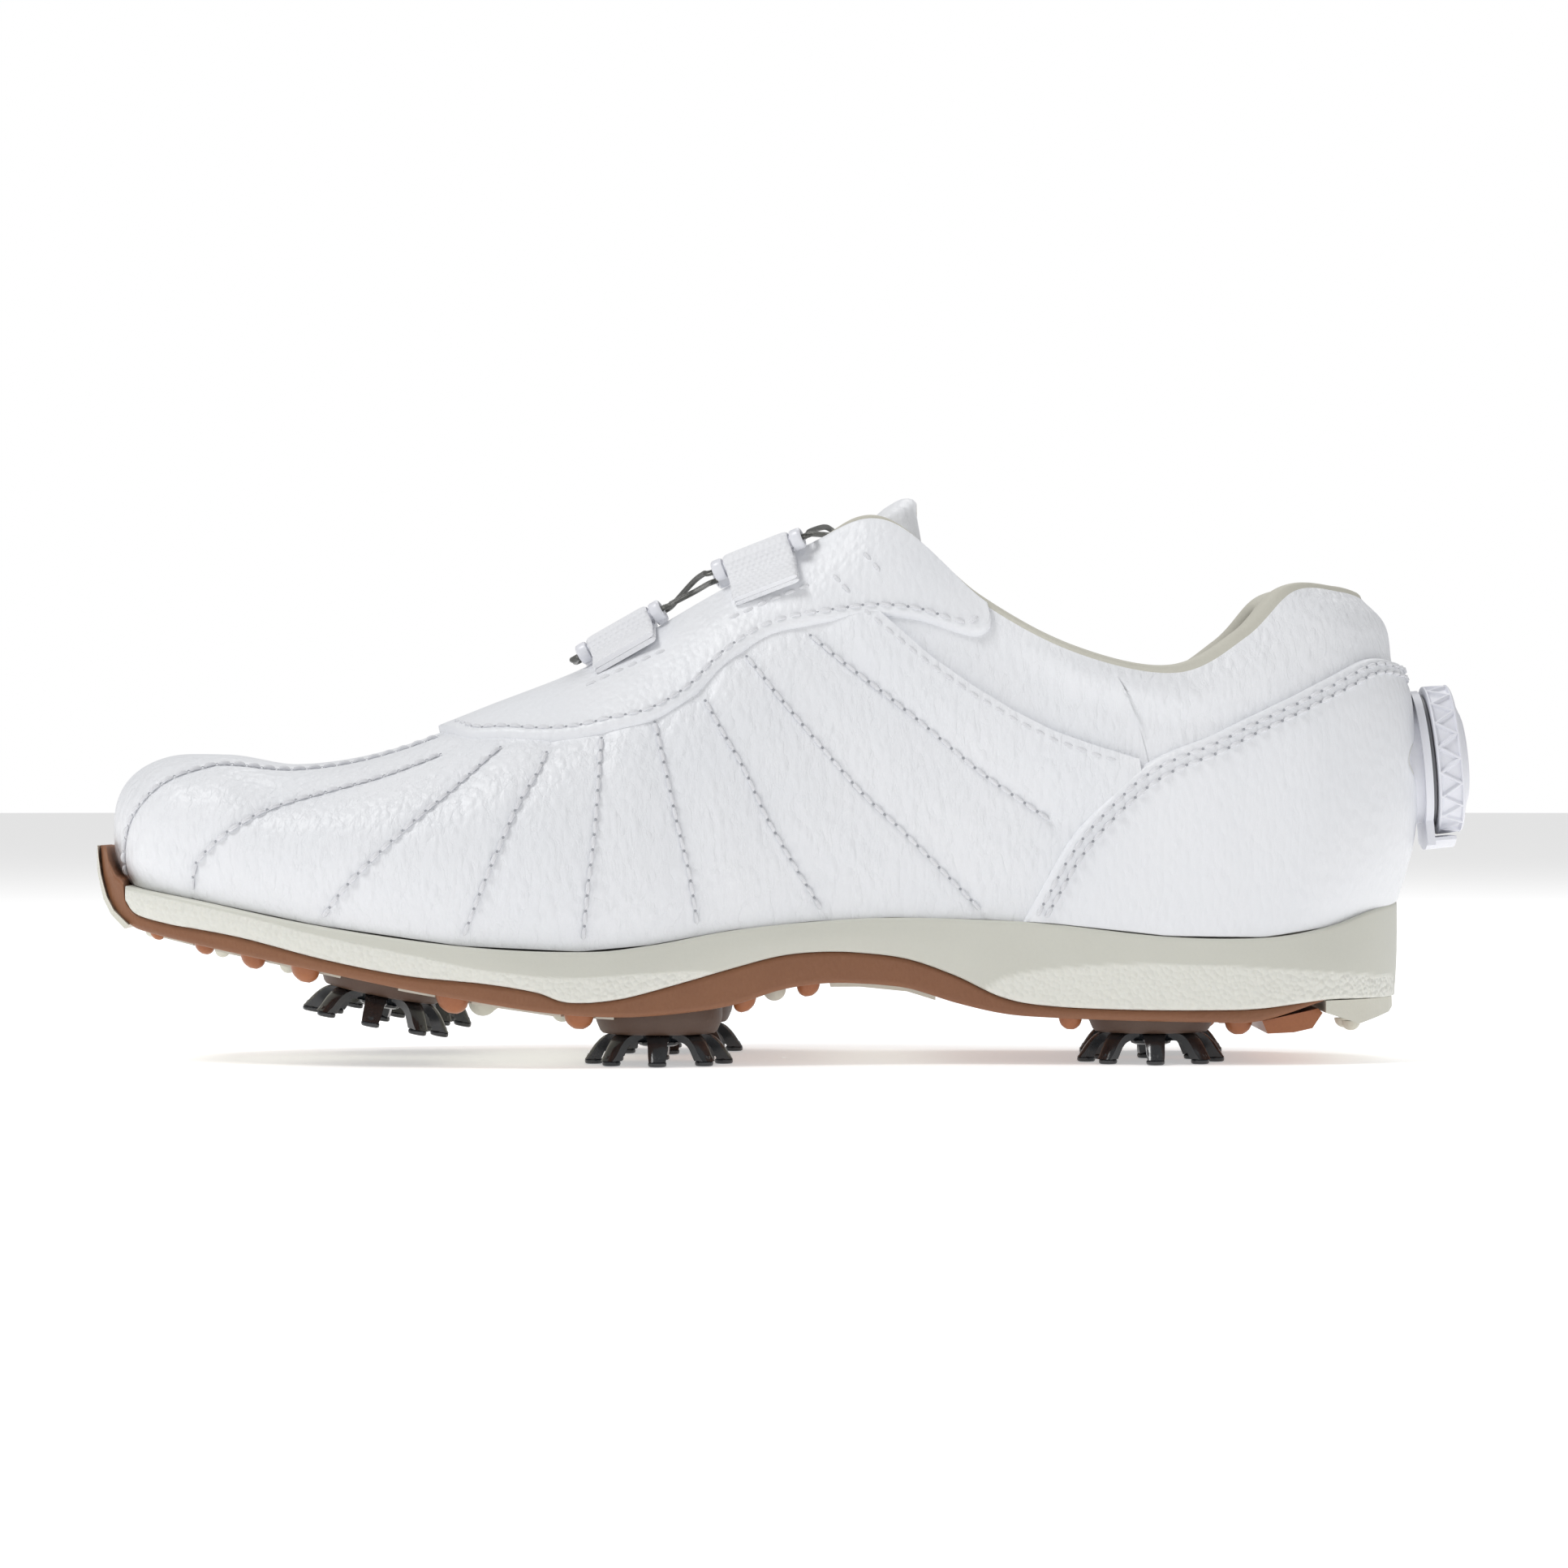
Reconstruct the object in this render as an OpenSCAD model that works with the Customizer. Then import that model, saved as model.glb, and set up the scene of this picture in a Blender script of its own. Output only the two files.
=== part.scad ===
// Right-foot golf shoe with a heel reel that winds a steel lace, and six twist-lock cleats.
// Millimetres. X runs from the toe (-) to the heel (+), Y from the inner side (-) to the outer side (+),
// and Z is up from the ground. The origin is under the middle of the whole shoe, on the ground.

/* [Shoe] */
// Length of the sole from toe to heel
sole_l = 271; // [224:1:330]
// Width of the sole across the ball of the foot
ball_w = 92; // [76:1:112]
// Height of the sole stack at the heel, from the cleat faces to the upper
stack_h = 26; // [21:0.5:32]
// Height of the upper at the heel, above the sole
collar_h = 64; // [53:1:78]

/* [Upper] */
// Thickness of the main leather
leather_t = 1.4; // [1:0.1:1.8]
// Thickness of the leather laid over it at the eyestays and the heel
overlay_t = 1.2; // [0.8:0.1:1.6]
// Thickness of the toe and heel stiffeners
stiffener_t = 0.9; // [0.6:0.1:1.2]
// Thickness of the lining
lining_t = 0.8; // [0.5:0.1:1.2]
// Glue line between two layers
glue_t = 0.25; // [0.2:0.01:0.3]
// Thickness of the padding under the ankle collar
padding_t = 4.5; // [2.5:0.1:5.5]
// Thickness of the tongue's padding at its top
tongue_t = 6.5; // [4:0.1:8]

/* [Sole] */
// Thickness of the insole board
board_t = 1.6; // [1.2:0.1:2.4]
// Thickness of the loose sockliner
sockliner_t = 4; // [3:0.1:6]
// Width of the steel shank under the arch
shank_w = 14; // [10:0.5:20]
// Thickness of the shank
shank_t = 1.2; // [0.8:0.1:1.8]
// Thickness of the pale rubber skin on the toe guard
guard_t = 0.9; // [0.6:0.1:1.2]
// Diameter of the boss round each cleat
boss_d = 26; // [22:0.5:28]

/* [Cleats] */
// Diameter over the feet of a cleat
cleat_d = 31; // [27:0.5:34]
// Height of a cleat under its boss
cleat_h = 6.2; // [5:0.1:7.5]
// Number of legs on a cleat
leg_n = 8; // [6:1:10]
// Diameter of the cleat's stud
stud_d = 8.6; // [7:0.1:10]
// Length of the cleat's stud
stud_l = 4.4; // [3.6:0.1:5]
// Wall of the socket that holds the stud
socket_wall = 2; // [1.5:0.1:2.6]

/* [Reel] */
// Diameter of the knob
knob_d = 31; // [27:0.5:34]
// Depth of the knob's rim
knob_l = 5.7; // [4.6:0.1:7]
// Diameter of the reel's case
case_d = 26; // [24:0.5:27]
// Depth of the case behind the heel's surface
case_l = 4.4; // [3.9:0.1:4.8]
// Tilt of the reel's axis above level, in degrees
reel_tilt = 5.6; // [4:0.1:8]
// Travel of the knob when it is pulled out
pull_l = 2; // [1:0.1:2.5]
// Diameter of the steel lace
lace_d = 1.2; // [1:0.1:1.4]
// Diameter of the tubes that carry the lace to the reel
tube_d = 1.9; // [1.8:0.1:2]
// Clearance round a turning or sliding piece
run_gap = 0.06; // [0.04:0.01:0.08]

/* [Hidden] */

white = [0.93, 0.94, 0.95];
cream = [0.84, 0.84, 0.79];
beige = [0.80, 0.79, 0.74];
brown = [0.60, 0.40, 0.27];
dark_brown = [0.34, 0.27, 0.22];
black = [0.16, 0.17, 0.18];
steel = [0.55, 0.56, 0.56];

// The drawn sizes that the outlines below were drawn at; the driving sizes scale them.
drawn_l = 271;
drawn_w = 92;
drawn_stack = 26;
drawn_collar = 64;
drawn_mid = -7.2;       // middle of the sole's length, left of the origin by half the reel's reach
drawn_face = 5.1;       // height of the cleat faces in the drawn outlines
kx = sole_l / drawn_l;
ky = ball_w / drawn_w;
ks = stack_h / drawn_stack;
ku = collar_h / drawn_collar;

function to_x(x) = drawn_mid + (x - drawn_mid) * kx;
function to_y(y) = y * ky;
function to_z(z) = cleat_h + (z - drawn_face) * ks;
function side_points(L) = [for (p = L) [to_x(p[0]), to_z(p[1])]];

// ---- Outlines, drawn by hand ----

// Plan of the sole, from the toe round the inner side to the heel and back along the outer side
plan = [
    [-142.8, -8], [-137.6, -22], [-126.4, -31], [-110.2, -37.5], [-88.5, -42.5], [-66.8, -45.5],
    [-53.3, -46],
    [-34.3, -43], [-7.2, -36], [19.9, -31.5], [47, -31], [74.1, -32], [95.8, -31.5], [112, -27],
    [122.9, -17],
    [128.3, 0], [121.5, 18], [106.6, 28.5], [87.6, 33], [60.5, 34.5], [33.4, 37], [6.3, 41], [-20.8, 45],
    [-42.5, 46], [-61.4, 44], [-88.5, 38], [-110.2, 30], [-126.4, 20], [-137.3, 8]
];

// Line where the upper meets the sole, as length and height
feather = [
    [-143, 37], [-134.6, 35.2], [-119, 32.5], [-94.4, 27.6], [-64.9, 23.5], [-41.1, 22.3], [-27.2, 23.5],
    [-10.8, 26.4], [5.6, 28.1], [22, 28.9], [41.6, 28.4], [54.7, 27.6], [77.7, 25.1], [97.3, 24.8],
    [110.4, 26.8], [120.3, 30], [128.6, 31.6]
];

// Line between the midsole and the brown outsole
tread_top = [
    [-134.8, 32.3], [-132.2, 29.5], [-125, 27.6], [-118.5, 26.6], [-108.7, 24.8], [-92.4, 20.7],
    [-76.1, 17.6],
    [-60, 16], [-49.9, 14.3], [-43.4, 12.2], [-33.6, 12.7], [-22.2, 15.5], [-10.8, 18.7], [-1, 21.2],
    [7.2, 22],
    [15.3, 21.8], [25.1, 20.5], [34.9, 17.1], [44.7, 12.6], [54.5, 10.9], [70.8, 10.2], [87.2, 10.1],
    [96.9, 10.4], [110.4, 12]
];

// Underside of the brown outsole, from the top of the toe guard to the heel
tread_low = [
    [-141.9, 43.4], [-141.6, 41], [-140.9, 37.6], [-139.2, 33], [-137.3, 30.2], [-133.9, 27.4],
    [-128.8, 25.6],
    [-109.1, 21.4], [-92.7, 18.1], [-76.4, 14.8], [-60, 12], [-46.9, 10], [-33.8, 9.1], [-22.3, 9.6],
    [-10.8, 11.2], [-1, 14.2], [7.2, 15.5], [15.4, 15.5], [25.2, 14.5], [35.1, 11.5], [44.9, 9.3],
    [54.7, 8.5],
    [71.1, 7.9], [87.5, 7.6], [97.3, 7.9], [109.4, 10.4]
];
guard_inner = [[-139.9, 43.2], [-138.9, 40.2], [-137.2, 37.4], [-135.2, 35.9]];

// Heel profile of the midsole
heel_edge = [[128.6, 31.5], [128.7, 29.6], [128.2, 24.7], [126.3, 16.2], [127, 13.4], [126.3, 12.2]];

// Stations of the last: foot of each section on the sole, from the toe round each side to the heel
foot_medial = [
    [-135.6, -8], [-132.2, -20], [-126.6, -27.2], [-116, -33], [-100, -37.8], [-82, -41.6], [-60, -43.4],
    [-38, -41.4], [-14, -35.6], [8, -31], [28, -29], [48, -28.7], [68, -29.4], [88, -29.6], [105, -26.6],
    [116.6, -19.6], [123.8, -10.4], [126.4, 0]
];
foot_lateral = [
    [-135.6, -8], [-132.6, 5], [-125.4, 17], [-113, 25.6], [-99, 31.4], [-81, 37.4], [-60, 41.6],
    [-38, 43.2], [-14, 41.6], [8, 38], [28, 35.2], [48, 33], [68, 31.6], [88, 30.2], [105, 26],
    [116.6, 19], [123.8, 10], [126.4, 0]
];

// Top of each section: the ridge over the toes, then the throat and the ankle line on each side
pivot = [-118, -6, 62.2];
ridge = [pivot, [-101, -5, 60.2], [-82, -4, 63.2], [-60, -3, 71.4]];
top_medial = [
    [-60, -3, 71.4], [-38, -9, 80.5], [-15, -12.5, 94], [5, -14, 105], [21, -16, 110.2], [41, -22.5, 93.6],
    [60, -27, 83.2], [80, -27.4, 79.4], [94, -25, 86.8], [104, -20.5, 96.2], [114.6, -11.5, 96.4],
    [120.4, 0, 95.2]
];
top_lateral = [
    [-60, -3, 71.4], [-38, 4.5, 80.5], [-15, 9.5, 94], [5, 13, 105], [21, 16, 110.2], [41, 23, 93.6],
    [60, 27.6, 82.4], [80, 27.8, 78.4], [94, 25, 86.2], [104, 20.5, 96], [114.6, 11.5, 96.4],
    [120.4, 0, 95.2]
];

// Each section is an arc of a rounded square: start angle, end angle and squareness, per station
sections = [
    [-38, 90, 2.6], [-36, 90, 2.6], [-34, 90, 2.6], [-30, 90, 2.5], [-26, 90, 2.35], [-24, 90, 2.25],
    [-20, 90, 2.1], [-18, 72, 2.1], [-16, 62, 2.1], [-14, 55, 2.1], [-14, 48, 2.1], [-16, 45, 2.1],
    [-20, 45, 2.2], [-24, 45, 2.2], [-28, 46, 2.3], [-30, 46, 2.3], [-30, 45, 2.3], [-30, 45, 2.3]
];

// Edges of the leather pieces, seen from the side
vamp_edge = [
    [0, 112], [12, 98], [23.6, 87.5], [30.2, 81.7], [38.4, 76], [46.6, 71], [54.8, 66.9], [63, 64],
    [72.1, 61.2]
];
counter_edge = [
    [46.1, 28.4], [48.6, 34.9], [52.4, 43.1], [56.5, 48.9], [63, 55.4], [72.1, 62], [79.5, 66.4],
    [87.7, 70.2],
    [97.5, 74], [107.4, 76.8], [117.2, 79.2], [126, 80.8]
];
eyestay_edge = [
    [-70, 66.5], [-57.1, 65.7], [-43.9, 66], [-34, 66.5], [-24.1, 68.7], [-15.9, 75.3], [-9.2, 81.9],
    [-1, 86],
    [8.9, 87.6], [22.1, 88.5], [30, 88.6], [44, 88.6]
];

// ---- The last as a surface ----

heel_a = 17;             // station at the middle of the heel
ridge_a = 6;             // station where the throat opens
pivot_a = 3;             // last station whose section ends at the toe's crown
loop_n = 2 * heel_a;
foot_loop = concat(foot_medial, [for (i = [heel_a - 1:-1:1]) foot_lateral[i]]);

function spline(p, q, r, s, u) =
    0.5 * (2 * q + (r - p) * u + (2 * p - 5 * q + 4 * r - s) * u * u + (3 * q - p - 3 * r + s) * u * u * u);

function on_loop(L, a) =
    let (n = len(L), i = floor(a), u = a - i)
    spline(L[(i - 1 + n) % n], L[(i + n) % n], L[(i + 1 + n) % n], L[(i + 2 + n) % n], u);

// A spline through the points of L, with the point before the first and after the last given
function on_path(L, before, after, a) =
    let (
        n = len(L),
        i = min(max(floor(a), 0), n - 2),
        u = a - i,
        p = i == 0 ? before : L[i - 1],
        s = i == n - 2 ? after : L[i + 2]
    )
    spline(p, L[i], L[i + 1], s, u);

function eased(L, a) =
    let (i = min(floor(a), len(L) - 2), u = a - i, w = u * u * (3 - 2 * u))
    L[i] * (1 - w) + L[i + 1] * w;

function is_lateral(a) = a < 0 || a > heel_a;
function station(a) = a < 0 ? -a : a > heel_a ? loop_n - a : a;

function drawn_foot(a) =
    let (p = on_loop(foot_loop, a < 0 ? a + loop_n : a))
    [p[0], p[1], lookup(p[0], feather)];

function drawn_top(a) =
    let (
        t = station(a),
        side = is_lateral(a) ? top_lateral : top_medial,
        other = is_lateral(a) ? top_medial : top_lateral
    )
    t <= pivot_a ? pivot :
    t <= ridge_a ? on_path(ridge, [-135, -7, 60.2], [-38, -2.5, 80.5], t - pivot_a) :
    on_path(side, ridge[2], other[len(other) - 2], t - ridge_a);

function arc_r(f, n) = pow(pow(abs(cos(f)), n) + pow(abs(sin(f)), n), -1 / n);
function arc_x(f, n) = cos(f) * arc_r(f, n);
function arc_z(f, n) = sin(f) * arc_r(f, n);

// Share of the way inwards and upwards at angle f of a section s
function inward(f, s) = (arc_x(s[0], s[2]) - arc_x(f, s[2])) / (arc_x(s[0], s[2]) - arc_x(s[1], s[2]));
function upward(f, s) = (arc_z(f, s[2]) - arc_z(s[0], s[2])) / (arc_z(s[1], s[2]) - arc_z(s[0], s[2]));

function real_foot(a) = let (p = drawn_foot(a)) [to_x(p[0]), to_y(p[1]), to_z(p[2])];
function real_top(a) =
    let (p = drawn_foot(a), q = drawn_top(a))
    [to_x(q[0]), to_y(q[1]), to_z(p[2]) + (q[2] - p[2]) * ku];

sole_gap = 0.25;         // seam between the upper's edge and the midsole

// Point of the last at station a and share v of the way up
function on_last(a, v) =
    let (
        p = real_foot(a),
        q = real_top(a),
        s = eased(sections, station(a)),
        f = v == 1 ? s[1] : s[0] + (s[1] - s[0]) * v,
        left = v == 1 ? 0 : 1 - inward(f, s),
        down = v == 1 ? 0 : 1 - upward(f, s)
    )
    [q[0] - (q[0] - p[0]) * left, q[1] - (q[1] - p[1]) * left, q[2] - (q[2] - p[2]) * down];

// Outward direction of the last, square to its lines across and along; straight up on the ridge
function off_last(a, v) =
    v == 1 && station(a) <= ridge_a ? [0, 0, 1] :
    let (
        along = on_last(a + 0.02, v) - on_last(a - 0.02, v),
        up = on_last(a, min(v + 0.01, 1)) - on_last(a, max(v - 0.01, 0)),
        way = cross(along, up)
    )
    way / norm(way);

// Point d outside the main leather's face
function on_upper(a, v, d) =
    let (p = on_last(a, v), q = d == 0 ? p : p + d * off_last(a, v))
    [q[0], q[1], max(q[2], real_foot(a)[2] + sole_gap)];

// Share v at which the drawn section of station a crosses an edge line
function share_at(a, line, lo = 0, hi = 1, k = 14) =
    k == 0 ? (lo + hi) / 2 :
    let (
        m = (lo + hi) / 2,
        p = drawn_foot(a),
        q = drawn_top(a),
        s = eased(sections, station(a)),
        f = s[0] + (s[1] - s[0]) * m,
        x = p[0] + (q[0] - p[0]) * inward(f, s),
        z = p[2] + (q[2] - p[2]) * upward(f, s)
    )
    z > lookup(x, line) ? share_at(a, line, lo, m, k - 1) : share_at(a, line, m, hi, k - 1);

function ramp(x, lo, hi) = let (u = min(max((x - lo) / (hi - lo), 0), 1)) u * u * (3 - 2 * u);
function mirrored(L) = concat(L, [for (i = [len(L) - 2:-1:0]) loop_n - L[i]]);
function both_ways(L) = concat([for (i = [len(L) - 1:-1:1]) -L[i]], L);

// A layer of the upper: columns A, rows between shares lo(a) and hi(a), faces at depths outer(a, v) and
// inner(a, v). Cells where cut(i, j) is true are left out, and where folded(i) the top edge is shared
// with the other side.
module layer(A, rows, lo, hi, outer, inner, cut = function(i, j) false, folded = function(i) false) {
    n = len(A);
    m = rows + 1;
    share = [for (a = A) [for (j = [0:rows]) j == rows ? hi(a) : lo(a) + (hi(a) - lo(a)) * j / rows]];
    outside = [for (i = [0:n - 1]) for (j = [0:rows]) on_upper(A[i], share[i][j], outer(A[i], share[i][j]))];
    inside = [for (i = [0:n - 1]) for (j = [0:rows]) on_upper(A[i], share[i][j], inner(A[i], share[i][j]))];
    points = concat(outside, inside);
    back = n * m;
    function here(i, j) = i >= 0 && i < n - 1 && j >= 0 && j < rows && !cut(i, j);
    quads = [
        for (i = [0:n - 2]) for (j = [0:rows - 1]) if (here(i, j))
            let (p = i * m + j, q = p + 1, r = p + m + 1, s = p + m)
            each [
                [p, q, r, s],
                [back + p, back + s, back + r, back + q],
                if (!here(i, j - 1)) [p, s, back + s, back + p],
                if (!here(i, j + 1) && !folded(i)) [r, q, back + q, back + r],
                if (!here(i - 1, j)) [q, p, back + p, back + q],
                if (!here(i + 1, j)) [s, r, back + r, back + s]
            ]
    ];
    triangles = [
        for (k = quads) each [[k[0], k[1], k[2]], [k[0], k[2], k[3]]]
    ];
    tiny = 0.001;
    solid = [
        for (k = triangles)
            if (norm(points[k[0]] - points[k[1]]) > tiny && norm(points[k[1]] - points[k[2]]) > tiny
                && norm(points[k[2]] - points[k[0]]) > tiny) k
    ];
    polyhedron(points, solid, convexity = 8);
}

// ---- Layers of the upper ----

main_in = -leather_t;
stiff_out = main_in - glue_t;
stiff_in = stiff_out - stiffener_t;
lining_out = stiff_in - glue_t;
over_in = glue_t + 0.1;
over_out = over_in + overlay_t;

// Room that the padding and the reel's case push the lining inwards
function collar_room(a, v) = padding_t * ramp(station(a), 10, 11.6) * ramp(v, 0.5, 0.72);
function case_room(a, v) = 3.4 * ramp(station(a), 14.1, 15.2) * (1 - ramp(v, 0.68, 0.85));
function tube_room(a, v) =
    (tube_d + 0.7 + stiffener_t * ramp(station(a), 12, 12.6)) *
    ramp(station(a), 9, 9.4) * ramp(v, 0.15, 0.3);
function room(a, v) = max(collar_room(a, v), case_room(a, v), tube_room(a, v));

// Cells left open in the middle of the heel, where the reel's case sits and the lace comes out of its sides
case_lo = 0.16;
case_hi = 0.68;
function in_case(a, v) =
    abs(a - heel_a) < 1.35 && v > case_lo && v < case_hi ||
    abs(a - heel_a) < 2 && v > 0.34 && v < 0.52;

// Cells of the stiffener left open for the lace's tubes
function in_lace_way(a, v) = abs(a - heel_a) < 2.6 && v > 0.34 && v < 0.54;

toe_columns = [0, 0.5, 1, 1.5, 2, 2.5, 3, 3.5, 4, 4.5, 5, 5.5, 6];
side_columns = [6.3, 6.65, 7, 7.5, 8, 8.5, 9, 9.4, 9.8, 10.2, 10.6, 11, 11.4, 11.8, 12.2];
vamp_rows = 12;
vamp_hi = function(a) station(a) <= ridge_a ? 1 : min(share_at(a, vamp_edge), 0.9999);

module vamp() {
    columns = both_ways(concat(toe_columns, side_columns));
    middle = (len(columns) - 1) / 2;
    fold = len(toe_columns) - 1;
    color(white)
    layer(
        columns, vamp_rows,
        function(a) 0,
        function(a) let (v = vamp_hi(a)) v > 0.999 ? 1 : v,
        function(a, v) 0,
        function(a, v) main_in,
        folded = function(i) i >= middle - fold && i < middle + fold
    );
}

quarter_columns = [
    9.6, 9.8, 10, 10.2, 10.6, 11, 11.4, 11.8, 12.2, 12.36, 12.8, 13.3, 13.8, 14.3, 14.8, 15.2,
    15.65, 16.1, 16.55, 17
];
heel_rows = 12;
seam = 0.004;            // gap along the join of vamp and quarter, as a share of the height

module quarter(columns) {
    color(white)
    layer(
        columns, heel_rows,
        function(a) station(a) > 12.3 ? 0 : min(share_at(a, vamp_edge) + seam, 0.96),
        function(a) 1,
        function(a, v) 0,
        function(a, v) main_in,
        cut = function(i, j) in_case((columns[i] + columns[i + 1]) / 2, (j + 0.5) / heel_rows)
    );
}

module quarter_medial() quarter(quarter_columns);
module quarter_lateral() quarter([for (i = [len(quarter_columns) - 1:-1:0]) loop_n - quarter_columns[i]]);

eyestay_columns = [5.62, 5.8, 6, 6.3, 6.65, 7, 7.4, 7.8, 8.2, 8.6, 9, 9.4, 9.8, 10, 10.2, 10.5, 10.8];

module eyestay(columns) {
    color(white)
    layer(
        columns, 5,
        function(a) min(share_at(a, eyestay_edge), 0.93),
        function(a) 1,
        function(a, v) over_out,
        function(a, v) over_in
    );
}

module eyestay_medial() eyestay(eyestay_columns);
module eyestay_lateral() eyestay([for (i = [len(eyestay_columns) - 1:-1:0]) -eyestay_columns[i]]);

counter_columns = mirrored([
    11.02, 11.2, 11.4, 11.7, 12, 12.4, 12.8, 13.3, 13.8, 14.3, 14.8, 15.2, 15.65, 16.1, 16.55, 17
]);
counter_rows = 10;

module counter_cover() {
    top = function(a) max(share_at(a, counter_edge), 0.03);
    color(white)
    layer(
        counter_columns, counter_rows,
        function(a) 0,
        top,
        function(a, v) over_out,
        function(a, v) over_in,
        cut = function(i, j)
            let (a = (counter_columns[i] + counter_columns[i + 1]) / 2)
            in_case(a, top(a) * (j + 0.5) / counter_rows)
    );
}

module vamp_lining() {
    columns = both_ways(concat(toe_columns, [6.4, 7, 7.5, 8, 8.5, 9]));
    middle = (len(columns) - 1) / 2;
    fold = len(toe_columns) - 1;
    color(beige)
    layer(
        columns, 12,
        function(a) 0.02,
        function(a) 1,
        function(a, v) lining_out,
        function(a, v) lining_out - lining_t,
        folded = function(i) i >= middle - fold && i < middle + fold
    );
}

module quarter_lining() {
    columns = mirrored([
        9.05, 9.5, 10, 10.4, 10.8, 11.2, 11.6, 12.2, 12.8, 13.4, 14, 14.5, 15, 15.5, 16, 16.5, 17
    ]);
    color(beige)
    layer(
        columns, 9,
        function(a) 0.02,
        function(a) 1,
        function(a, v) lining_out - room(a, v),
        function(a, v) lining_out - room(a, v) - lining_t
    );
}

module collar_padding() {
    columns = mirrored([11.2, 11.5, 11.8, 12.2, 12.8, 13.4, 14, 14.6, 15.2, 15.8, 16.4, 17]);
    color(cream)
    layer(
        columns, 4,
        function(a) 0.8,
        function(a) 0.97,
        function(a, v) stiff_out,
        function(a, v) lining_out + glue_t - 0.9 * room(a, v)
    );
}

module toe_puff() {
    columns = both_ways([0, 0.5, 1, 1.5, 2, 2.5, 3, 3.5, 4]);
    color(cream)
    layer(
        columns, 11,
        function(a) 0.03,
        function(a) 0.93,
        function(a, v) stiff_out,
        function(a, v) stiff_in
    );
}

module heel_stiffener() {
    columns = mirrored([13, 13.4, 13.8, 14.3, 14.8, 15.2, 15.65, 16.1, 16.55, 17]);
    rows = 9;
    hi = 0.7;
    color(cream)
    layer(
        columns, rows,
        function(a) 0.03,
        function(a) hi,
        function(a, v) stiff_out,
        function(a, v) stiff_in,
        cut = function(i, j)
            let (a = (columns[i] + columns[i + 1]) / 2, v = hi * (j + 0.5) / rows)
            in_case(a, v) || in_lace_way(a, v)
    );
}

// Rolled binding along the ankle line: a section carried round the top edge
binding_section = [[0.2, 0.2], [0.1, 1.3], [-1.2, 2.2], [0.8, 2.2], [0, 1.2], [0, 0.4]];

module topline_binding() {
    columns = mirrored([
        10.1, 10.4, 10.7, 11, 11.4, 11.8, 12.3, 12.8, 13.3, 13.8, 14.2, 14.6, 15, 15.5, 16, 16.5, 17
    ]);
    depth = function(a) -lining_out + lining_t + room(a, 1);
    // Section as depth and height; the last three points lie on the lining's side
    function corner(a, k) = let (c = binding_section[k]) k < 3 ? c : [c[0] - depth(a), c[1]];
    function at(a, d, h) =
        let (p = on_upper(a, 1, d), q = on_upper(a, 0.99, d), up = (p - q) / norm(p - q))
        p + up * h;
    n = len(columns);
    points = [for (a = columns) for (k = [0:5]) let (c = corner(a, k)) at(a, c[0], c[1])];
    sides = [
        for (i = [0:n - 2]) for (k = [0:5])
            let (p = i * 6 + k, q = i * 6 + (k + 1) % 6)
            each [[p, q, q + 6], [p, q + 6, p + 6]]
    ];
    ends = [[5, 4, 3, 2, 1, 0], [for (k = [0:5]) (n - 1) * 6 + k]];
    color(beige)
    polyhedron(points, concat(sides, ends), convexity = 8);
}

// ---- Tongue ----

tongue_gap = 0.9;        // air between the lining and the tongue
tongue_out = lining_out - lining_t - tongue_gap;
tongue_cover_t = 1.1;
tongue_lining_t = 0.8;
tongue_reach = 0.16;     // how far down the sides the tongue reaches, as a share of the height
tongue_stations = [5.7, 6, 6.4, 6.8, 7.2, 7.7, 8.2, 8.7, 9.1, 9.45, 9.75];
tongue_top = [[3, 2.6, 0.8], [6.5, 5, 0.68], [9, 6.2, 0.52]];
tongue_across = [-1, -0.8, -0.6, -0.45, -0.3, -0.15, 0, 0.15, 0.3, 0.45, 0.6, 0.8, 1];

// Point of the tongue at station t, share w across (-1 inner side, 1 outer side) and depth d
function on_tongue(t, w, d) =
    let (
        c = 0.45 * ramp(t, 6, 7),
        a = w < 0 ? t : -t,
        side = max(abs(w) - c, 0) / (1 - c)
    )
    abs(w) >= c ? on_upper(a, 1 - tongue_reach * side, d - room(a, 1)) :
    let (
        p = on_upper(t, 1, d - room(t, 1)),
        q = on_upper(-t, 1, d - room(t, 1)),
        u = (w / c + 1) / 2,
        crown = 1.6 * ramp(t, 6, 8) + 1.4 * ramp(t, 8.7, 9.4)
    )
    p * (1 - u) + q * u + [0, 0, crown * 4 * u * (1 - u)];

function tongue_thick(t) = 0.6 + (tongue_t - 0.6) * ramp(t, 6, 9.6);

module tongue_layer(from, to) {
    width = len(tongue_across);
    low = [for (t = tongue_stations) [for (w = tongue_across) on_tongue(t, w, to(t))]];
    high = [for (t = tongue_stations) [for (w = tongue_across) on_tongue(t, w, from(t))]];
    function stretched(row, s) = [for (p = row) [p[0] + s[0], p[1] * s[2], p[2] + s[1]]];
    lows = concat(low, [for (s = tongue_top) stretched(low[len(low) - 1], s)]);
    highs = concat(high, [for (s = tongue_top) stretched(high[len(high) - 1], s)]);
    n = len(lows);
    back = n * width;
    points = concat([for (r = highs) each r], [for (r = lows) each r]);
    faces = [
        for (i = [0:n - 2]) for (j = [0:width - 2])
            let (p = i * width + j, q = p + 1, r = p + width + 1, s = p + width)
            each [
                [p, q, r, s],
                [back + p, back + s, back + r, back + q],
                if (i == 0) [q, p, back + p, back + q],
                if (i == n - 2) [s, r, back + r, back + s],
                if (j == 0) [p, s, back + s, back + p],
                if (j == width - 2) [r, q, back + q, back + r]
            ]
    ];
    polyhedron(points, [for (k = faces) each [[k[0], k[1], k[2]], [k[0], k[2], k[3]]]], convexity = 6);
}

module tongue_cover() {
    color(white)
    tongue_layer(function(t) tongue_out, function(t) tongue_out - tongue_cover_t);
}

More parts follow.
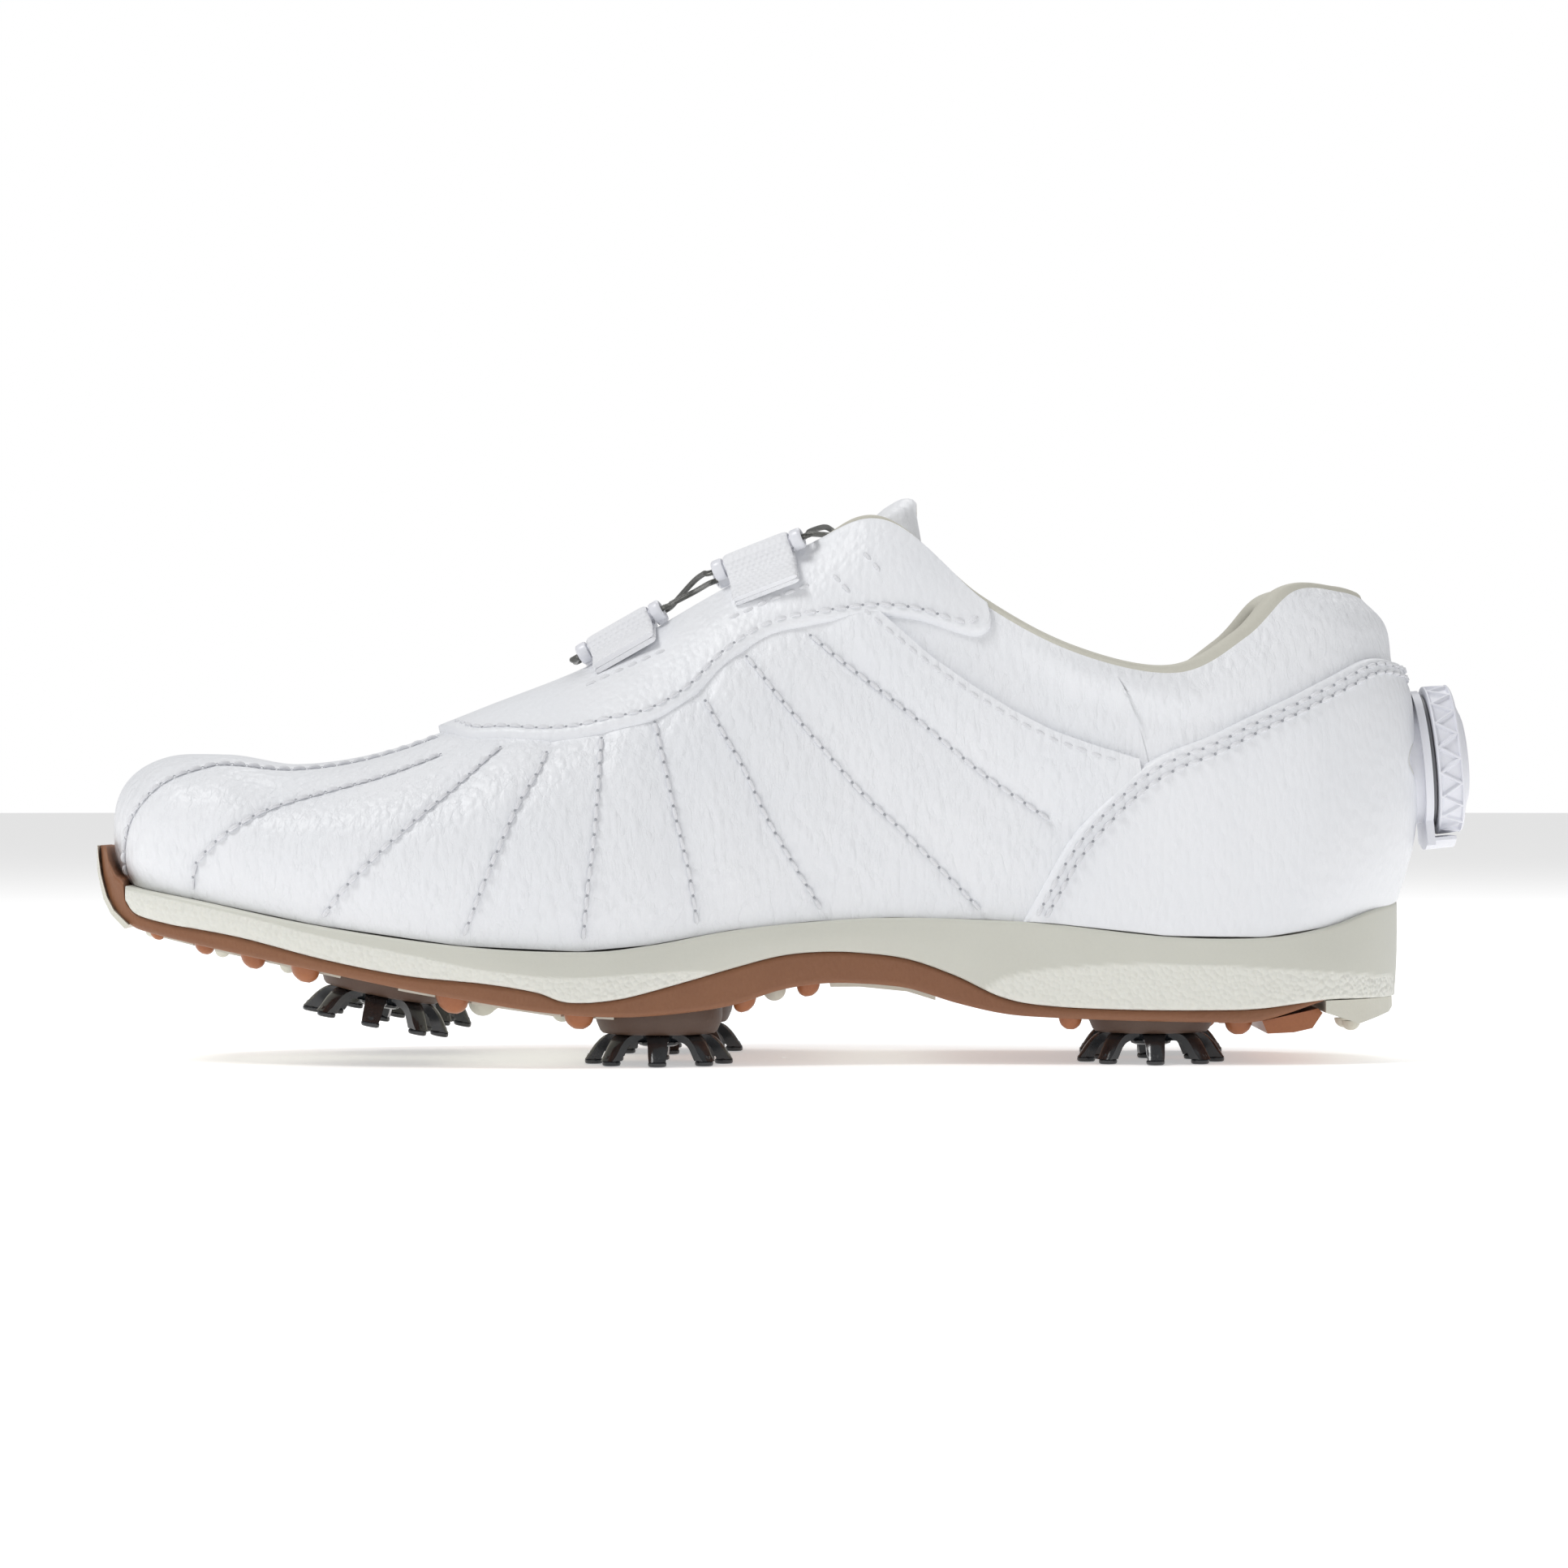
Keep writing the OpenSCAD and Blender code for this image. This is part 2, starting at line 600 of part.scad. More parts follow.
module tongue_padding() {
    top = tongue_out - tongue_cover_t - glue_t;
    color(cream)
    tongue_layer(function(t) top, function(t) top - tongue_thick(t));
}

module tongue_lining() {
    top = tongue_out - tongue_cover_t - 2 * glue_t;
    color(beige)
    tongue_layer(
        function(t) top - tongue_thick(t),
        function(t) top - tongue_thick(t) - tongue_lining_t
    );
}

// ---- Sole ----

plan_step = 3;           // points per span of the sole's plan
plan_curve = [for (i = [0:len(plan) * plan_step - 1]) on_loop(plan, i / plan_step)];
foot_curve = [for (i = [0:loop_n * 2 - 1]) on_loop(foot_loop, i / 2)];

function real_plan(L) = [for (p = L) [to_x(p[0]), to_y(p[1])]];

// A closed outline moved inwards by d
function inset(L, d) =
    let (n = len(L))
    [
        for (i = [0:n - 1])
            let (t = L[(i + 1) % n] - L[(i - 1 + n) % n], u = t / norm(t))
            L[i] + d * [-u[1], u[0]]
    ];

module plan_prism(inward_d) {
    linear_extrude(height = 2 * collar_h)
    polygon(inset(real_plan(plan_curve), inward_d));
}

module foot_prism(inward_d) {
    linear_extrude(height = 2 * collar_h)
    polygon(inset(real_plan(foot_curve), inward_d));
}

// A side profile given in length and height, carried across the whole width
module across(outline) {
    translate([0, 2 * ball_w, 0])
    rotate([90, 0, 0])
    linear_extrude(height = 4 * ball_w)
    polygon(outline);
}

function reversed(L) = [for (i = [len(L) - 1:-1:0]) L[i]];
function between(L, lo, hi) = [for (p = L) if (p[0] >= lo && p[0] <= hi) p];
function raised(L, h) = [for (p = L) [p[0], p[1] + h]];

// Cleat stations: length, offset to the side and slope of the sole there
cleat_sites = [
    [-82.6, -22.5, 11.2], [-80.6, 20.5, 11.2],
    [-25.6, -24, 0], [-24, 24.5, 0],
    [75.6, -16.5, 0], [78, 17, 0]
];
front_rise = 8;          // height of the front cleats' faces above the others, in the drawn outlines

function site_z(i) = cleat_h + (i < 2 ? front_rise * ks : 0);

module at_cleat(i) {
    translate([to_x(cleat_sites[i][0]), to_y(cleat_sites[i][1]), site_z(i)])
    rotate([0, cleat_sites[i][2], 0])
    children();
}

socket_d = stud_d + 2 * run_gap + 2 * socket_wall;
socket_l = stud_l + 1.2;
pocket_gap = 0.1;

module midsole_profile() {
    rim = concat(between(feather, -134.6, 120.3), heel_edge);
    across(side_points(concat(rim, reversed(tread_top))));
}

module midsole() {
    color(cream)
    difference() {
        intersection() {
            midsole_profile();
            plan_prism(0.2);
        }
        for (i = [0:5])
            at_cleat(i)
            translate([0, 0, -1])
            cylinder(d = socket_d + 2 * pocket_gap, h = socket_l + 1 + pocket_gap);
        shank_slot(pocket_gap);
    }
}

shank_from = -40;
shank_to = 60;

module shank_slot(gap) {
    line = between(feather, -42, 60);
    depth = shank_t + gap;
    intersection() {
        across(concat(side_points(line), reversed([for (p = side_points(line)) [p[0], p[1] - depth]])));
        translate([to_x(shank_from) - gap, -shank_w / 2 - gap, 0])
        cube([to_x(shank_to) - to_x(shank_from) + 2 * gap, shank_w + 2 * gap, collar_h]);
    }
}

module shank() {
    color(steel)
    shank_slot(0);
}

module insole_board() {
    line = raised(side_points(between(feather, -134.6, 128.6)), 0.05);
    inner_inset = -lining_out + lining_t + 0.5;
    color(beige)
    intersection() {
        across(concat(line, reversed(raised(line, board_t))));
        foot_prism(inner_inset);
    }
}

module sockliner() {
    line = raised(side_points(between(feather, -134.6, 128.6)), 0.1 + board_t);
    inner_inset = -lining_out + lining_t + 4.4;
    color(cream)
    intersection() {
        across(concat(line, reversed(raised(line, sockliner_t))));
        foot_prism(inner_inset);
    }
}

outsole_seam = 0.05;

module outsole() {
    lower = side_points(tread_low);
    upper = raised(side_points(tread_top), -outsole_seam);
    guard = side_points(guard_inner);
    color(brown)
    difference() {
        union() {
            intersection() {
                across(concat(lower, reversed(upper), reversed(guard)));
                plan_prism(0.9);
            }
            for (i = [0:5]) at_cleat(i) cylinder(d = boss_d, h = 3.2);
        }
        for (i = [0:5])
            at_cleat(i)
            translate([0, 0, -1])
            cylinder(d = socket_d + 2 * pocket_gap, h = socket_l + 1 + pocket_gap);
    }
}

module toe_guard_skin() {
    edge = side_points(between(tread_low, -142, -133.5));
    shift = [for (i = [0:len(edge) - 1]) edge[i] - [guard_t, guard_t * i / (len(edge) - 1)]];
    inner = [for (p = edge) p - [0.05, 0.05]];
    color(cream)
    intersection() {
        across(concat(shift, reversed(inner)));
        plan_prism(0);
    }
}

module heel_block() {
    color(cream)
    intersection() {
        across(side_points([[110.6, 11.9], [126.2, 12.1], [126.3, 10], [125.3, 9], [118, 7], [110.6, 9.4]]));
        plan_prism(0.4);
    }
}

inlay_t = 0.8;

module outsole_inlay() {
    line = side_points(concat([[-130.5, 26.1]], between(tread_low, -129, -33)));
    color(cream)
    difference() {
        intersection() {
            across(concat(raised(line, -0.05), reversed(raised(line, -0.05 - inlay_t))));
            plan_prism(9);
        }
        for (i = [0:3]) at_cleat(i) translate([0, 0, -10]) cylinder(d = boss_d + 0.4, h = 30);
        for (p = brown_sites)
            if (p[0] < -33)
            translate([to_x(p[0]), to_y(p[1]), 0])
            cylinder(r = p[2] + 0.5, h = 40, $fn = 24);
    }
}

module arch_plate() {
    line = side_points(concat([[9.5, 15.5]], between(tread_low, 10, 26), [[31, 12.7]]));
    color(cream)
    intersection() {
        across(concat(raised(line, -0.05), reversed(raised(line, -0.05 - inlay_t))));
        plan_prism(7);
    }
}

// Traction nubs: length, offset to the side and radius
brown_sites = [
    [-129, -18, 1.6], [-118.5, -24.5, 2.1], [-108, -30, 2.6], [-97, -34.5, 3], [-67, -37.5, 3.4],
    [-41.5, -36, 3.1],
    [-8, -27.5, 2.4], [5, -26, 2.4], [58.5, -25.5, 2.4], [93, -24, 2.9],
    [-127, 8, 1.6], [-114, 17, 2.1], [-101, 23, 2.6], [-66, 36, 3.4], [-42, 38, 3.1], [-8, 33, 2.4],
    [6, 31, 2.4],
    [60, 26, 2.4], [94, 23, 2.9], [66, 1, 2.6], [88, 0, 2.6]
];
white_sites = [
    [-131.5, -8, 1.2], [-116, -14, 1.6], [-116, 4, 1.6], [-102, -18, 1.8], [-102, 4, 1.8],
    [-62, -18, 3], [-62, 2, 3],
    [-62, 20, 3], [-46, -10, 2.2], [-46, 10, 2.2], [-2, -14, 2.4], [-2, 12, 2.4], [4, 0, 1.8],
    [118, -6, 2], [118, 7, 2]
];

// Underside that the nubs stand on, to the back of the heel block
under_line = concat(between(tread_low, -134, 110), [[110.6, 9.4], [118, 7], [125.3, 9]]);

module nub(p, sink) {
    line = side_points(under_line);
    x = to_x(p[0]);
    slope = atan2(lookup(x - p[2], line) - lookup(x + p[2], line), 2 * p[2]);
    translate([x, to_y(p[1]), lookup(x, line) - sink])
    rotate([0, slope, 0])
    intersection() {
        sphere(r = p[2], $fn = 24);
        translate([0, 0, -p[2]]) cube([4 * p[2], 4 * p[2], 2 * p[2]], center = true);
    }
}

module brown_nubs() {
    color(brown)
    for (p = brown_sites) nub(p, 0.12);
}

module white_nubs() {
    color(cream)
    for (p = white_sites) nub(p, p[0] < -33 ? inlay_t + 0.2 : 0.2);
}

module heel_lug() {
    color(brown)
    intersection() {
        across(side_points([[97.5, 7.8], [109.2, 10.2], [110.2, 9.3], [108, 6.2], [104, 5.4], [98.6, 5.2]]));
        plan_prism(3);
    }
}

module cleat_sockets() {
    color(black)
    for (i = [0:5]) at_cleat(i) difference() {
        cylinder(d = socket_d, h = socket_l, $fn = 96);
        translate([0, 0, -1]) cylinder(d = stud_d + 2 * run_gap, h = stud_l + 1 + 0.3, $fn = 96);
    }
}

// ---- Cleats ----

foot_r = 1.9;
foot_t = 1.1;

module cleat() {
    rim_r = cleat_d / 2;
    skirt = [
        [stud_d / 2, -1.3], [8.4, -1.3], [10.4, -2.2], [11.6, -3.6], [rim_r - 3.6, -cleat_h + foot_t],
        [rim_r - 0.2, -cleat_h + foot_t], [rim_r, -cleat_h + foot_t + 0.9],
        [rim_r - 1.6, -cleat_h + foot_t + 1.3],
        [rim_r - 2.8, -2.2], [rim_r - 4.2, -0.4], [rim_r - 5, -0.06], [stud_d / 2, -0.06]
    ];
    gap_r = (rim_r * sin(180 / leg_n) - foot_r) * 0.92;
    color(black) {
        difference() {
            rotate_extrude($fn = 96) polygon(skirt);
            for (k = [0:leg_n - 1])
                rotate([0, 0, (k + 0.5) * 360 / leg_n])
                translate([rim_r - 8, 0, -cleat_h + 0.4])
                rotate([0, 90, 0])
                cylinder(r = gap_r, h = 12, $fn = 48);
        }
        for (k = [0:leg_n - 1])
            rotate([0, 0, k * 360 / leg_n])
            translate([rim_r - foot_r - 0.3, 0, -cleat_h])
            cylinder(r = foot_r, h = foot_t + 0.4, $fn = 32);
        translate([0, 0, -2.6]) cylinder(d = stud_d, h = stud_l + 2.6, $fn = 96);
    }
}

module cleat_front_medial() at_cleat(0) cleat();
module cleat_front_lateral() at_cleat(1) cleat();
module cleat_mid_medial() at_cleat(2) cleat();
module cleat_mid_lateral() at_cleat(3) cleat();
module cleat_heel_medial() at_cleat(4) cleat();
module cleat_heel_lateral() at_cleat(5) cleat();

// ---- Reel at the heel ----

reel_share = 0.447;       // height of the reel's axis, as a share of the heel
reel_at = on_upper(heel_a, reel_share, over_out);
case_floor = 1;
case_wall = 1.6;
flange_d = 29.5;
flange_z = 0.4;
flange_l = 1.6;
rim_z = flange_z + flange_l;
post_d = 5;
ring_l = 0.8;
ring_gap = 0.25;

module at_reel() {
    translate(reel_at)
    rotate([0, 90 - reel_tilt, 0])
    children();
}

module reel_case() {
    bore_d = case_d - 2 * case_wall;
    color(white)
    at_reel()
    difference() {
        union() {
            translate([0, 0, -case_l]) cylinder(d = case_d, h = case_l + rim_z, $fn = 96);
            translate([0, 0, flange_z]) cylinder(d = flange_d, h = flange_l, $fn = 96);
            // Guard shelf under the knob
            intersection() {
                translate([0, 0, flange_z]) cylinder(d = knob_d + 6, h = flange_l + 4.4, $fn = 96);
                translate([knob_d / 2 + 0.5, -8, flange_z]) cube([3, 16, flange_l + 4.4]);
            }
            translate([knob_d / 2 - 4, -8, flange_z]) cube([6, 16, flange_l]);
            lace_way(3.6, 7.6);
        }
        difference() {
            translate([0, 0, case_floor - case_l]) cylinder(d = bore_d, h = case_l + 10, $fn = 96);
            translate([0, 0, -case_l]) cylinder(d = post_d, h = case_l + rim_z - 0.2, $fn = 96);
        }
        translate([0, 0, -case_l + 1.4]) cylinder(d = 1.8, h = case_l + 10, $fn = 48);
        lace_way(tube_d + 0.2, 12);
    }
}

// The two ways that the lace takes out of the case, down under the leather on each side
module lace_way(d, l) {
    for (s = [-1, 1])
        translate([0, s * 10.4, -1.2])
        rotate([-s * 147, 0, 0])
        cylinder(d = d, h = l, $fn = 32);
}

spool_l = 2.6;

module reel_spool() {
    bore_d = case_d - 2 * case_wall;
    color(black)
    at_reel()
    translate([0, 0, case_floor - case_l + 0.1])
    difference() {
        rotate_extrude($fn = 96)
        polygon([
            [post_d / 2 + run_gap, 0], [bore_d / 2 - run_gap, 0], [bore_d / 2 - run_gap, 0.5], [7, 0.5],
            [7, spool_l - 0.6], [bore_d / 2 - run_gap, spool_l - 0.6], [bore_d / 2 - run_gap, spool_l],
            [post_d / 2 + run_gap, spool_l]
        ]);
        for (k = [0:2])
            rotate([0, 0, 120 * k])
            translate([5, 0, 1.2])
            cylinder(d = 1.8, h = spool_l, $fn = 32);
    }
}

pawl_z = case_floor - case_l + 0.1 + spool_l + 0.1;

module knob_pawls() {
    color(steel)
    at_reel()
    difference() {
        union() {
            translate([0, 0, pawl_z]) cylinder(d = 18, h = 1.2, $fn = 96);
            for (k = [0:2])
                rotate([0, 0, 120 * k + 40])
                translate([8, -1.2, pawl_z])
                cube([2.6, 2.4, 1.1]);
        }
        translate([0, 0, pawl_z - 1]) cylinder(d = post_d + 2 * run_gap, h = 4, $fn = 96);
    }
}

module reel_ring() {
    color(steel)
    at_reel()
    translate([0, 0, flange_z + flange_l])
    difference() {
        cylinder(d = case_d + 1.4, h = ring_l, $fn = 96);
        translate([0, 0, -1]) cylinder(d = case_d - 2 * case_wall, h = 4, $fn = 96);
    }
}

knob_z = rim_z + ring_l + ring_gap;
core_d = knob_d - 2.4;
cap_z = knob_z + knob_l - 0.98;
head_z = cap_z - 0.25;

module knob_core() {
    neck_d = case_d - 2 * case_wall - 2 * run_gap;
    // Floor of the screw's recess: the knob can be pulled out until the floor meets the screw's head
    floor_z = head_z - pull_l - 0.1;
    color(white)
    at_reel()
    difference() {
        union() {
            translate([0, 0, pawl_z + 1.3]) cylinder(d = neck_d, h = knob_z - pawl_z - 1.3 + 0.2, $fn = 96);
            translate([0, 0, knob_z]) cylinder(d = core_d, h = knob_l - 1, $fn = 96);
        }
        translate([0, 0, pawl_z]) cylinder(d = post_d + 2 * run_gap, h = floor_z - 1.2 - pawl_z, $fn = 96);
        translate([0, 0, pawl_z]) cylinder(d = 2.1, h = 20, $fn = 48);
        translate([0, 0, floor_z]) cylinder(d = 4.6, h = knob_l, $fn = 48);
    }
}

module knob_grip() {
    color(white)
    at_reel()
    difference() {
        rotate_extrude($fn = 96)
        polygon([
            [core_d / 2 + 0.02, knob_z], [knob_d / 2 - 0.6, knob_z], [knob_d / 2, knob_z + 0.7],
            [knob_d / 2, knob_z + knob_l - 2.2], [knob_d / 2 - 0.9, knob_z + knob_l - 0.6],
            [knob_d / 2 - 2.2, knob_z + knob_l], [core_d / 2 - 2.4, knob_z + knob_l],
            [core_d / 2 - 2.4, knob_z + knob_l - 0.98], [core_d / 2 + 0.02, knob_z + knob_l - 0.98]
        ]);
        for (k = [0:29])
            rotate([0, 0, 12 * k])
            translate([knob_d / 2 - 0.5, -0.45, knob_z + 1])
            cube([2, 0.9, knob_l - 2.6]);
    }
}

dome_l = 1.7;

module knob_cap() {
    color(white)
    at_reel()
    difference() {
        rotate_extrude($fn = 96)
        polygon([
            [0, cap_z], [core_d / 2 - 2.45, cap_z], [core_d / 2 - 2.45, cap_z + 1.1],
            [core_d / 2 - 4.4, cap_z + 2],
            [core_d / 2 - 5.2, cap_z + 2.7], [core_d / 2 - 8, cap_z + dome_l + 0.9],
            [0, cap_z + dome_l + 1.1]
        ]);
        translate([0, 0, cap_z - 1]) cylinder(d = 5, h = 2.2, $fn = 48);
    }
}

module reel_screw() {
    color(steel)
    at_reel() {
        translate([0, 0, -case_l + 1.6]) cylinder(d = 1.7, h = head_z + case_l - 1.6 + 0.2, $fn = 48);
        translate([0, 0, head_z]) cylinder(d = 4.4, h = 1.1, $fn = 48);
    }
}

// ---- Lace, its tubes, loops and guides ----

// A tube swept along points L with n sides
function sweep_points(L, r, n) =
    [
        for (i = [0:len(L) - 1])
            let (
                p = L[max(i - 1, 0)],
                q = L[min(i + 1, len(L) - 1)],
                t = (q - p) / norm(q - p),
                u0 = cross(t, [0.31, 0.02, 0.95]),
                u = u0 / norm(u0),
                w = cross(t, u)
            )
            for (k = [0:n - 1]) L[i] + r * (cos(360 * k / n) * u + sin(360 * k / n) * w)
    ];

module tube_along(L, r, n) {
    m = len(L);
    sides = [
        for (i = [0:m - 2]) for (k = [0:n - 1])
            let (p = i * n + k, q = i * n + (k + 1) % n)
            each [[p, q + n, q], [p, p + n, q + n]]
    ];
    ends = [[for (k = [0:n - 1]) k], [for (k = [n - 1:-1:0]) (m - 1) * n + k]];
    polyhedron(sweep_points(L, r, n), concat(sides, ends), convexity = 10);
}

// Frame of a piece that lies on an eyestay: at station a and share v, x across the throat's edge, z outwards
function frame_at(a, v, d) =
    let (
        p = on_upper(a, v, d),
        up = on_upper(a, v, d) - on_upper(a, v - 0.02, d),
        along = on_upper(a + 0.05, v, d) - on_upper(a - 0.05, v, d),
        z0 = cross(along, up),
        z = z0 / norm(z0),
        y = up / norm(up),
        x = cross(y, z)
    )
    [
        [x[0], y[0], z[0], p[0]],
        [x[1], y[1], z[1], p[1]],
        [x[2], y[2], z[2], p[2]],
        [0, 0, 0, 1]
    ];

strap_w = 14.4;
strap_t = 1.1;
strap_l = 9;
guide_d = 2.6;
ear_d = 4.4;
guide_y = 1;
guide_z = 2.5;
seat_gap = 0.3;          // seam between the loops and the curved eyestay under them

// Webbing loop: two plies sewn down over the eyestay and folded round the guide at the throat's edge
module loop(a) {
    color(white)
    multmatrix(frame_at(a, 0.985, over_out + seat_gap))
    translate([-strap_w / 2, 0, 0])
    rotate([90, 0, 90])
    linear_extrude(height = strap_w)
    difference() {
        union() {
            polygon([
                [-strap_l, 0], [0.4, 0], [guide_y + 1.6, 0.6], [guide_y + 1.6, 2.4],
                [guide_y, 2 * strap_t + 2.4],
                [-2, 2 * strap_t + 0.3], [-strap_l, 2 * strap_t]
            ]);
            translate([guide_y, guide_z]) circle(d = guide_d + 2 * strap_t, $fn = 32);
        }
        translate([guide_y, guide_z]) circle(d = guide_d + 0.1, $fn = 32);
    }
}

module guide(a) {
    color(white)
    multmatrix(frame_at(a, 0.985, over_out + seat_gap))
    translate([0, guide_y, guide_z])
    rotate([0, 90, 0])
    difference() {
        union() {
            cylinder(d = guide_d, h = strap_w + 1.6, center = true, $fn = 32);
            for (s = [-1, 1])
                translate([0, 0, s * (strap_w / 2 + 1.6)])
                cylinder(d = ear_d, h = 2.4, center = true, $fn = 32);
        }
        cylinder(d = lace_d + 0.25, h = strap_w + 10, center = true, $fn = 32);
        for (s = [-1, 1])
            translate([0, 0, s * (strap_w / 2 + 2.2)])
            cylinder(d = ear_d - 1.4, h = 2.4, center = true, $fn = 32);
    }
}

lower_a = 7.28;
upper_a = 8.55;

module loop_lower_medial() loop(lower_a);
module loop_lower_lateral() loop(-lower_a);
module loop_upper_medial() loop(upper_a);
module loop_upper_lateral() loop(-upper_a);
module guide_lower_medial() guide(lower_a);
module guide_lower_lateral() guide(-lower_a);
module guide_upper_medial() guide(upper_a);
module guide_upper_lateral() guide(-upper_a);

// The lace's route, from the reel up the inner side, across the throat through the four guides and back
// down the outer side
route_medial = [
    [126.4, -13, 61.3], [123.6, -14.9, 61], [120.8, -16.8, 60.6], [117, -19.1, 59.7],
    [112.7, -21.3, 59], [108.4, -23.1, 58.4], [99.6, -24.8, 58], [89.3, -25.7, 58.8],
    [79, -25.7, 61.2], [67.7, -25.7, 65.3], [57.1, -25.1, 70.4], [46, -23.7, 77.3], [37, -22, 86.2],
    [27.8, -19.3, 96.4], [21.7, -17.1, 101.9], [17.2, -15.5, 104.4], [12.1, -14.1, 105.8],
    [10.8, -12.4, 107.8], [10.3, -11.2, 109.2]
];
route_lateral = [
    [126.4, 13, 61.3], [123.6, 14.9, 61], [120.8, 16.8, 60.6], [117, 18.1, 59.5],
    [112.7, 20.3, 58.7], [108.2, 22.4, 58.1], [99.2, 24.7, 57.5], [88.9, 26.4, 58.1],
    [78.6, 27.1, 60.4], [67.3, 27.9, 64.5], [56.7, 28, 69.8], [45.6, 27.1, 76.9],
    [36.5, 25.5, 85.7], [27.5, 22.3, 95.9], [21.6, 19.5, 101.4], [17.3, 17.2, 103.9],
    [12.4, 14.8, 105.4], [11.1, 12.2, 107.5], [10.3, 11.2, 109.2]
];
route_throat = [
    [9.8, -8.5, 110], [8.4, 0, 111], [5.6, 10.8, 110.7], [5, 14.2, 110.2], [4.4, 15.7, 109.7],
    [3.6, 16.1, 109.3], [1.9, 15.7, 108.5], [-13.1, 12.3, 100.9], [-14.8, 11.9, 100.1],
    [-15.7, 11, 99.7], [-16.2, 9.6, 99.4], [-18.9, -1.5, 97.3], [-23, -9.8, 94.8],
    [-23.4, -11.8, 94.4], [-23.9, -12.9, 94], [-24.7, -13.3, 93.7], [-26.4, -13, 92.8],
    [-41.2, -10.3, 84.5], [-42.9, -10, 83.5], [-43.7, -9.1, 83.1], [-44, -7.1, 83],
    [-43.2, -1.8, 83.3], [-43.9, 3.4, 82.9], [-43.6, 5.3, 82.9], [-42.9, 6.1, 83.3],
    [-41.2, 6.4, 84.3], [-26.5, 8.7, 93], [-24.8, 9, 94], [-24, 8.5, 94.5], [-23.4, 6.8, 95],
    [-19, -2, 99.4], [-16.7, -11.1, 100.7], [-16.2, -13.1, 100.7], [-15.7, -13.9, 100.7],
    [-14.9, -14.1, 100.9], [-13.1, -14.5, 101.5], [2.6, -17.9, 107.6], [4.5, -18.3, 108.3],
    [5.3, -17.7, 108.6], [5.7, -15.7, 108.8], [8.4, 0, 109.4], [9.9, 8.4, 109.6]
];

module lace() {
    color(steel)
    tube_along(
        concat(route_medial, route_throat, reversed(route_lateral)),
        lace_d / 2,
        8
    );
}

// A tube for the lace along points L, open at both ends
module lace_tube(L) {
    n = 8;
    m = len(L);
    outer = sweep_points(L, tube_d / 2, n);
    inner = sweep_points(L, lace_d / 2 + 0.12, n);
    back = m * n;
    sides = [
        for (i = [0:m - 2]) for (k = [0:n - 1])
            let (p = i * n + k, q = i * n + (k + 1) % n)
            each [
                [p, q + n, q], [p, p + n, q + n],
                [back + p, back + q, back + q + n], [back + p, back + q + n, back + p + n]
            ]
    ];
    ends = [
        for (k = [0:n - 1])
            let (p = k, q = (k + 1) % n, r = (m - 1) * n + k, s = (m - 1) * n + (k + 1) % n)
            each [
                [p, q, back + q], [p, back + q, back + p],
                [r, back + s, s], [r, back + r, back + s]
            ]
    ];
    color(white)
    polyhedron(concat(outer, inner), concat(sides, ends), convexity = 10);
}

module lace_tube_medial() lace_tube([for (i = [0:len(route_medial) - 2]) route_medial[i]]);
module lace_tube_lateral() lace_tube([for (i = [0:len(route_lateral) - 2]) route_lateral[i]]);

vamp();
quarter_medial();
quarter_lateral();
eyestay_medial();
eyestay_lateral();
counter_cover();
topline_binding();
vamp_lining();
quarter_lining();
collar_padding();
toe_puff();
heel_stiffener();
tongue_cover();
tongue_padding();
tongue_lining();
insole_board();
shank();
sockliner();
midsole();
outsole();
toe_guard_skin();
heel_block();
outsole_inlay();
arch_plate();
brown_nubs();
white_nubs();
heel_lug();
cleat_sockets();
cleat_front_medial();
cleat_front_lateral();
cleat_mid_medial();
cleat_mid_lateral();
cleat_heel_medial();
cleat_heel_lateral();
reel_case();
reel_ring();
reel_spool();
reel_screw();
knob_core();
knob_grip();
knob_cap();
knob_pawls();
lace();
lace_tube_medial();
lace_tube_lateral();
loop_lower_medial();
loop_lower_lateral();
loop_upper_medial();
loop_upper_lateral();
guide_lower_medial();
guide_lower_lateral();
guide_upper_medial();
guide_upper_lateral();
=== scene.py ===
"""Right-foot golf shoe with a heel reel: the visual model, built over the CAD frame.

Lengths inside the classes are millimetres in the frame's own axes (X toe to heel, Y inner to outer side, Z up);
meshes are written in metres. Each surface is worked out from two parameters: a station round the last and a share
of the way up its section, which is how the CAD pieces are laid out too.
"""

import logging
import math
from dataclasses import dataclass, field
from enum import Enum

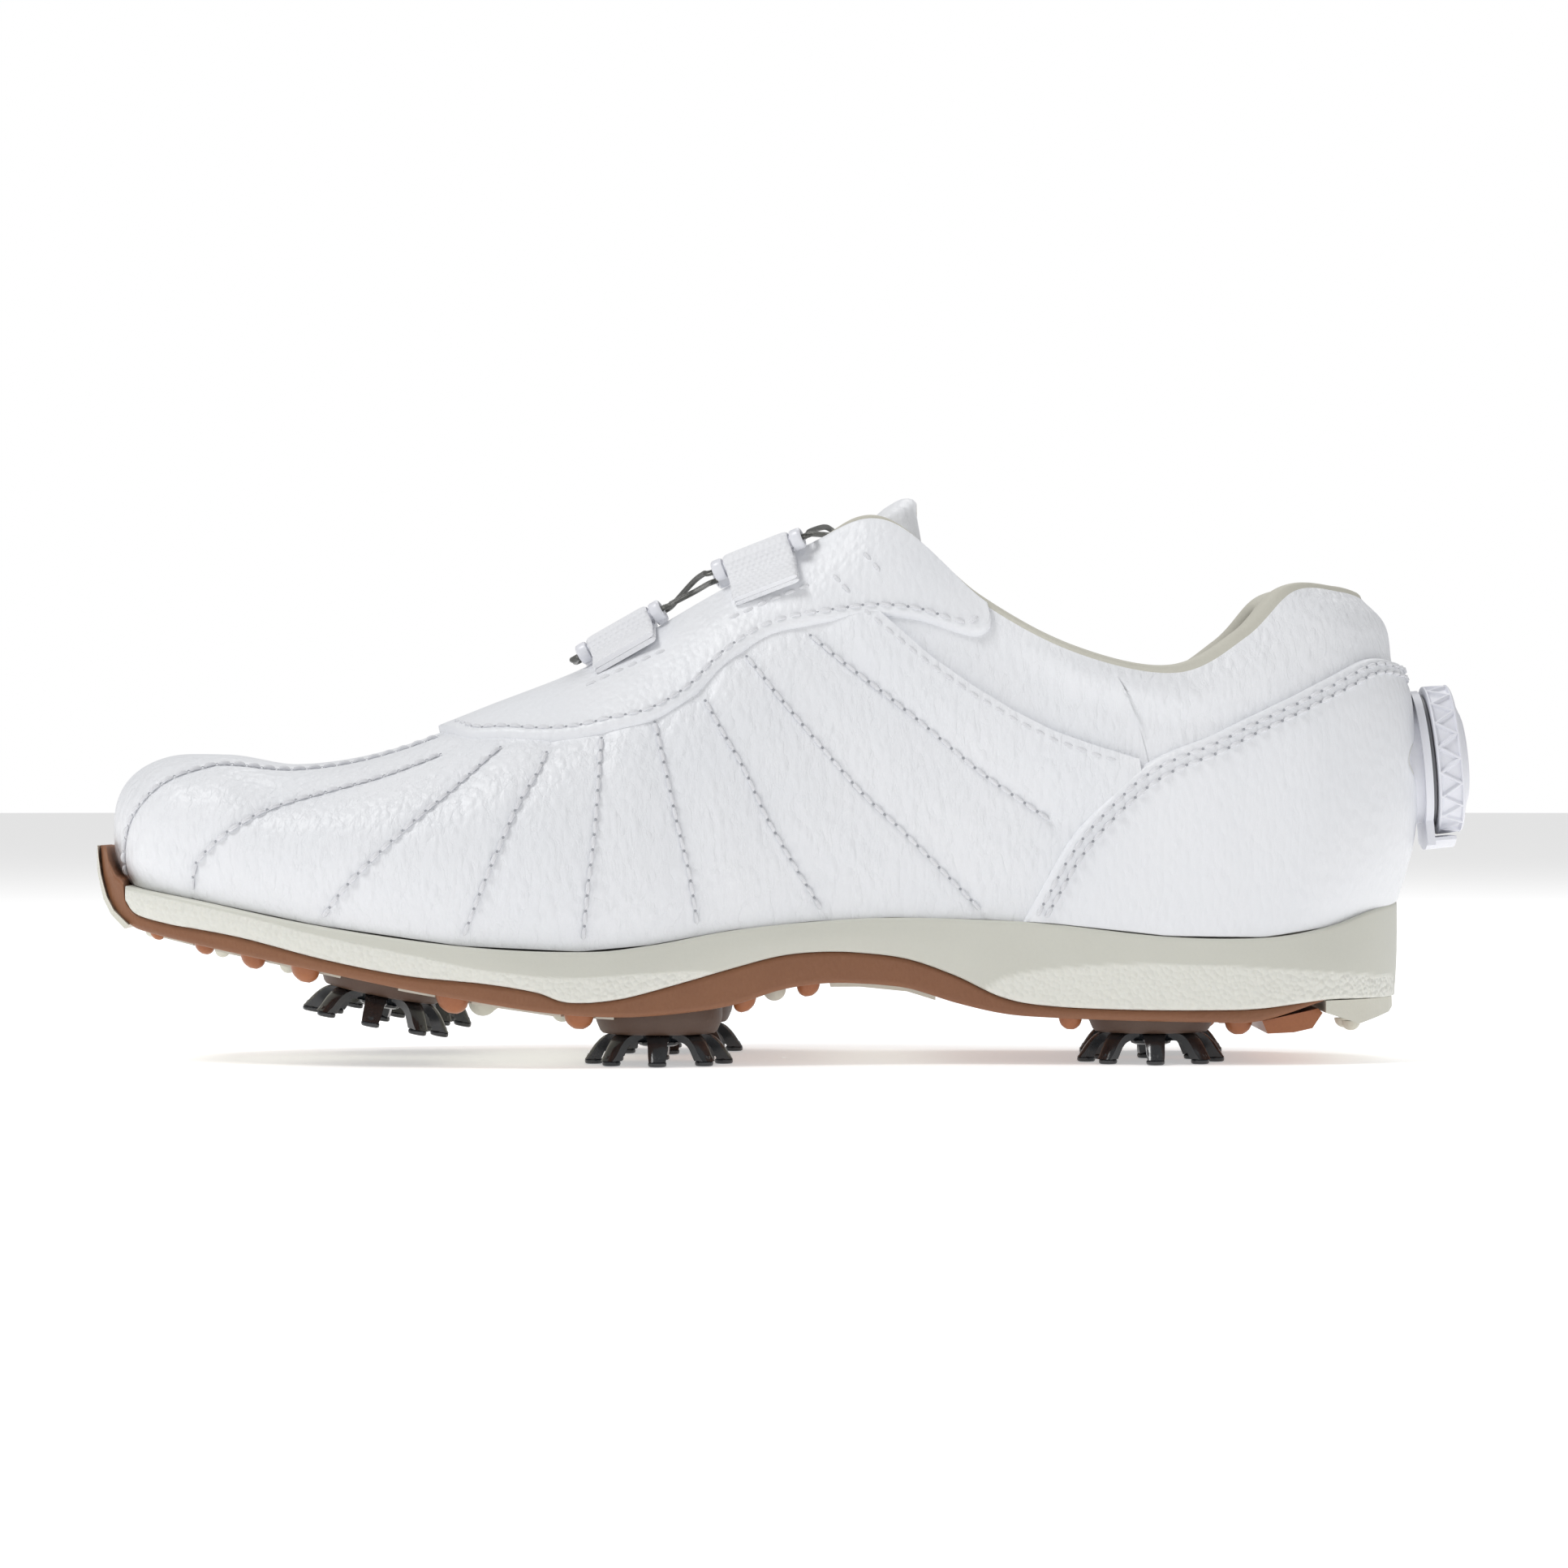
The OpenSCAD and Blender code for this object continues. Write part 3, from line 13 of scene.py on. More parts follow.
import bmesh
import bpy
import numpy as np
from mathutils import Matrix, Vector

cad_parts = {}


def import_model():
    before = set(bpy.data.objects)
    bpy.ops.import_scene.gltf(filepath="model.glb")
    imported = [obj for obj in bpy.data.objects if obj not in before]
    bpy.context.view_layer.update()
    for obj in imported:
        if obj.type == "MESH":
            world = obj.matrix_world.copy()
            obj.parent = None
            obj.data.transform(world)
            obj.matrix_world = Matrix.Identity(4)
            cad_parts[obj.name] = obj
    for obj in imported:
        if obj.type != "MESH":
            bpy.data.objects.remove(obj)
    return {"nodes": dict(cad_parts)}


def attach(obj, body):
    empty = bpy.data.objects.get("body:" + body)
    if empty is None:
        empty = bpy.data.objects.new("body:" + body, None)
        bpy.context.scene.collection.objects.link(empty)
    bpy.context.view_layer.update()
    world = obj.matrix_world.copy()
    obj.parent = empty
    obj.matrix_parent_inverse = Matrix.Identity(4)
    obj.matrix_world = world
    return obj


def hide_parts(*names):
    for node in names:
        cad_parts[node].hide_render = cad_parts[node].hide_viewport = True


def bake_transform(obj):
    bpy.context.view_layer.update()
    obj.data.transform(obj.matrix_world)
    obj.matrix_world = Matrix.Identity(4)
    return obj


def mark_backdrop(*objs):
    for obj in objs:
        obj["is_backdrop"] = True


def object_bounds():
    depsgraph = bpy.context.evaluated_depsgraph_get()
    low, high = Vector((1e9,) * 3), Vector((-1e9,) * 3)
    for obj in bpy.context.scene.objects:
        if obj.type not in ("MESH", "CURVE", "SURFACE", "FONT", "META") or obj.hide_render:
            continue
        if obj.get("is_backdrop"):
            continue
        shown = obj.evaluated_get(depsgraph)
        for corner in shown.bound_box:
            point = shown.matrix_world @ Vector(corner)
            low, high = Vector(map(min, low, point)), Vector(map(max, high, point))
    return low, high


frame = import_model()
CAD_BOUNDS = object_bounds()

logging.basicConfig(level=logging.INFO, format="%(message)s")
log = logging.getLogger("golf_shoe")

MM = 0.001
HEEL = 17.0          # station at the middle of the heel
ROUND = 2 * HEEL     # stations once round the last
OVER_IN = 0.35       # underside and face of the leather laid over the main leather
OVER_OUT = 1.55
MAIN_IN = -1.4
LINING_OUT = -2.8
LINING_T = 0.8

Array = np.ndarray


def table(*rows: tuple[float, ...]) -> Array:
    """Rows of given points as an array."""
    return np.array(rows, float)


def ramp(x: Array, lo: float, hi: float) -> Array:
    """Straight ramp from 0 at lo to 1 at hi."""
    return np.clip((np.asarray(x, float) - lo) / (hi - lo), 0, 1)


def smooth(x: Array, lo: float, hi: float) -> Array:
    """Smooth step, 3w^2 - 2w^3 of the ramp from lo to hi."""
    w = ramp(x, lo, hi)
    return w * w * (3 - 2 * w)


def catmull(p: Array, q: Array, r: Array, s: Array, u: Array) -> Array:
    """Catmull-Rom spline between q and r at share u."""
    u = u[:, None]
    return 0.5 * (2 * q + (r - p) * u + (2 * p - 5 * q + 4 * r - s) * u * u + (3 * q - p - 3 * r + s) * u**3)


def curve(points: Array, count: int, closed: bool = False) -> Array:
    """Catmull-Rom curve through points, evened out by arc length.

    Args:
        points: the curve's points, one per row.
        count: how many points to return.
        closed: whether the last point joins the first.

    Returns:
        count points along the curve.
    """
    points = np.asarray(points, float)
    n = len(points)
    if closed:
        ext = np.vstack([points[-1:], points, points[:2]])
        spans = n
    else:
        ext = np.vstack([2 * points[:1] - points[1:2], points, 2 * points[-1:] - points[-2:-1]])
        spans = n - 1
    t = np.linspace(0, spans, 24 * spans + 1)
    i = np.minimum(t.astype(int), spans - 1)
    fine = catmull(ext[i], ext[i + 1], ext[i + 2], ext[i + 3], t - i)
    run = np.concatenate([[0], np.cumsum(np.linalg.norm(np.diff(fine, axis=0), axis=1))])
    want = np.linspace(0, run[-1], count + (1 if closed else 0))[:count]
    return np.stack([np.interp(want, run, fine[:, k]) for k in range(points.shape[1])], axis=1)


@dataclass(frozen=True)
class Last:
    """The last that the upper is pulled over, as a surface of station a and share v.

    Each section runs from a foot point on the sole to a point on the ridge, the throat or the ankle line, along an
    arc of a rounded square; a goes from the toe (0) round the inner side to the heel (17) and back outside (34).
    """

    rise: float = 1.1
    feather: Array = field(default_factory=lambda: table(
        (-143, 37), (-134.6, 35.2), (-119, 32.5), (-94.4, 27.6), (-64.9, 23.5), (-41.1, 22.3), (-27.2, 23.5),
        (-10.8, 26.4), (5.6, 28.1), (22, 28.9), (41.6, 28.4), (54.7, 27.6), (77.7, 25.1), (97.3, 24.8),
        (110.4, 26.8), (120.3, 30), (128.6, 31.6)))
    foot_medial: Array = field(default_factory=lambda: table(
        (-135.6, -8), (-132.2, -20), (-126.6, -27.2), (-116, -33), (-100, -37.8), (-82, -41.6), (-60, -43.4),
        (-38, -41.4), (-14, -35.6), (8, -31), (28, -29), (48, -28.7), (68, -29.4), (88, -29.6), (105, -26.6),
        (116.6, -19.6), (123.8, -10.4), (126.4, 0)))
    foot_lateral: Array = field(default_factory=lambda: table(
        (-135.6, -8), (-132.6, 5), (-125.4, 17), (-113, 25.6), (-99, 31.4), (-81, 37.4), (-60, 41.6),
        (-38, 43.2), (-14, 41.6), (8, 38), (28, 35.2), (48, 33), (68, 31.6), (88, 30.2), (105, 26),
        (116.6, 19), (123.8, 10), (126.4, 0)))
    ridge: Array = field(default_factory=lambda: table(
        (-118, -6, 62.2), (-101, -5, 60.2), (-82, -4, 63.2), (-60, -3, 71.4)))
    top_medial: Array = field(default_factory=lambda: table(
        (-60, -3, 71.4), (-38, -9, 80.5), (-15, -12.5, 94), (5, -14, 105), (21, -16, 110.2), (41, -22.5, 93.6),
        (60, -27, 83.2), (80, -27.4, 79.4), (94, -25, 86.8), (104, -20.5, 96.2), (114.6, -11.5, 96.4),
        (120.4, 0, 95.2)))
    top_lateral: Array = field(default_factory=lambda: table(
        (-60, -3, 71.4), (-38, 4.5, 80.5), (-15, 9.5, 94), (5, 13, 105), (21, 16, 110.2), (41, 23, 93.6),
        (60, 27.6, 82.4), (80, 27.8, 78.4), (94, 25, 86.2), (104, 20.5, 96), (114.6, 11.5, 96.4),
        (120.4, 0, 95.2)))
    sections: Array = field(default_factory=lambda: table(
        (-38, 90, 2.6), (-36, 90, 2.6), (-34, 90, 2.6), (-30, 90, 2.5), (-26, 90, 2.35), (-24, 90, 2.25),
        (-20, 90, 2.1), (-18, 72, 2.1), (-16, 62, 2.1), (-14, 55, 2.1), (-14, 48, 2.1), (-16, 45, 2.1),
        (-20, 45, 2.2), (-24, 45, 2.2), (-28, 46, 2.3), (-30, 46, 2.3), (-30, 45, 2.3), (-30, 45, 2.3)))

    @staticmethod
    def station(a: Array) -> Array:
        """Station on its own side, 0 at the toe to 17 at the heel."""
        return np.where(a < 0, -a, np.where(a > HEEL, ROUND - a, a))

    def foot(self, a: Array) -> Array:
        """Foot point of each section, a Catmull-Rom loop in plan at the feather line's height."""
        loop = np.vstack([self.foot_medial, self.foot_lateral[16:0:-1]])
        a = np.where(a < 0, a + ROUND, a)
        i = np.floor(a).astype(int)
        n = len(loop)
        p = catmull(loop[(i - 1) % n], loop[i % n], loop[(i + 1) % n], loop[(i + 2) % n], a - i)
        return np.column_stack([p, np.interp(p[:, 0], self.feather[:, 0], self.feather[:, 1])])

    @staticmethod
    def _path(points: Array, before: Array, after: Array, a: Array) -> Array:
        """Catmull-Rom path through points, with the points before and after it given."""
        i = np.clip(np.floor(a).astype(int), 0, len(points) - 2)
        ext = np.vstack([[before], points, [after]])
        return catmull(ext[i], ext[i + 1], ext[i + 2], ext[i + 3], a - i)

    def top(self, a: Array) -> Array:
        """Top point of each section: the toe's crown, the ridge, then the throat and the ankle line."""
        t = self.station(a)
        outside = (a < 0) | (a > HEEL)
        out = np.empty((len(a), 3))
        out[t <= 3] = self.ridge[0]
        k = (t > 3) & (t <= 6)
        if k.any():
            out[k] = self._path(self.ridge, (-135, -7, 60.2), (-38, -2.5, 80.5), t[k] - 3)
        for side, own, other in ((False, self.top_medial, self.top_lateral), (True, self.top_lateral, self.top_medial)):
            k = (t > 6) & (outside == side)
            if k.any():
                out[k] = self._path(own, self.ridge[2], other[-2], t[k] - 6)
        return out

    def _section(self, a: Array) -> Array:
        """Start angle, end angle and squareness of each section, eased between stations."""
        t = self.station(a)
        i = np.minimum(np.floor(t).astype(int), len(self.sections) - 2)
        w = smooth(t - i, 0, 1)[:, None]
        return self.sections[i] * (1 - w) + self.sections[i + 1] * w

    def base(self, a: Array, v: Array) -> Array:
        """Point of the last.

        A rounded square of squareness n has the radius (|cos f|^n + |sin f|^n)^(-1/n) at the angle f; the section
        goes inwards and upwards by the shares that its arc has covered at f = start + v (end - start).

        Args:
            a: stations.
            v: shares of the way up.

        Returns:
            One point per row, in millimetres.
        """
        a, v = np.broadcast_arrays(np.asarray(a, float), np.asarray(v, float))
        a, v = a.ravel(), v.ravel()
        p, q, s = self.foot(a), self.top(a), self._section(a)
        n = s[:, 2]

        def arc(deg: Array) -> tuple[Array, Array]:
            """Both parts of the rounded square's arc at an angle."""
            f = np.radians(deg)
            r = (np.abs(np.cos(f)) ** n + np.abs(np.sin(f)) ** n) ** (-1 / n)
            return np.cos(f) * r, np.sin(f) * r

        x0, z0 = arc(s[:, 0])
        x1, z1 = arc(s[:, 1])
        x, z = arc(s[:, 0] + (s[:, 1] - s[:, 0]) * v)
        inward, upward = (x0 - x) / (x0 - x1), (z - z0) / (z1 - z0)
        out = q - (q - p) * np.column_stack([1 - inward, 1 - inward, 1 - upward])
        out[:, 2] += self.rise
        return out

    def normal(self, a: Array, v: Array) -> Array:
        """Outward normal: the cross product of the directions along and up the last."""
        a, v = np.broadcast_arrays(np.asarray(a, float), np.asarray(v, float))
        a, v = a.ravel(), v.ravel()
        along = self.base(a + 0.02, v) - self.base(a - 0.02, v)
        up = self.base(a, np.minimum(v + 0.01, 1)) - self.base(a, np.maximum(v - 0.01, 0))
        way = np.cross(along, up)
        way /= np.maximum(np.linalg.norm(way, axis=1, keepdims=True), 1e-9)
        way[(v >= 1) & (self.station(a) <= 6)] = (0, 0, 1)
        return way

    def at(self, a: Array, v: Array, d: Array) -> Array:
        """Point d outside the main leather's face, kept above the feather line."""
        a, v, d = np.broadcast_arrays(np.asarray(a, float), np.asarray(v, float), np.asarray(d, float))
        shape = a.shape
        a, v, d = a.ravel(), v.ravel(), d.ravel()
        out = self.base(a, v) + d[:, None] * self.normal(a, v)
        out[:, 2] = np.maximum(out[:, 2], self.foot(a)[:, 2] + self.rise + 0.1)
        return out.reshape(*shape, 3)

    def length(self, a: Array) -> Array:
        """Length of each section in millimetres, summed over chords."""
        v = np.linspace(0, 1, 25)
        p = self.base(np.repeat(a, 25), np.tile(v, len(a))).reshape(-1, 25, 3)
        return np.linalg.norm(np.diff(p, axis=1), axis=2).sum(axis=1)

    def share_at(self, a: Array, line: Array) -> Array:
        """Share at which each section crosses a line drawn from the side, by halving."""
        lo, hi = np.zeros(len(a)), np.ones(len(a))
        for _ in range(14):
            mid = (lo + hi) / 2
            p = self.base(a, mid)
            above = p[:, 2] > np.interp(p[:, 0], line[:, 0], line[:, 1] + self.rise)
            hi, lo = np.where(above, mid, hi), np.where(above, lo, mid)
        return (lo + hi) / 2

    def room(self, a: Array, v: Array) -> Array:
        """Room that the collar's padding, the lace's tubes and the reel's case push the lining inwards."""
        t = self.station(np.asarray(a, float))
        collar = 4.5 * ramp(t, 10, 11.6) * ramp(v, 0.5, 0.72)
        case = 3.4 * ramp(t, 14.1, 15.2) * (1 - ramp(v, 0.68, 0.85))
        tube = (2.6 + 0.9 * ramp(t, 12, 12.6)) * ramp(t, 9, 9.4) * ramp(v, 0.15, 0.3)
        return np.maximum(np.maximum(collar, case), tube)


LAST = Last()


# ---- Meshes ----


def grid_faces(n: int, m: int, start: int = 0, wrap: bool = False, wrap_across: bool = False) -> Array:
    """Quads of an n by m grid of points.

    Args:
        n: rows of the grid.
        m: points per row.
        start: index of the grid's first point.
        wrap: whether the last row joins the first.
        wrap_across: whether the last point of a row joins its first.

    Returns:
        Four indices per face, wound so that the normal is the cross product of row and point directions.
    """
    i = np.arange(n if wrap else n - 1)
    j = np.arange(m if wrap_across else m - 1)
    i, j = np.meshgrid(i, j, indexing="ij")
    i2, j2 = (i + 1) % n, (j + 1) % m
    return start + np.stack([i * m + j, i2 * m + j, i2 * m + j2, i * m + j2], axis=-1).reshape(-1, 4)


def piece(
    name: str, points: Array, faces: Array, finish: bpy.types.Material, sharp: float = 40, weld: float = 0,
    values: dict[str, Array] | None = None, uv: Array | None = None,
) -> bpy.types.Object:
    """A mesh object from points in millimetres.

    Args:
        name: name of the piece.
        points: one point per row, or a grid of them.
        faces: four indices per face.
        finish: its material.
        sharp: angle in degrees over which an edge is sharp.
        weld: distance in millimetres within which points are joined.
        values: float values per point, by attribute name.
        uv: two surface coordinates per point, in millimetres.

    Returns:
        The object, at the origin.
    """
    points = np.asarray(points, float).reshape(-1, 3) * MM
    mesh = bpy.data.meshes.new(name)
    mesh.vertices.add(len(points))
    mesh.vertices.foreach_set("co", points.ravel())
    faces = np.asarray(faces, np.int32)
    mesh.loops.add(faces.size)
    mesh.loops.foreach_set("vertex_index", faces.ravel())
    mesh.polygons.add(len(faces))
    mesh.polygons.foreach_set("loop_start", np.arange(0, faces.size, faces.shape[1], dtype=np.int32))
    mesh.update(calc_edges=True)
    if uv is not None:
        layer = mesh.uv_layers.new(name="surface")
        layer.data.foreach_set("uv", np.asarray(uv, float).reshape(-1, 2)[faces.ravel()].ravel())
    for key, data in (values or {}).items():
        attribute = mesh.attributes.new(key, "FLOAT", "POINT")
        attribute.data.foreach_set("value", np.broadcast_to(data, len(points)).astype(np.float32))
    if weld:
        bm = bmesh.new()
        bm.from_mesh(mesh)
        bmesh.ops.remove_doubles(bm, verts=bm.verts, dist=weld * MM)
        bm.to_mesh(mesh)
        bm.free()
    mesh.validate()
    mesh.shade_smooth()
    mesh.set_sharp_from_angle(angle=math.radians(sharp))
    mesh.materials.append(finish)
    obj = bpy.data.objects.new(name, mesh)
    bpy.context.scene.collection.objects.link(obj)
    return obj


def closed_shell(outer: Array, inner: Array, fold: Array | None = None, wrap: bool = False) -> tuple[Array, Array]:
    """Points and faces of a closed sheet between two grids.

    Args:
        outer: n by m grid of points on the outside.
        inner: the same on the inside.
        fold: for each row, whether its last point lies on a fold, where no rim is wanted.
        wrap: whether the last row joins the first.

    Returns:
        The points and the faces.
    """
    n, m = outer.shape[:2]
    back = n * m
    points = np.concatenate([outer.reshape(-1, 3), inner.reshape(-1, 3)])
    faces = [grid_faces(n, m, 0, wrap), grid_faces(n, m, back, wrap)[:, ::-1]]
    i = np.arange(n if wrap else n - 1)
    i2 = (i + 1) % n
    low = i * m
    low2 = i2 * m
    faces.append(np.stack([low, back + low, back + low2, low2], axis=1))
    top, top2 = i * m + m - 1, i2 * m + m - 1
    rim = np.stack([top, top2, back + top2, back + top], axis=1)
    if fold is not None:
        rim = rim[~(fold[i] & fold[i2])]
    faces.append(rim)
    if not wrap:
        j = np.arange(m - 1)
        faces.append(np.stack([j, j + 1, back + j + 1, back + j], axis=1))
        end = (n - 1) * m + j
        faces.append(np.stack([end + 1, end, back + end, back + end + 1], axis=1))
    return points, np.concatenate(faces)


def rolled(distance: Array, width: float) -> Array:
    """Height share of a rolled edge: sqrt(1 - (1 - x / width)^2), 0 at the edge and 1 from width on."""
    x = np.clip(distance / width, 0, 1)
    return np.sqrt(np.maximum(1 - (1 - x) ** 2, 0))


def revolved(profile: Array, count: int = 96) -> tuple[Array, Array]:
    """Surface of revolution about local Z of a closed profile given as radius and height.

    Args:
        profile: points of the profile, wound so that the surface faces outwards.
        count: points round the axis.

    Returns:
        A count by len(profile) grid of points and its faces.
    """
    f = np.linspace(0, 2 * np.pi, count, endpoint=False)
    p = np.asarray(profile, float)
    grid = np.stack([
        np.cos(f)[:, None] * p[None, :, 0], np.sin(f)[:, None] * p[None, :, 0],
        np.broadcast_to(p[None, :, 1], (count, len(p))),
    ], axis=-1)
    return grid, grid_faces(count, len(p), wrap=True, wrap_across=True)


def swept(path: Array, radius: float, sides: int = 12) -> tuple[Array, Array, Array]:
    """Round tube along a path, closed by a point at each end.

    Args:
        path: points of its centreline.
        radius: radius of the tube.
        sides: points round it.

    Returns:
        Points, faces and surface coordinates (round, along) in millimetres.
    """
    t = np.gradient(path, axis=0)
    t /= np.linalg.norm(t, axis=1, keepdims=True)
    u = np.cross(t, np.array([0.31, 0.02, 0.95]))
    u /= np.linalg.norm(u, axis=1, keepdims=True)
    w = np.cross(t, u)
    f = np.linspace(0, 2 * np.pi, sides, endpoint=False)
    ring = path[:, None, :] + radius * (np.cos(f)[None, :, None] * u[:, None] + np.sin(f)[None, :, None] * w[:, None])
    ends = np.broadcast_to(path[[0, -1]][:, None, :], (2, sides, 3))
    grid = np.concatenate([ends[:1], ring, ends[1:]])
    run = np.concatenate([[0], np.cumsum(np.linalg.norm(np.diff(path, axis=0), axis=1))])
    along = np.concatenate([[0], run, run[-1:]])
    uv = np.stack(np.broadcast_arrays(f[None, :] * radius, along[:, None]), axis=-1)
    return grid, grid_faces(len(grid), sides, wrap_across=True), uv




# ---- Finishes ----


def srgb(r: float, g: float, b: float) -> tuple[float, float, float, float]:
    """Linear colour of an sRGB triple given from 0 to 255."""
    return tuple(
        c / 12.92 if c <= 0.04045 else ((c + 0.055) / 1.055) ** 2.4 for c in (r / 255, g / 255, b / 255)
    ) + (1.0,)


class Net:
    """A node tree being wired: nodes are added by type and sockets joined by name."""

    def __init__(self, tree: bpy.types.NodeTree) -> None:
        """Wraps a node tree."""
        self.tree = tree

    def add(self, kind: str, **settings: object) -> bpy.types.Node:
        """A node of a kind, with attributes set by name and inputs by socket name.

        Args:
            kind: the node type without its ShaderNode prefix.
            settings: attributes, or inputs whose names are given as in_Name.

        Returns:
            The node.
        """
        node = self.tree.nodes.new(kind if kind.startswith("Node") else "ShaderNode" + kind)
        for key, value in settings.items():
            if key.startswith("in_"):
                self.put(node.inputs[key[3:].replace("_", " ")], value)
            else:
                setattr(node, key, value)
        return node

    def put(self, socket: bpy.types.NodeSocket, value: object) -> None:
        """Joins a socket to another one, or sets its value."""
        if isinstance(value, bpy.types.NodeSocket):
            self.tree.links.new(value, socket)
        else:
            socket.default_value = value

    def math(self, operation: str, *values: object, clamp: bool = False) -> bpy.types.NodeSocket:
        """Result of a maths node on up to three sockets or numbers."""
        node = self.add("Math", operation=operation, use_clamp=clamp)
        for socket, value in zip(node.inputs, values):
            self.put(socket, value)
        return node.outputs[0]

    def mix(self, share: object, a: object, b: object) -> bpy.types.NodeSocket:
        """Mix of two colours."""
        node = self.add("Mix", data_type="RGBA")
        self.put(node.inputs[0], share)
        self.put(node.inputs[6], a)
        self.put(node.inputs[7], b)
        return node.outputs[2]


def shader_group(name: str, inputs: dict[str, object], outputs: dict[str, str]) -> tuple[
    bpy.types.NodeTree, Net, object, object,
]:
    """An empty shader node group with named sockets.

    Args:
        name: the group's name.
        inputs: default value by input name; a tuple makes a colour and a number a float.
        outputs: socket type by output name.

    Returns:
        The group, its net, its input node and its output node.
    """
    tree = bpy.data.node_groups.new(name, "ShaderNodeTree")
    for key, value in inputs.items():
        kind = "NodeSocketColor" if isinstance(value, tuple) and len(value) == 4 else (
            "NodeSocketVector" if isinstance(value, tuple) else "NodeSocketFloat")
        tree.interface.new_socket(key, in_out="INPUT", socket_type=kind).default_value = value
    for key, kind in outputs.items():
        tree.interface.new_socket(key, in_out="OUTPUT", socket_type=kind)
    net = Net(tree)
    return tree, net, net.add("NodeGroupInput"), net.add("NodeGroupOutput")


class Effects:
    """Shader node groups that the finishes share."""

    def __init__(self) -> None:
        """Builds each group once."""
        self.grain = self._grain()
        self.tone = self._tone()
        self.satin = self._satin()

    @staticmethod
    def _grain() -> bpy.types.NodeTree:
        """Tumbled grain: cells with soft creases between them, over long fine wrinkles."""
        tree, net, i, o = shader_group(
            "tumbled_grain", {"Vector": (0.0, 0.0, 0.0), "Cells": 900.0, "Wrinkle": 0.5}, {"Height": "NodeSocketFloat"})
        bend = net.add("TexNoise", in_Scale=160.0, in_Detail=2.0)
        net.put(bend.inputs["Vector"], i.outputs["Vector"])
        shift = net.add("VectorMath", operation="MULTIPLY_ADD")
        net.put(shift.inputs[0], bend.outputs["Color"])
        shift.inputs[1].default_value = (0.0012, 0.0012, 0.0012)
        net.put(shift.inputs[2], i.outputs["Vector"])
        longer = net.add("VectorMath", operation="MULTIPLY")
        net.put(longer.inputs[0], shift.outputs[0])
        longer.inputs[1].default_value = (1.0, 1.0, 0.5)
        cells = net.add("TexVoronoi", feature="SMOOTH_F1", in_Smoothness=0.5)
        net.put(cells.inputs["Vector"], longer.outputs[0])
        net.put(cells.inputs["Scale"], i.outputs["Cells"])
        fine = net.add("TexNoise", in_Scale=2600.0, in_Detail=3.0)
        net.put(fine.inputs["Vector"], i.outputs["Vector"])
        long = net.add("TexNoise", in_Scale=1.0, in_Detail=4.0, in_Roughness=0.6)
        stretch = net.add("VectorMath", operation="MULTIPLY")
        net.put(stretch.inputs[0], shift.outputs[0])
        stretch.inputs[1].default_value = (260.0, 260.0, 90.0)
        net.put(long.inputs["Vector"], stretch.outputs[0])
        creases = net.math("POWER", net.math("ABSOLUTE", net.math("SUBTRACT", long.outputs["Fac"], 0.5)), 0.6)
        height = net.math(
            "MULTIPLY_ADD", cells.outputs["Distance"], -0.55, net.math("MULTIPLY", fine.outputs["Fac"], 0.05),
        )
        height = net.math("MULTIPLY_ADD", creases, i.outputs["Wrinkle"], height)
        net.put(o.inputs["Height"], height)
        return tree

    @staticmethod
    def _tone() -> bpy.types.NodeTree:
        """Slow change of colour over a surface, from one colour towards another."""
        tree, net, i, o = shader_group(
            "slow_tone",
            {
                "Vector": (0.0, 0.0, 0.0), "Color": (0.8, 0.8, 0.8, 1.0), "Far Color": (0.7, 0.7, 0.7, 1.0),
                "Scale": 30.0, "Dust": 0.3,
            },
            {"Color": "NodeSocketColor"},
        )
        wide = net.add("TexNoise", in_Detail=5.0, in_Roughness=0.6)
        net.put(wide.inputs["Vector"], i.outputs["Vector"])
        net.put(wide.inputs["Scale"], i.outputs["Scale"])
        specks = net.add("TexNoise", in_Scale=1900.0, in_Detail=2.0)
        net.put(specks.inputs["Vector"], i.outputs["Vector"])
        share = net.math(
            "MULTIPLY_ADD", net.math("SUBTRACT", specks.outputs["Fac"], 0.5), i.outputs["Dust"], wide.outputs["Fac"],
        )
        share = net.math("MULTIPLY_ADD", share, 2.0, -0.5, clamp=True)
        net.put(o.inputs["Color"], net.mix(share, i.outputs["Color"], i.outputs["Far Color"]))
        return tree

    @staticmethod
    def _satin() -> bpy.types.NodeTree:
        """Roughness that wanders about a middle value, with fine rubbed streaks."""
        tree, net, i, o = shader_group(
            "rubbed_roughness", {
                "Vector": (0.0, 0.0, 0.0), "Middle": 0.5, "Spread": 0.15,
            }, {"Roughness": "NodeSocketFloat"})
        wide = net.add("TexNoise", in_Scale=45.0, in_Detail=6.0, in_Roughness=0.65)
        net.put(wide.inputs["Vector"], i.outputs["Vector"])
        shift = net.math("MULTIPLY", net.math("SUBTRACT", wide.outputs["Fac"], 0.5), 2.0)
        net.put(
            o.inputs["Roughness"],
            net.math("MULTIPLY_ADD", shift, i.outputs["Spread"], i.outputs["Middle"], clamp=True),
        )
        return tree


class Relief(Enum):
    """What the small relief of a finish is."""

    LEATHER = "leather"
    PEBBLE = "pebble"
    FINE = "fine"
    WEAVE = "weave"
    KNIT = "knit"
    STRAND = "strand"


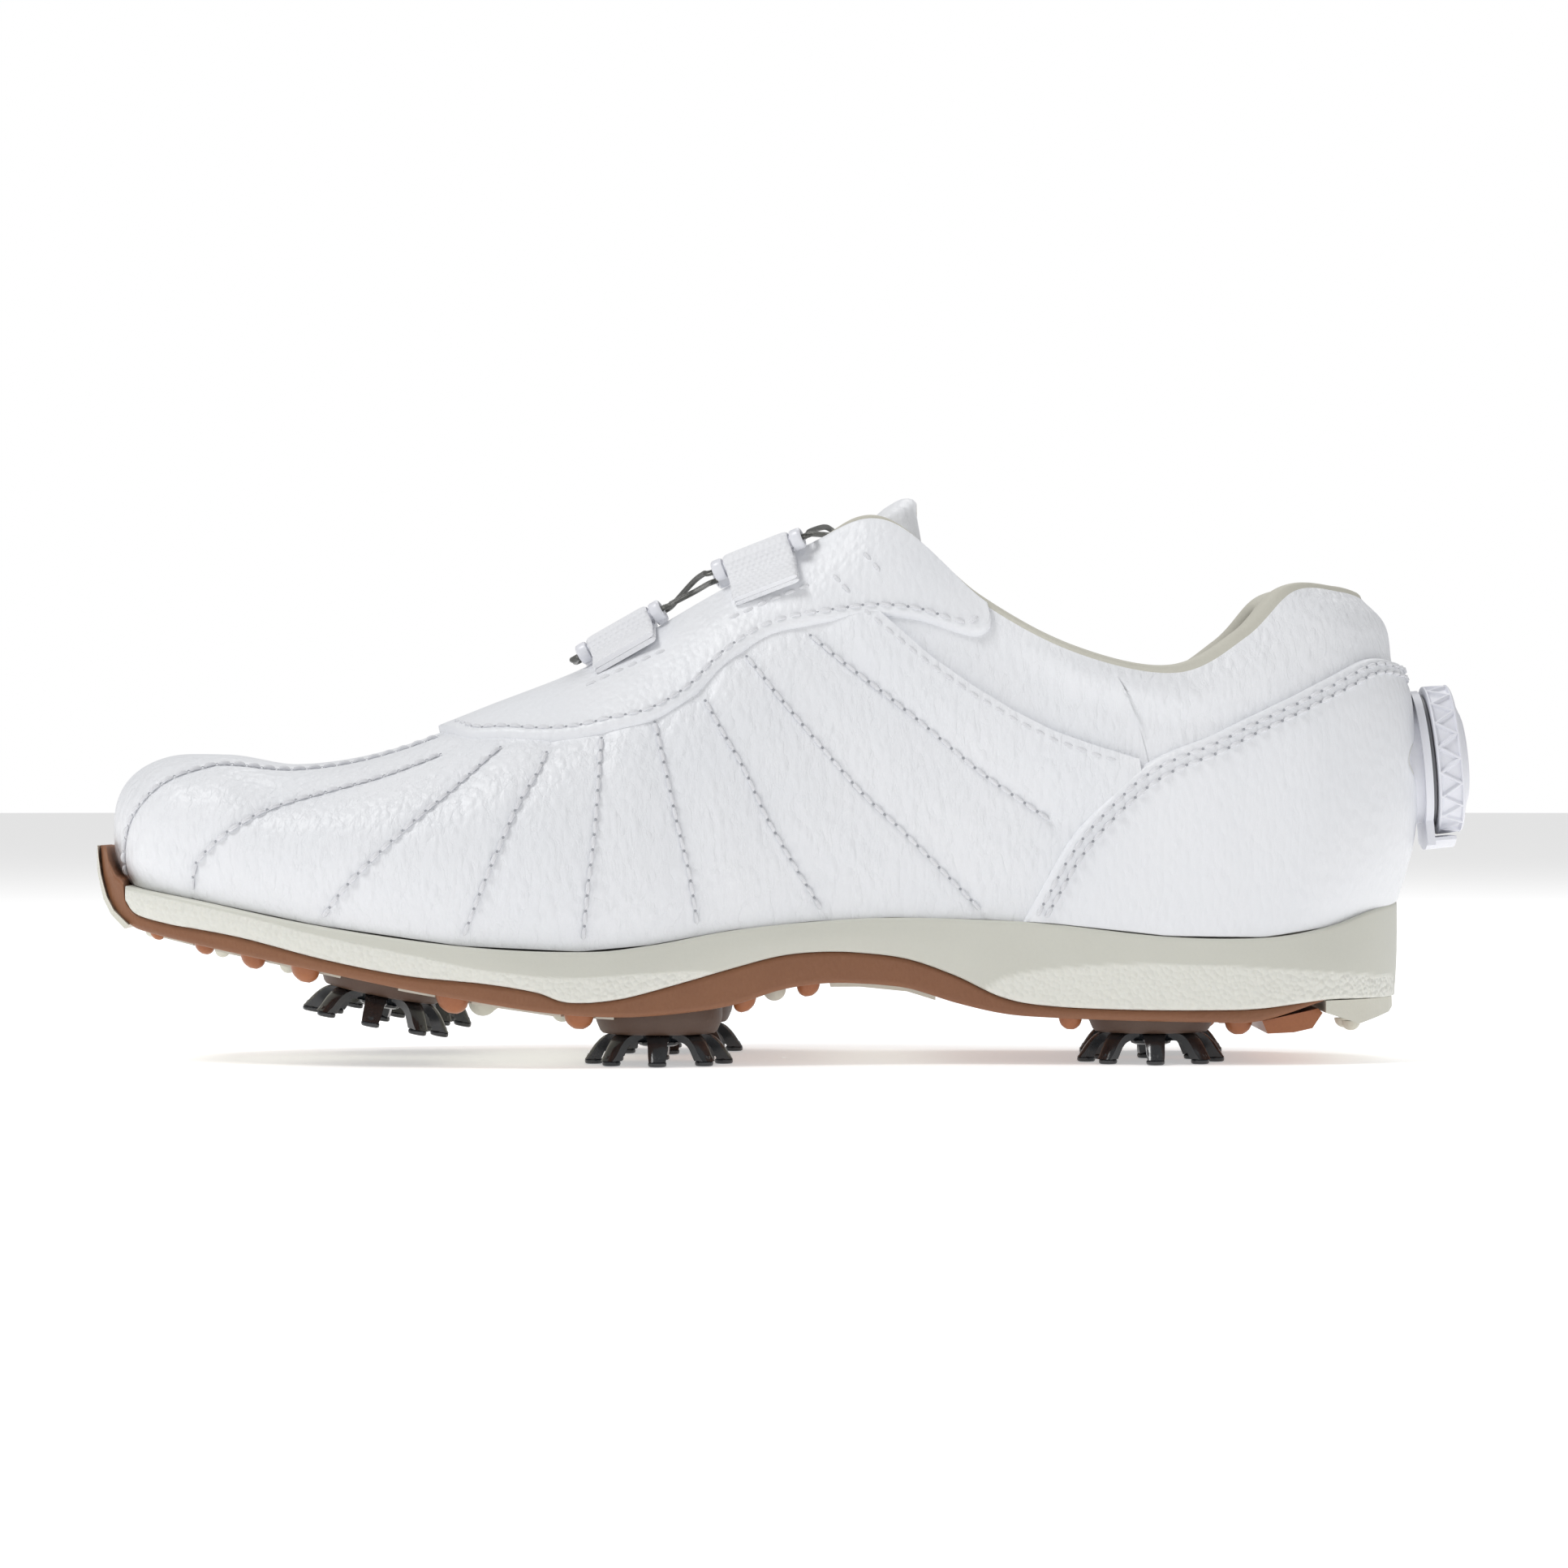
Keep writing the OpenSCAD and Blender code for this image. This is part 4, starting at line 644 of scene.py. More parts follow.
@dataclass(frozen=True)
class Finish:
    """One surface finish, made from the shared effects.

    The fields are near and far colours, roughness and its spread, metal share, coat, relief and its depth in
    millimetres, and whether a per-point value picks where the relief shows.
    """

    name: str
    near: tuple[float, float, float, float]
    far: tuple[float, float, float, float]
    rough: float = 0.5
    spread: float = 0.08
    metal: float = 0.0
    coat: float = 0.0
    relief: Relief = Relief.FINE
    depth: float = 0.05
    cells: float = 900.0
    wrinkle: float = 0.5
    masked: str = ""
    dark: tuple[float, float, float, float] | None = None
    sheen: float = 0.0
    subsurface: float = 0.0
    glow: float = 0.0

    def build(self, effects: Effects) -> bpy.types.Material:
        """The material of this finish.

        Args:
            effects: the shared node groups.

        Returns:
            A material on Object coordinates, or on the piece's own surface coordinates for woven reliefs.
        """
        material = bpy.data.materials.new(self.name)
        material.use_nodes = True
        net = Net(material.node_tree)
        shader = next(n for n in net.tree.nodes if n.type == "BSDF_PRINCIPLED")
        place = net.add("TexCoord").outputs["Object"]
        tone = net.add("Group", node_tree=effects.tone)
        for key, value in (("Vector", place), ("Color", self.near), ("Far Color", self.far)):
            net.put(tone.inputs[key], value)
        colour = tone.outputs["Color"]
        satin = net.add("Group", node_tree=effects.satin)
        for key, value in (("Vector", place), ("Middle", self.rough), ("Spread", self.spread)):
            net.put(satin.inputs[key], value)
        height = self._height(net, effects, place)
        if self.masked:
            mask = net.add("Attribute", attribute_name=self.masked).outputs["Fac"]
            height = net.math("MULTIPLY", height, mask)
            if self.dark:
                colour = net.mix(mask, colour, self.dark)
        bump = net.add("Bump", in_Strength=1.0, in_Distance=self.depth * MM)
        net.put(bump.inputs["Height"], height)
        net.put(shader.inputs["Base Color"], colour)
        net.put(shader.inputs["Roughness"], satin.outputs["Roughness"])
        net.put(shader.inputs["Normal"], bump.outputs["Normal"])
        shader.inputs["Metallic"].default_value = self.metal
        shader.inputs["Coat Weight"].default_value = self.coat
        shader.inputs["Coat Roughness"].default_value = 0.15
        shader.inputs["Sheen Weight"].default_value = self.sheen
        shader.inputs["Emission Color"].default_value = (1.0, 1.0, 1.0, 1.0)
        shader.inputs["Emission Strength"].default_value = self.glow
        if self.subsurface:
            shader.inputs["Subsurface Weight"].default_value = self.subsurface
            shader.inputs["Subsurface Radius"].default_value = (0.002, 0.0018, 0.0015)
            shader.inputs["Subsurface Scale"].default_value = 0.6
        return material

    def _height(self, net: Net, effects: Effects, place: bpy.types.NodeSocket) -> bpy.types.NodeSocket:
        """Height of the relief over the surface, about 0 to 1."""
        if self.relief is Relief.LEATHER:
            grain = net.add("Group", node_tree=effects.grain)
            for key, value in (("Vector", place), ("Cells", self.cells), ("Wrinkle", self.wrinkle)):
                net.put(grain.inputs[key], value)
            return grain.outputs["Height"]
        if self.relief is Relief.PEBBLE:
            cells = net.add("TexVoronoi", feature="SMOOTH_F1", in_Scale=self.cells, in_Smoothness=0.25)
            net.put(cells.inputs["Vector"], place)
            return net.math("SUBTRACT", 1.0, cells.outputs["Distance"])
        if self.relief is Relief.FINE:
            noise = net.add("TexNoise", in_Scale=self.cells, in_Detail=3.0)
            net.put(noise.inputs["Vector"], place)
            return noise.outputs["Fac"]
        parts = net.add("SeparateXYZ")
        net.put(parts.inputs[0], net.add("UVMap", uv_map="surface").outputs[0])
        across, along = parts.outputs[0], parts.outputs[1]
        if self.relief is Relief.STRAND:
            turn = net.math("ADD", net.math("MULTIPLY", across, 11.6), net.math("MULTIPLY", along, 3.4))
            return net.math("ABSOLUTE", net.math("SINE", turn))
        if self.relief is Relief.WEAVE:
            rib = net.math("ABSOLUTE", net.math("SINE", net.math("MULTIPLY", along, 2.9)))
            yarn = net.math("MULTIPLY", across, 4.6)
            yarn = net.math(
                "ADD", yarn, net.math("MULTIPLY", net.math("FLOOR", net.math("MULTIPLY", along, 0.923)), 3.14159),
            )
            return net.math("MULTIPLY", rib, net.math("MULTIPLY_ADD", net.math("SINE", yarn), 0.4, 0.6))
        u = net.math("SINE", net.math("MULTIPLY", across, 2.4))
        w = net.math("SINE", net.math("MULTIPLY", along, 2.4))
        return net.math("SUBTRACT", 1.0, net.math("GREATER_THAN", net.math("MULTIPLY", u, w), 0.62))


class Finishes:
    """Every material of the shoe, by name."""

    def __init__(self) -> None:
        """Builds the materials."""
        effects = Effects()
        L, P, F = Relief.LEATHER, Relief.PEBBLE, Relief.FINE
        white, shade = srgb(243, 244, 247), srgb(238, 240, 244)
        table_ = (
            Finish("leather", white, shade, 0.42, 0.06, relief=L, depth=0.5, cells=640, wrinkle=0.7),
            Finish("leather_overlay", white, shade, 0.42, 0.06, relief=L, depth=0.3, cells=760, wrinkle=0.4),
            Finish("leather_tongue", white, shade, 0.44, 0.06, relief=L, depth=0.34, cells=740, wrinkle=0.5),
            Finish(
                "leather_edge", srgb(226, 226, 224), srgb(212, 211, 206), 0.8, 0.05, relief=F, depth=0.12, cells=2400,
            ),
            Finish(
                "lining", srgb(207, 205, 193), srgb(198, 195, 183), 0.7, 0.05, relief=L, depth=0.08, cells=1100,
                wrinkle=0.2,
            ),
            Finish(
                "lining_dotted", srgb(207, 205, 193), srgb(198, 195, 183), 0.72, 0.05, relief=Relief.KNIT, depth=0.25,
            ),
            Finish("foam", srgb(214, 211, 196), srgb(202, 198, 182), 0.9, 0.03, relief=F, depth=0.3, cells=1500),
            Finish(
                "sockliner", srgb(206, 204, 194), srgb(192, 190, 180), 0.85, 0.04, relief=F, depth=0.2, cells=1800,
                sheen=0.2,
            ),
            Finish("board", srgb(200, 190, 168), srgb(184, 172, 148), 0.85, 0.04, relief=F, depth=0.15, cells=1300),
            Finish("midsole", srgb(215, 215, 205), srgb(208, 208, 198), 0.42, 0.06, relief=P, depth=0.30, cells=980,
                   masked="pebble", dark=srgb(231, 231, 223), subsurface=0.1),
            Finish(
                "pale_rubber", srgb(222, 220, 208), srgb(212, 210, 197), 0.42, 0.06, relief=F, depth=0.04, cells=1500,
            ),
            Finish(
                "brown", srgb(146, 99, 68), srgb(130, 85, 58), 0.5, 0.07, relief=L, depth=0.16, cells=1300, wrinkle=0.2,
            ),
            Finish("boss", srgb(92, 70, 57), srgb(78, 59, 49), 0.5, 0.08, relief=F, depth=0.05, cells=1200),
            Finish("nub", srgb(172, 108, 68), srgb(152, 92, 57), 0.34, 0.06, relief=F, depth=0.03, cells=1200),
            Finish("cleat", srgb(40, 43, 47), srgb(28, 30, 33), 0.26, 0.08, coat=0.5, relief=F, depth=0.04, cells=700),
            Finish("socket", srgb(30, 31, 33), srgb(22, 22, 24), 0.5, 0.05, relief=F, depth=0.03),
            Finish(
                "plastic_white", srgb(236, 237, 243), srgb(230, 231, 238), 0.38, 0.05, relief=F, depth=0.02, cells=1600,
            ),
            Finish(
                "plastic_grey", srgb(132, 133, 136), srgb(118, 119, 122), 0.42, 0.06, relief=F, depth=0.03, cells=1600,
            ),
            Finish("plastic_dark", srgb(70, 70, 72), srgb(56, 56, 58), 0.5, 0.05, relief=F, depth=0.03, cells=1600),
            Finish(
                "webbing", srgb(243, 244, 247), srgb(236, 237, 241), 0.6, 0.05, relief=Relief.WEAVE, depth=0.16,
                sheen=0.1,
            ),
            Finish("guide", srgb(238, 239, 244), srgb(230, 231, 238), 0.3, 0.05, relief=F, depth=0.02, cells=1400),
            Finish("thread", srgb(236, 237, 240), srgb(222, 223, 227), 0.6, 0.05, relief=F, depth=0.05, cells=5200),
            # Grey for the needle holes: painted shade standing in for the shadow inside each hole.
            Finish("needle_hole_painted_shade", srgb(176, 178, 184), srgb(158, 160, 166), 0.8, 0.05, relief=F, depth=0.02),
            Finish(
                "lace", srgb(132, 132, 128), srgb(104, 104, 101), 0.36, 0.08, metal=0.9, relief=Relief.STRAND,
                depth=0.09,
            ),
            Finish(
                "steel", srgb(168, 169, 170), srgb(146, 147, 149), 0.32, 0.08, metal=1.0, relief=F, depth=0.02,
                cells=900,
            ),
            Finish("tube", srgb(226, 226, 218), srgb(214, 214, 206), 0.35, 0.05, relief=F, depth=0.02, cells=1200),
            Finish(
                "floor", srgb(252, 252, 252), srgb(250, 250, 250), 0.9, 0.02, relief=F, depth=0.01, cells=60, glow=0.42,
            ),
        )
        self._built = {finish.name: finish.build(effects) for finish in table_}

    def __getitem__(self, name: str) -> bpy.types.Material:
        """The material of a name."""
        return self._built[name]


# ---- Upper ----

# Fan of stitch lines over the vamp, from the sole towards the throat, as station and share
FAN = (
    (
        (0.5, 0.02), (0.64, 0.14), (0.92, 0.33), (1.44, 0.48), (2.1, 0.62), (3.0, 0.73), (3.8, 0.8), (4.6, 0.83),
        (5.5, 0.86),
    ),
    ((2.66, 0.01), (2.74, 0.16), (2.92, 0.25), (3.28, 0.37), (3.88, 0.53), (4.5, 0.61), (5.1, 0.65), (5.66, 0.69)),
    ((4.36, 0.01), (4.62, 0.15), (4.94, 0.28), (5.3, 0.4), (5.7, 0.51), (6.16, 0.64)),
    ((5.78, 0.01), (5.98, 0.18), (6.14, 0.3), (6.3, 0.42), (6.47, 0.53), (6.6, 0.65)),
    ((6.89, 0.01), (6.94, 0.18), (7.0, 0.35), (7.03, 0.53), (7.05, 0.65)),
    ((7.86, 0.01), (7.78, 0.17), (7.68, 0.31), (7.58, 0.47), (7.49, 0.62)),
    ((9.02, 0.01), (8.72, 0.14), (8.46, 0.27), (8.26, 0.4), (8.05, 0.53), (7.86, 0.67)),
    ((10.66, 0.01), (10.4, 0.07), (9.92, 0.17), (9.38, 0.29), (8.94, 0.43), (8.56, 0.58), (8.26, 0.73)),
    ((11.32, 0.31), (10.94, 0.355), (10.52, 0.39), (10.12, 0.435), (9.68, 0.51), (9.24, 0.61), (8.82, 0.74)),
)
VAMP_EDGE = table(
    (0, 112), (12, 98), (23.6, 87.5), (30.2, 81.7), (38.4, 76), (46.6, 71), (54.8, 66.9), (63, 64), (72.1, 61.2),
)
# Lower edge of each eyestay and top edge of the heel's cover, as station and share
EYESTAY = table((5.48, 1), (5.56, 0.86), (5.82, 0.715), (6.28, 0.65), (6.88, 0.64), (7.4, 0.618), (7.78, 0.645),
                (8.16, 0.715), (8.62, 0.745), (9.36, 0.715), (10.08, 0.71), (10.62, 0.77), (10.94, 0.88), (11.04, 1))
COUNTER = table((11.03, 0), (11.2, 0.117), (11.38, 0.235), (11.66, 0.375), (12.1, 0.545), (12.6, 0.672), (13.3, 0.757),
                (14.06, 0.77), (14.7, 0.757), (15.6, 0.75), (17, 0.747))
# Opening in the heel's cover round the reel, as offset to the side and height above the reel's axis
REEL_HOLE = table((0, 13.6), (5, 13), (8.4, 9.6), (9.6, 5.4), (13.6, 2.2), (14.2, -0.6), (11, -3.4), (7.2, -7),
                  (5.2, -12),
                  (4, -17), (0, -19.6))


def graph(points: Array, a: Array) -> Array:
    """Share at each station along a smooth curve through points of station and share."""
    fine = curve(points, 400)
    return np.interp(a, fine[:, 0], fine[:, 1])


@dataclass
class Upper:
    """The leather upper: vamp, quarters, eyestays, heel cover, binding, linings."""

    columns: int = 360
    rows: int = 64
    groove: float = 0.34
    groove_w: float = 1.15
    pillow: float = 0.5
    overlap: float = 0.85
    collar_puff: float = 1.5

    def fan_points(self) -> Array:
        """Points every millimetre or so along the fan lines of both sides."""
        lines = [curve(np.array(line), 90) for line in FAN]
        both = [s * np.column_stack([line[:, 0], s * line[:, 1]]) for line in lines for s in (1, -1)]
        a, v = np.concatenate(both).T
        return LAST.base(a, np.abs(v))

    def vamp_depth(self, a: Array, v: Array) -> Array:
        """Face of the vamp over the main leather's face.

        Grooves follow the fan lines, pillows rise between them, and the leather rises over the quarter towards its
        rear edge: d = overlap step - groove exp(-(x/w)^2) + pillow (1 - exp(-(x/6w)^2)).

        Args:
            a: stations.
            v: shares.

        Returns:
            Offsets in millimetres, in the shape of a.
        """
        shape = np.shape(a)
        a, v = np.ravel(a), np.ravel(v)
        here = LAST.base(a, v)
        line = self.fan_points()
        gap = np.empty(len(here))
        for k in range(0, len(here), 4000):
            part = here[k:k + 4000]
            gap[k:k + 4000] = np.sqrt(((part[:, None, :] - line[None]) ** 2).sum(axis=2)).min(axis=1)
        t = LAST.station(a)
        edge = LAST.share_at(a, VAMP_EDGE)
        rear = (edge - v) * LAST.length(a) / 1.3
        step = self.overlap * smooth(t, 8.6, 9.6) * (1 - smooth(rear, 6, 16))
        grooves = self.groove * np.exp(-((gap / self.groove_w) ** 2))
        pillows = self.pillow * (1 - np.exp(-((gap / (7 * self.groove_w)) ** 2)))
        pillows = pillows * smooth(v, 0.02, 0.2) * (1 - smooth(v, 0.8, 1))
        return (step - grooves + pillows).reshape(shape)

    def quarter_depth(self, a: Array, v: Array) -> Array:
        """Face of a quarter: puffed along the collar, with a shallow line of quilting under the puff."""
        t = LAST.station(a)
        puff = self.collar_puff * smooth(t, 10.6, 12.4) * np.sin(np.pi * smooth(v, 0.74, 1.02)) ** 1.2
        return puff - 0.25 * np.exp(-(((v - 0.76) / 0.03) ** 2)) * smooth(t, 11.5, 13)

    def _sheet(
        self, a: Array, lo: Array, hi: Array, face: object, back: float, roll: tuple[float, float], rows: int,
    ) -> tuple[Array, Array, Array, Array]:
        """Both grids of a leather sheet whose edges are rolled.

        Args:
            a: stations of its columns.
            lo: share of its lower edge at each column.
            hi: share of its upper edge.
            face: offset of its face as a function of station and share.
            back: offset of its underside.
            roll: widths of the rolls at the lower and upper edges, in millimetres.
            rows: rows between the rolls.

        Returns:
            Outer grid, inner grid, and the stations and shares of both.
        """
        length = LAST.length(a)
        turn = 1 - np.cos(np.linspace(0, np.pi / 2, 7))
        low, high = turn * roll[0], turn[::-1] * roll[1]
        span = np.maximum((hi - lo) * length, 0.05)
        share = np.linspace(0, 1, rows)[1:-1]
        low_s = low[None, :] * np.minimum(1, span / (roll[0] + roll[1] + 0.01))[:, None]
        high_s = span[:, None] - high[None, :] * np.minimum(1, span / (roll[0] + roll[1] + 0.01))[:, None]
        mid_s = low_s[:, -1:] + (high_s[:, :1] - low_s[:, -1:]) * share[None, :]
        s = np.concatenate([low_s, mid_s, high_s], axis=1)
        v = np.clip(lo[:, None] + s / length[:, None], 0, 1)
        v[:, -1] = hi
        grid_a = np.broadcast_to(a[:, None], v.shape)
        top = face(grid_a, v)
        lift = np.ones_like(s)
        if roll[0]:
            lift *= rolled(s, roll[0])
        if roll[1]:
            lift *= rolled(span[:, None] - s, roll[1])
        outer = LAST.at(grid_a, v, back + (top - back) * lift)
        inner = LAST.at(grid_a, v, back)
        return outer, inner, grid_a, v

    def vamp(self, finishes: Finishes) -> bpy.types.Object:
        """The vamp, from one rear edge round the toe to the other."""
        a = np.concatenate(
            [-np.linspace(12.2, 0, self.columns // 2, endpoint=False), np.linspace(0, 12.2, self.columns // 2 + 1)]
        )
        t = LAST.station(a)
        edge = LAST.share_at(a, VAMP_EDGE)
        hi = np.where(t <= 6, 1, np.minimum(np.where(t > 8.6, edge, 1), 1))
        outer, inner, _, _ = self._sheet(a, np.zeros_like(a), hi, self.vamp_depth, MAIN_IN, (0, 0), self.rows)
        shift = np.where(t > 8.6, 1.0, 0.0)
        lift = rolled(np.abs(np.linspace(0, 1, outer.shape[1])[None, :] - 1) * (hi * LAST.length(a))[:, None], 1.0)
        lift = 1 - (1 - lift) * shift[:, None]
        outer = inner + (outer - inner) * lift[..., None]
        points, faces = closed_shell(outer, inner, fold=t <= 6)
        return piece("vamp_leather", points, faces, finishes["leather"], sharp=60, weld=0.004)

    def quarter(self, outside: bool, finishes: Finishes) -> bpy.types.Object:
        """One quarter, from under the vamp and the eyestay to the middle of the heel."""
        a = np.linspace(9.3, 17.02, 190)
        lo = np.where(a > 12.3, 0, np.clip(LAST.share_at(a, VAMP_EDGE) - 0.14, 0, 0.97))
        a = ROUND - a[::-1] if outside else a
        lo = lo[::-1] if outside else lo
        outer, inner, _, _ = self._sheet(a, lo, np.ones_like(a), self.quarter_depth, MAIN_IN, (0, 0.9), 58)
        points, faces = closed_shell(outer, inner)
        return piece(
            f"quarter_leather_{'lateral' if outside else 'medial'}", points, faces, finishes["leather"], sharp=60,
        )

    def eyestay(self, outside: bool, finishes: Finishes) -> bpy.types.Object:
        """One eyestay: leather laid over the throat's side, with rolled edges and a round front."""
        ends = 1 - np.cos(np.linspace(0, np.pi / 2, 16))
        a = np.concatenate([5.48 + 0.5 * ends, np.linspace(6.0, 10.6, 120), 11.04 - 0.42 * ends[::-1]])
        lo = graph(EYESTAY, a)
        if outside:
            a, lo = -a[::-1], lo[::-1]
        t = LAST.station(a)

        def face(x: Array, v: Array) -> Array:
            """Face of the eyestay, with a soft rise over the padding near the ankle."""
            return OVER_OUT + 0.25 * np.sin(np.pi * smooth(v, 0.7, 1.0))

        outer, inner, _, v = self._sheet(a, lo, np.ones_like(a), face, OVER_IN - 1.2, (1.6, 1.1), 34)
        front = t <= 6
        ridge_outer = LAST.at(np.broadcast_to(a[:, None], v.shape), v, face(a, v))
        # Ahead of the throat both eyestays are one piece, so the roll along the ridge is left out
        keep = (front[:, None] & (v > lo[:, None] + 0.6 * (1 - lo[:, None])))[..., None]
        outer = np.where(keep, ridge_outer, outer)
        points, faces = closed_shell(outer, inner)
        return piece(
            f"eyestay_leather_{'lateral' if outside else 'medial'}", points, faces, finishes["leather_overlay"],
            sharp=60,
        )

    def hole_rim(self, angle: Array, reel: Array) -> Array:
        """Station and share of the rim of the opening round the reel, in the given directions.

        Args:
            angle: directions round the reel's axis, 0 towards the outer side, as radians.
            reel: point of the reel's axis on the heel.

        Returns:
            Station and share per direction, found by Newton steps on the side offset and the height.
        """
        right = curve(REEL_HOLE, 120)
        ring = np.concatenate([right, (right * (-1, 1))[::-1][1:-1]])
        f = np.unwrap(np.arctan2(ring[:, 1], ring[:, 0]))
        order = np.argsort(f % (2 * np.pi))
        r = np.interp(
            angle % (2 * np.pi), (f % (2 * np.pi))[order], np.linalg.norm(ring, axis=1)[order], period=2 * np.pi,
        )
        want = np.column_stack([reel[1] + r * np.cos(angle), reel[2] + r * np.sin(angle)])
        a, v = HEEL + want[:, 0] / 13, 0.45 + (want[:, 1] - reel[2]) / 70
        for _ in range(8):
            here = LAST.base(a, v)[:, 1:]
            da = (LAST.base(a + 0.01, v)[:, 1:] - here) / 0.01
            dv = (LAST.base(a, v + 0.005)[:, 1:] - here) / 0.005
            miss = want - here
            det = da[:, 0] * dv[:, 1] - da[:, 1] * dv[:, 0]
            a = a + (miss[:, 0] * dv[:, 1] - miss[:, 1] * dv[:, 0]) / det
            v = np.clip(v + (da[:, 0] * miss[:, 1] - da[:, 1] * miss[:, 0]) / det, 0.02, 0.98)
        return np.column_stack([a, v])

    def counter_grid(self, reel: Array) -> tuple[Array, Array, Array]:
        """Stations, shares and distances of the heel cover, from the reel's opening out to its edges.

        Args:
            reel: point of the reel's axis on the heel.

        Returns:
            Stations and shares of a grid whose rows go outwards from the opening, and the distance of each point
            from the opening along its row, in millimetres.
        """
        side = curve(COUNTER, 150)
        top = np.concatenate([side, (side * (-1, 1) + (ROUND, 0))[::-1][1:]])
        bottom = np.column_stack([np.linspace(ROUND - 11.03, 11.03, 122)[1:-1], np.zeros(120)])
        edge = np.concatenate([top, bottom])
        scale = np.array([13.0, 70.0])
        way = (edge - (HEEL, 0.447)) * scale
        rim = self.hole_rim(np.arctan2(way[:, 1], way[:, 0]), reel)
        ends = 1 - np.cos(np.linspace(0, np.pi / 2, 7))
        share = np.concatenate([0.035 * ends, np.linspace(0.035, 0.965, 66)[1:-1], 1 - 0.035 * ends[::-1]])
        grid = rim[:, None, :] * (1 - share[None, :, None]) + edge[:, None, :] * share[None, :, None]
        p = LAST.at(grid[..., 0], grid[..., 1], 0.0)
        run = np.concatenate(
            [np.zeros((len(p), 1)), np.cumsum(np.linalg.norm(np.diff(p, axis=1), axis=2), axis=1)], axis=1,
        )
        return grid[..., 0], grid[..., 1], run

    def counter(self, reel: Array, finishes: Finishes) -> bpy.types.Object:
        """The cover over the heel, with a rolled top edge and an opening round the reel."""
        a, v, run = self.counter_grid(reel)
        left = run[:, -1:] - run
        lift = rolled(run, 0.7) * rolled(left, 1.6)
        face = OVER_OUT + 0.25 * np.exp(-(((run - 1.6) / 1.2) ** 2)) + self.quarter_depth(a, v) * 0.6
        back = OVER_IN - 1.2
        outer = LAST.at(a, v, back + (face - back) * lift)
        inner = LAST.at(a, v, np.full_like(run, back))
        points, faces = closed_shell(outer, inner, wrap=True)
        return piece("counter_leather", points, faces[:, ::-1], finishes["leather_overlay"], sharp=60)

    def hole_lip(self, reel: Array, finishes: Finishes) -> bpy.types.Object:
        """Raw pale edge of the leather round the reel's opening."""
        f = np.linspace(0, 2 * np.pi, 220, endpoint=False)
        rim = self.hole_rim(f, reel)
        path = LAST.at(rim[:, 0], rim[:, 1], 0.95)
        t = np.roll(path, -1, axis=0) - np.roll(path, 1, axis=0)
        t /= np.linalg.norm(t, axis=1, keepdims=True)
        n = LAST.normal(rim[:, 0], rim[:, 1])
        b = np.cross(t, n)
        g = np.linspace(0, 2 * np.pi, 8, endpoint=False)
        high, wide = 0.62 * np.cos(g)[None, :, None], 0.42 * np.sin(g)[None, :, None]
        grid = path[:, None] + high * n[:, None] + wide * b[:, None]
        return piece(
            "reel_opening_lip", grid, grid_faces(len(grid), 8, wrap=True, wrap_across=True), finishes["leather_edge"],
        )

    def binding(self, finishes: Finishes) -> bpy.types.Object:
        """Rolled collar binding: half an ellipse from the leather's face over to the lining, along the ankle line."""
        a = np.linspace(8.85, ROUND - 8.85, 380)
        f = np.linspace(0, np.pi, 18)
        depth = -LINING_OUT + LINING_T + LAST.room(a, np.ones_like(a))
        grow = smooth(LAST.station(a), 8.85, 9.6)
        base = LAST.base(a, np.ones_like(a))
        lower = LAST.base(a, np.full_like(a, 0.98))
        up = base - lower
        up /= np.linalg.norm(up, axis=1, keepdims=True)
        n = LAST.normal(a, np.full_like(a, 0.995))
        half = (depth + 0.3) / 2
        d = (0.3 - half)[:, None] + half[:, None] * np.cos(f)[None, :]
        h = (0.35 + 1.9 * grow)[:, None] * np.sin(f)[None, :] ** 0.8
        roll = base[:, None] + d[..., None] * n[:, None] + h[..., None] * up[:, None]
        skirt_in = roll[:, -1:] - up[:, None] * 5
        skirt_out = roll[:, :1] - up[:, None] * 3.5 - n[:, None] * 0.9
        grid = np.concatenate([skirt_out, roll, skirt_in], axis=1)
        m = grid.shape[1]
        obj = piece(
            "collar_binding", grid, grid_faces(len(grid), m, wrap_across=True)[:, ::-1], finishes["lining"], sharp=50,
        )
        return obj

    def lining(self, finishes: Finishes) -> list[bpy.types.Object]:
        """Quarter lining round the heel and vamp lining over the toes."""
        a = np.linspace(9.05, ROUND - 9.05, 220)
        v = np.linspace(0.02, 1, 44)
        ga, gv = np.meshgrid(a, v, indexing="ij")
        face = LINING_OUT - LAST.room(ga, gv)
        outer, inner = LAST.at(ga, gv, face), LAST.at(ga, gv, face - LINING_T)
        points, faces = closed_shell(outer, inner)
        run = np.stack(np.broadcast_arrays(ga * 12, gv * LAST.length(a)[:, None]), axis=-1)
        uv = np.concatenate([run.reshape(-1, 2)] * 2)
        quarter = piece("quarter_lining_knit", points, faces, finishes["lining_dotted"], sharp=60, uv=uv)
        a = np.linspace(-9, 9, 180)
        v = np.linspace(0.02, 1, 40)
        ga, gv = np.meshgrid(a, v, indexing="ij")
        outer = LAST.at(ga, gv, np.full_like(ga, LINING_OUT))
        inner = LAST.at(ga, gv, np.full_like(ga, LINING_OUT - LINING_T))
        points, faces = closed_shell(outer, inner, fold=LAST.station(a) <= 6)
        vamp = piece("vamp_lining_knit", points, faces, finishes["lining"], sharp=60, weld=0.004)
        return [quarter, vamp]

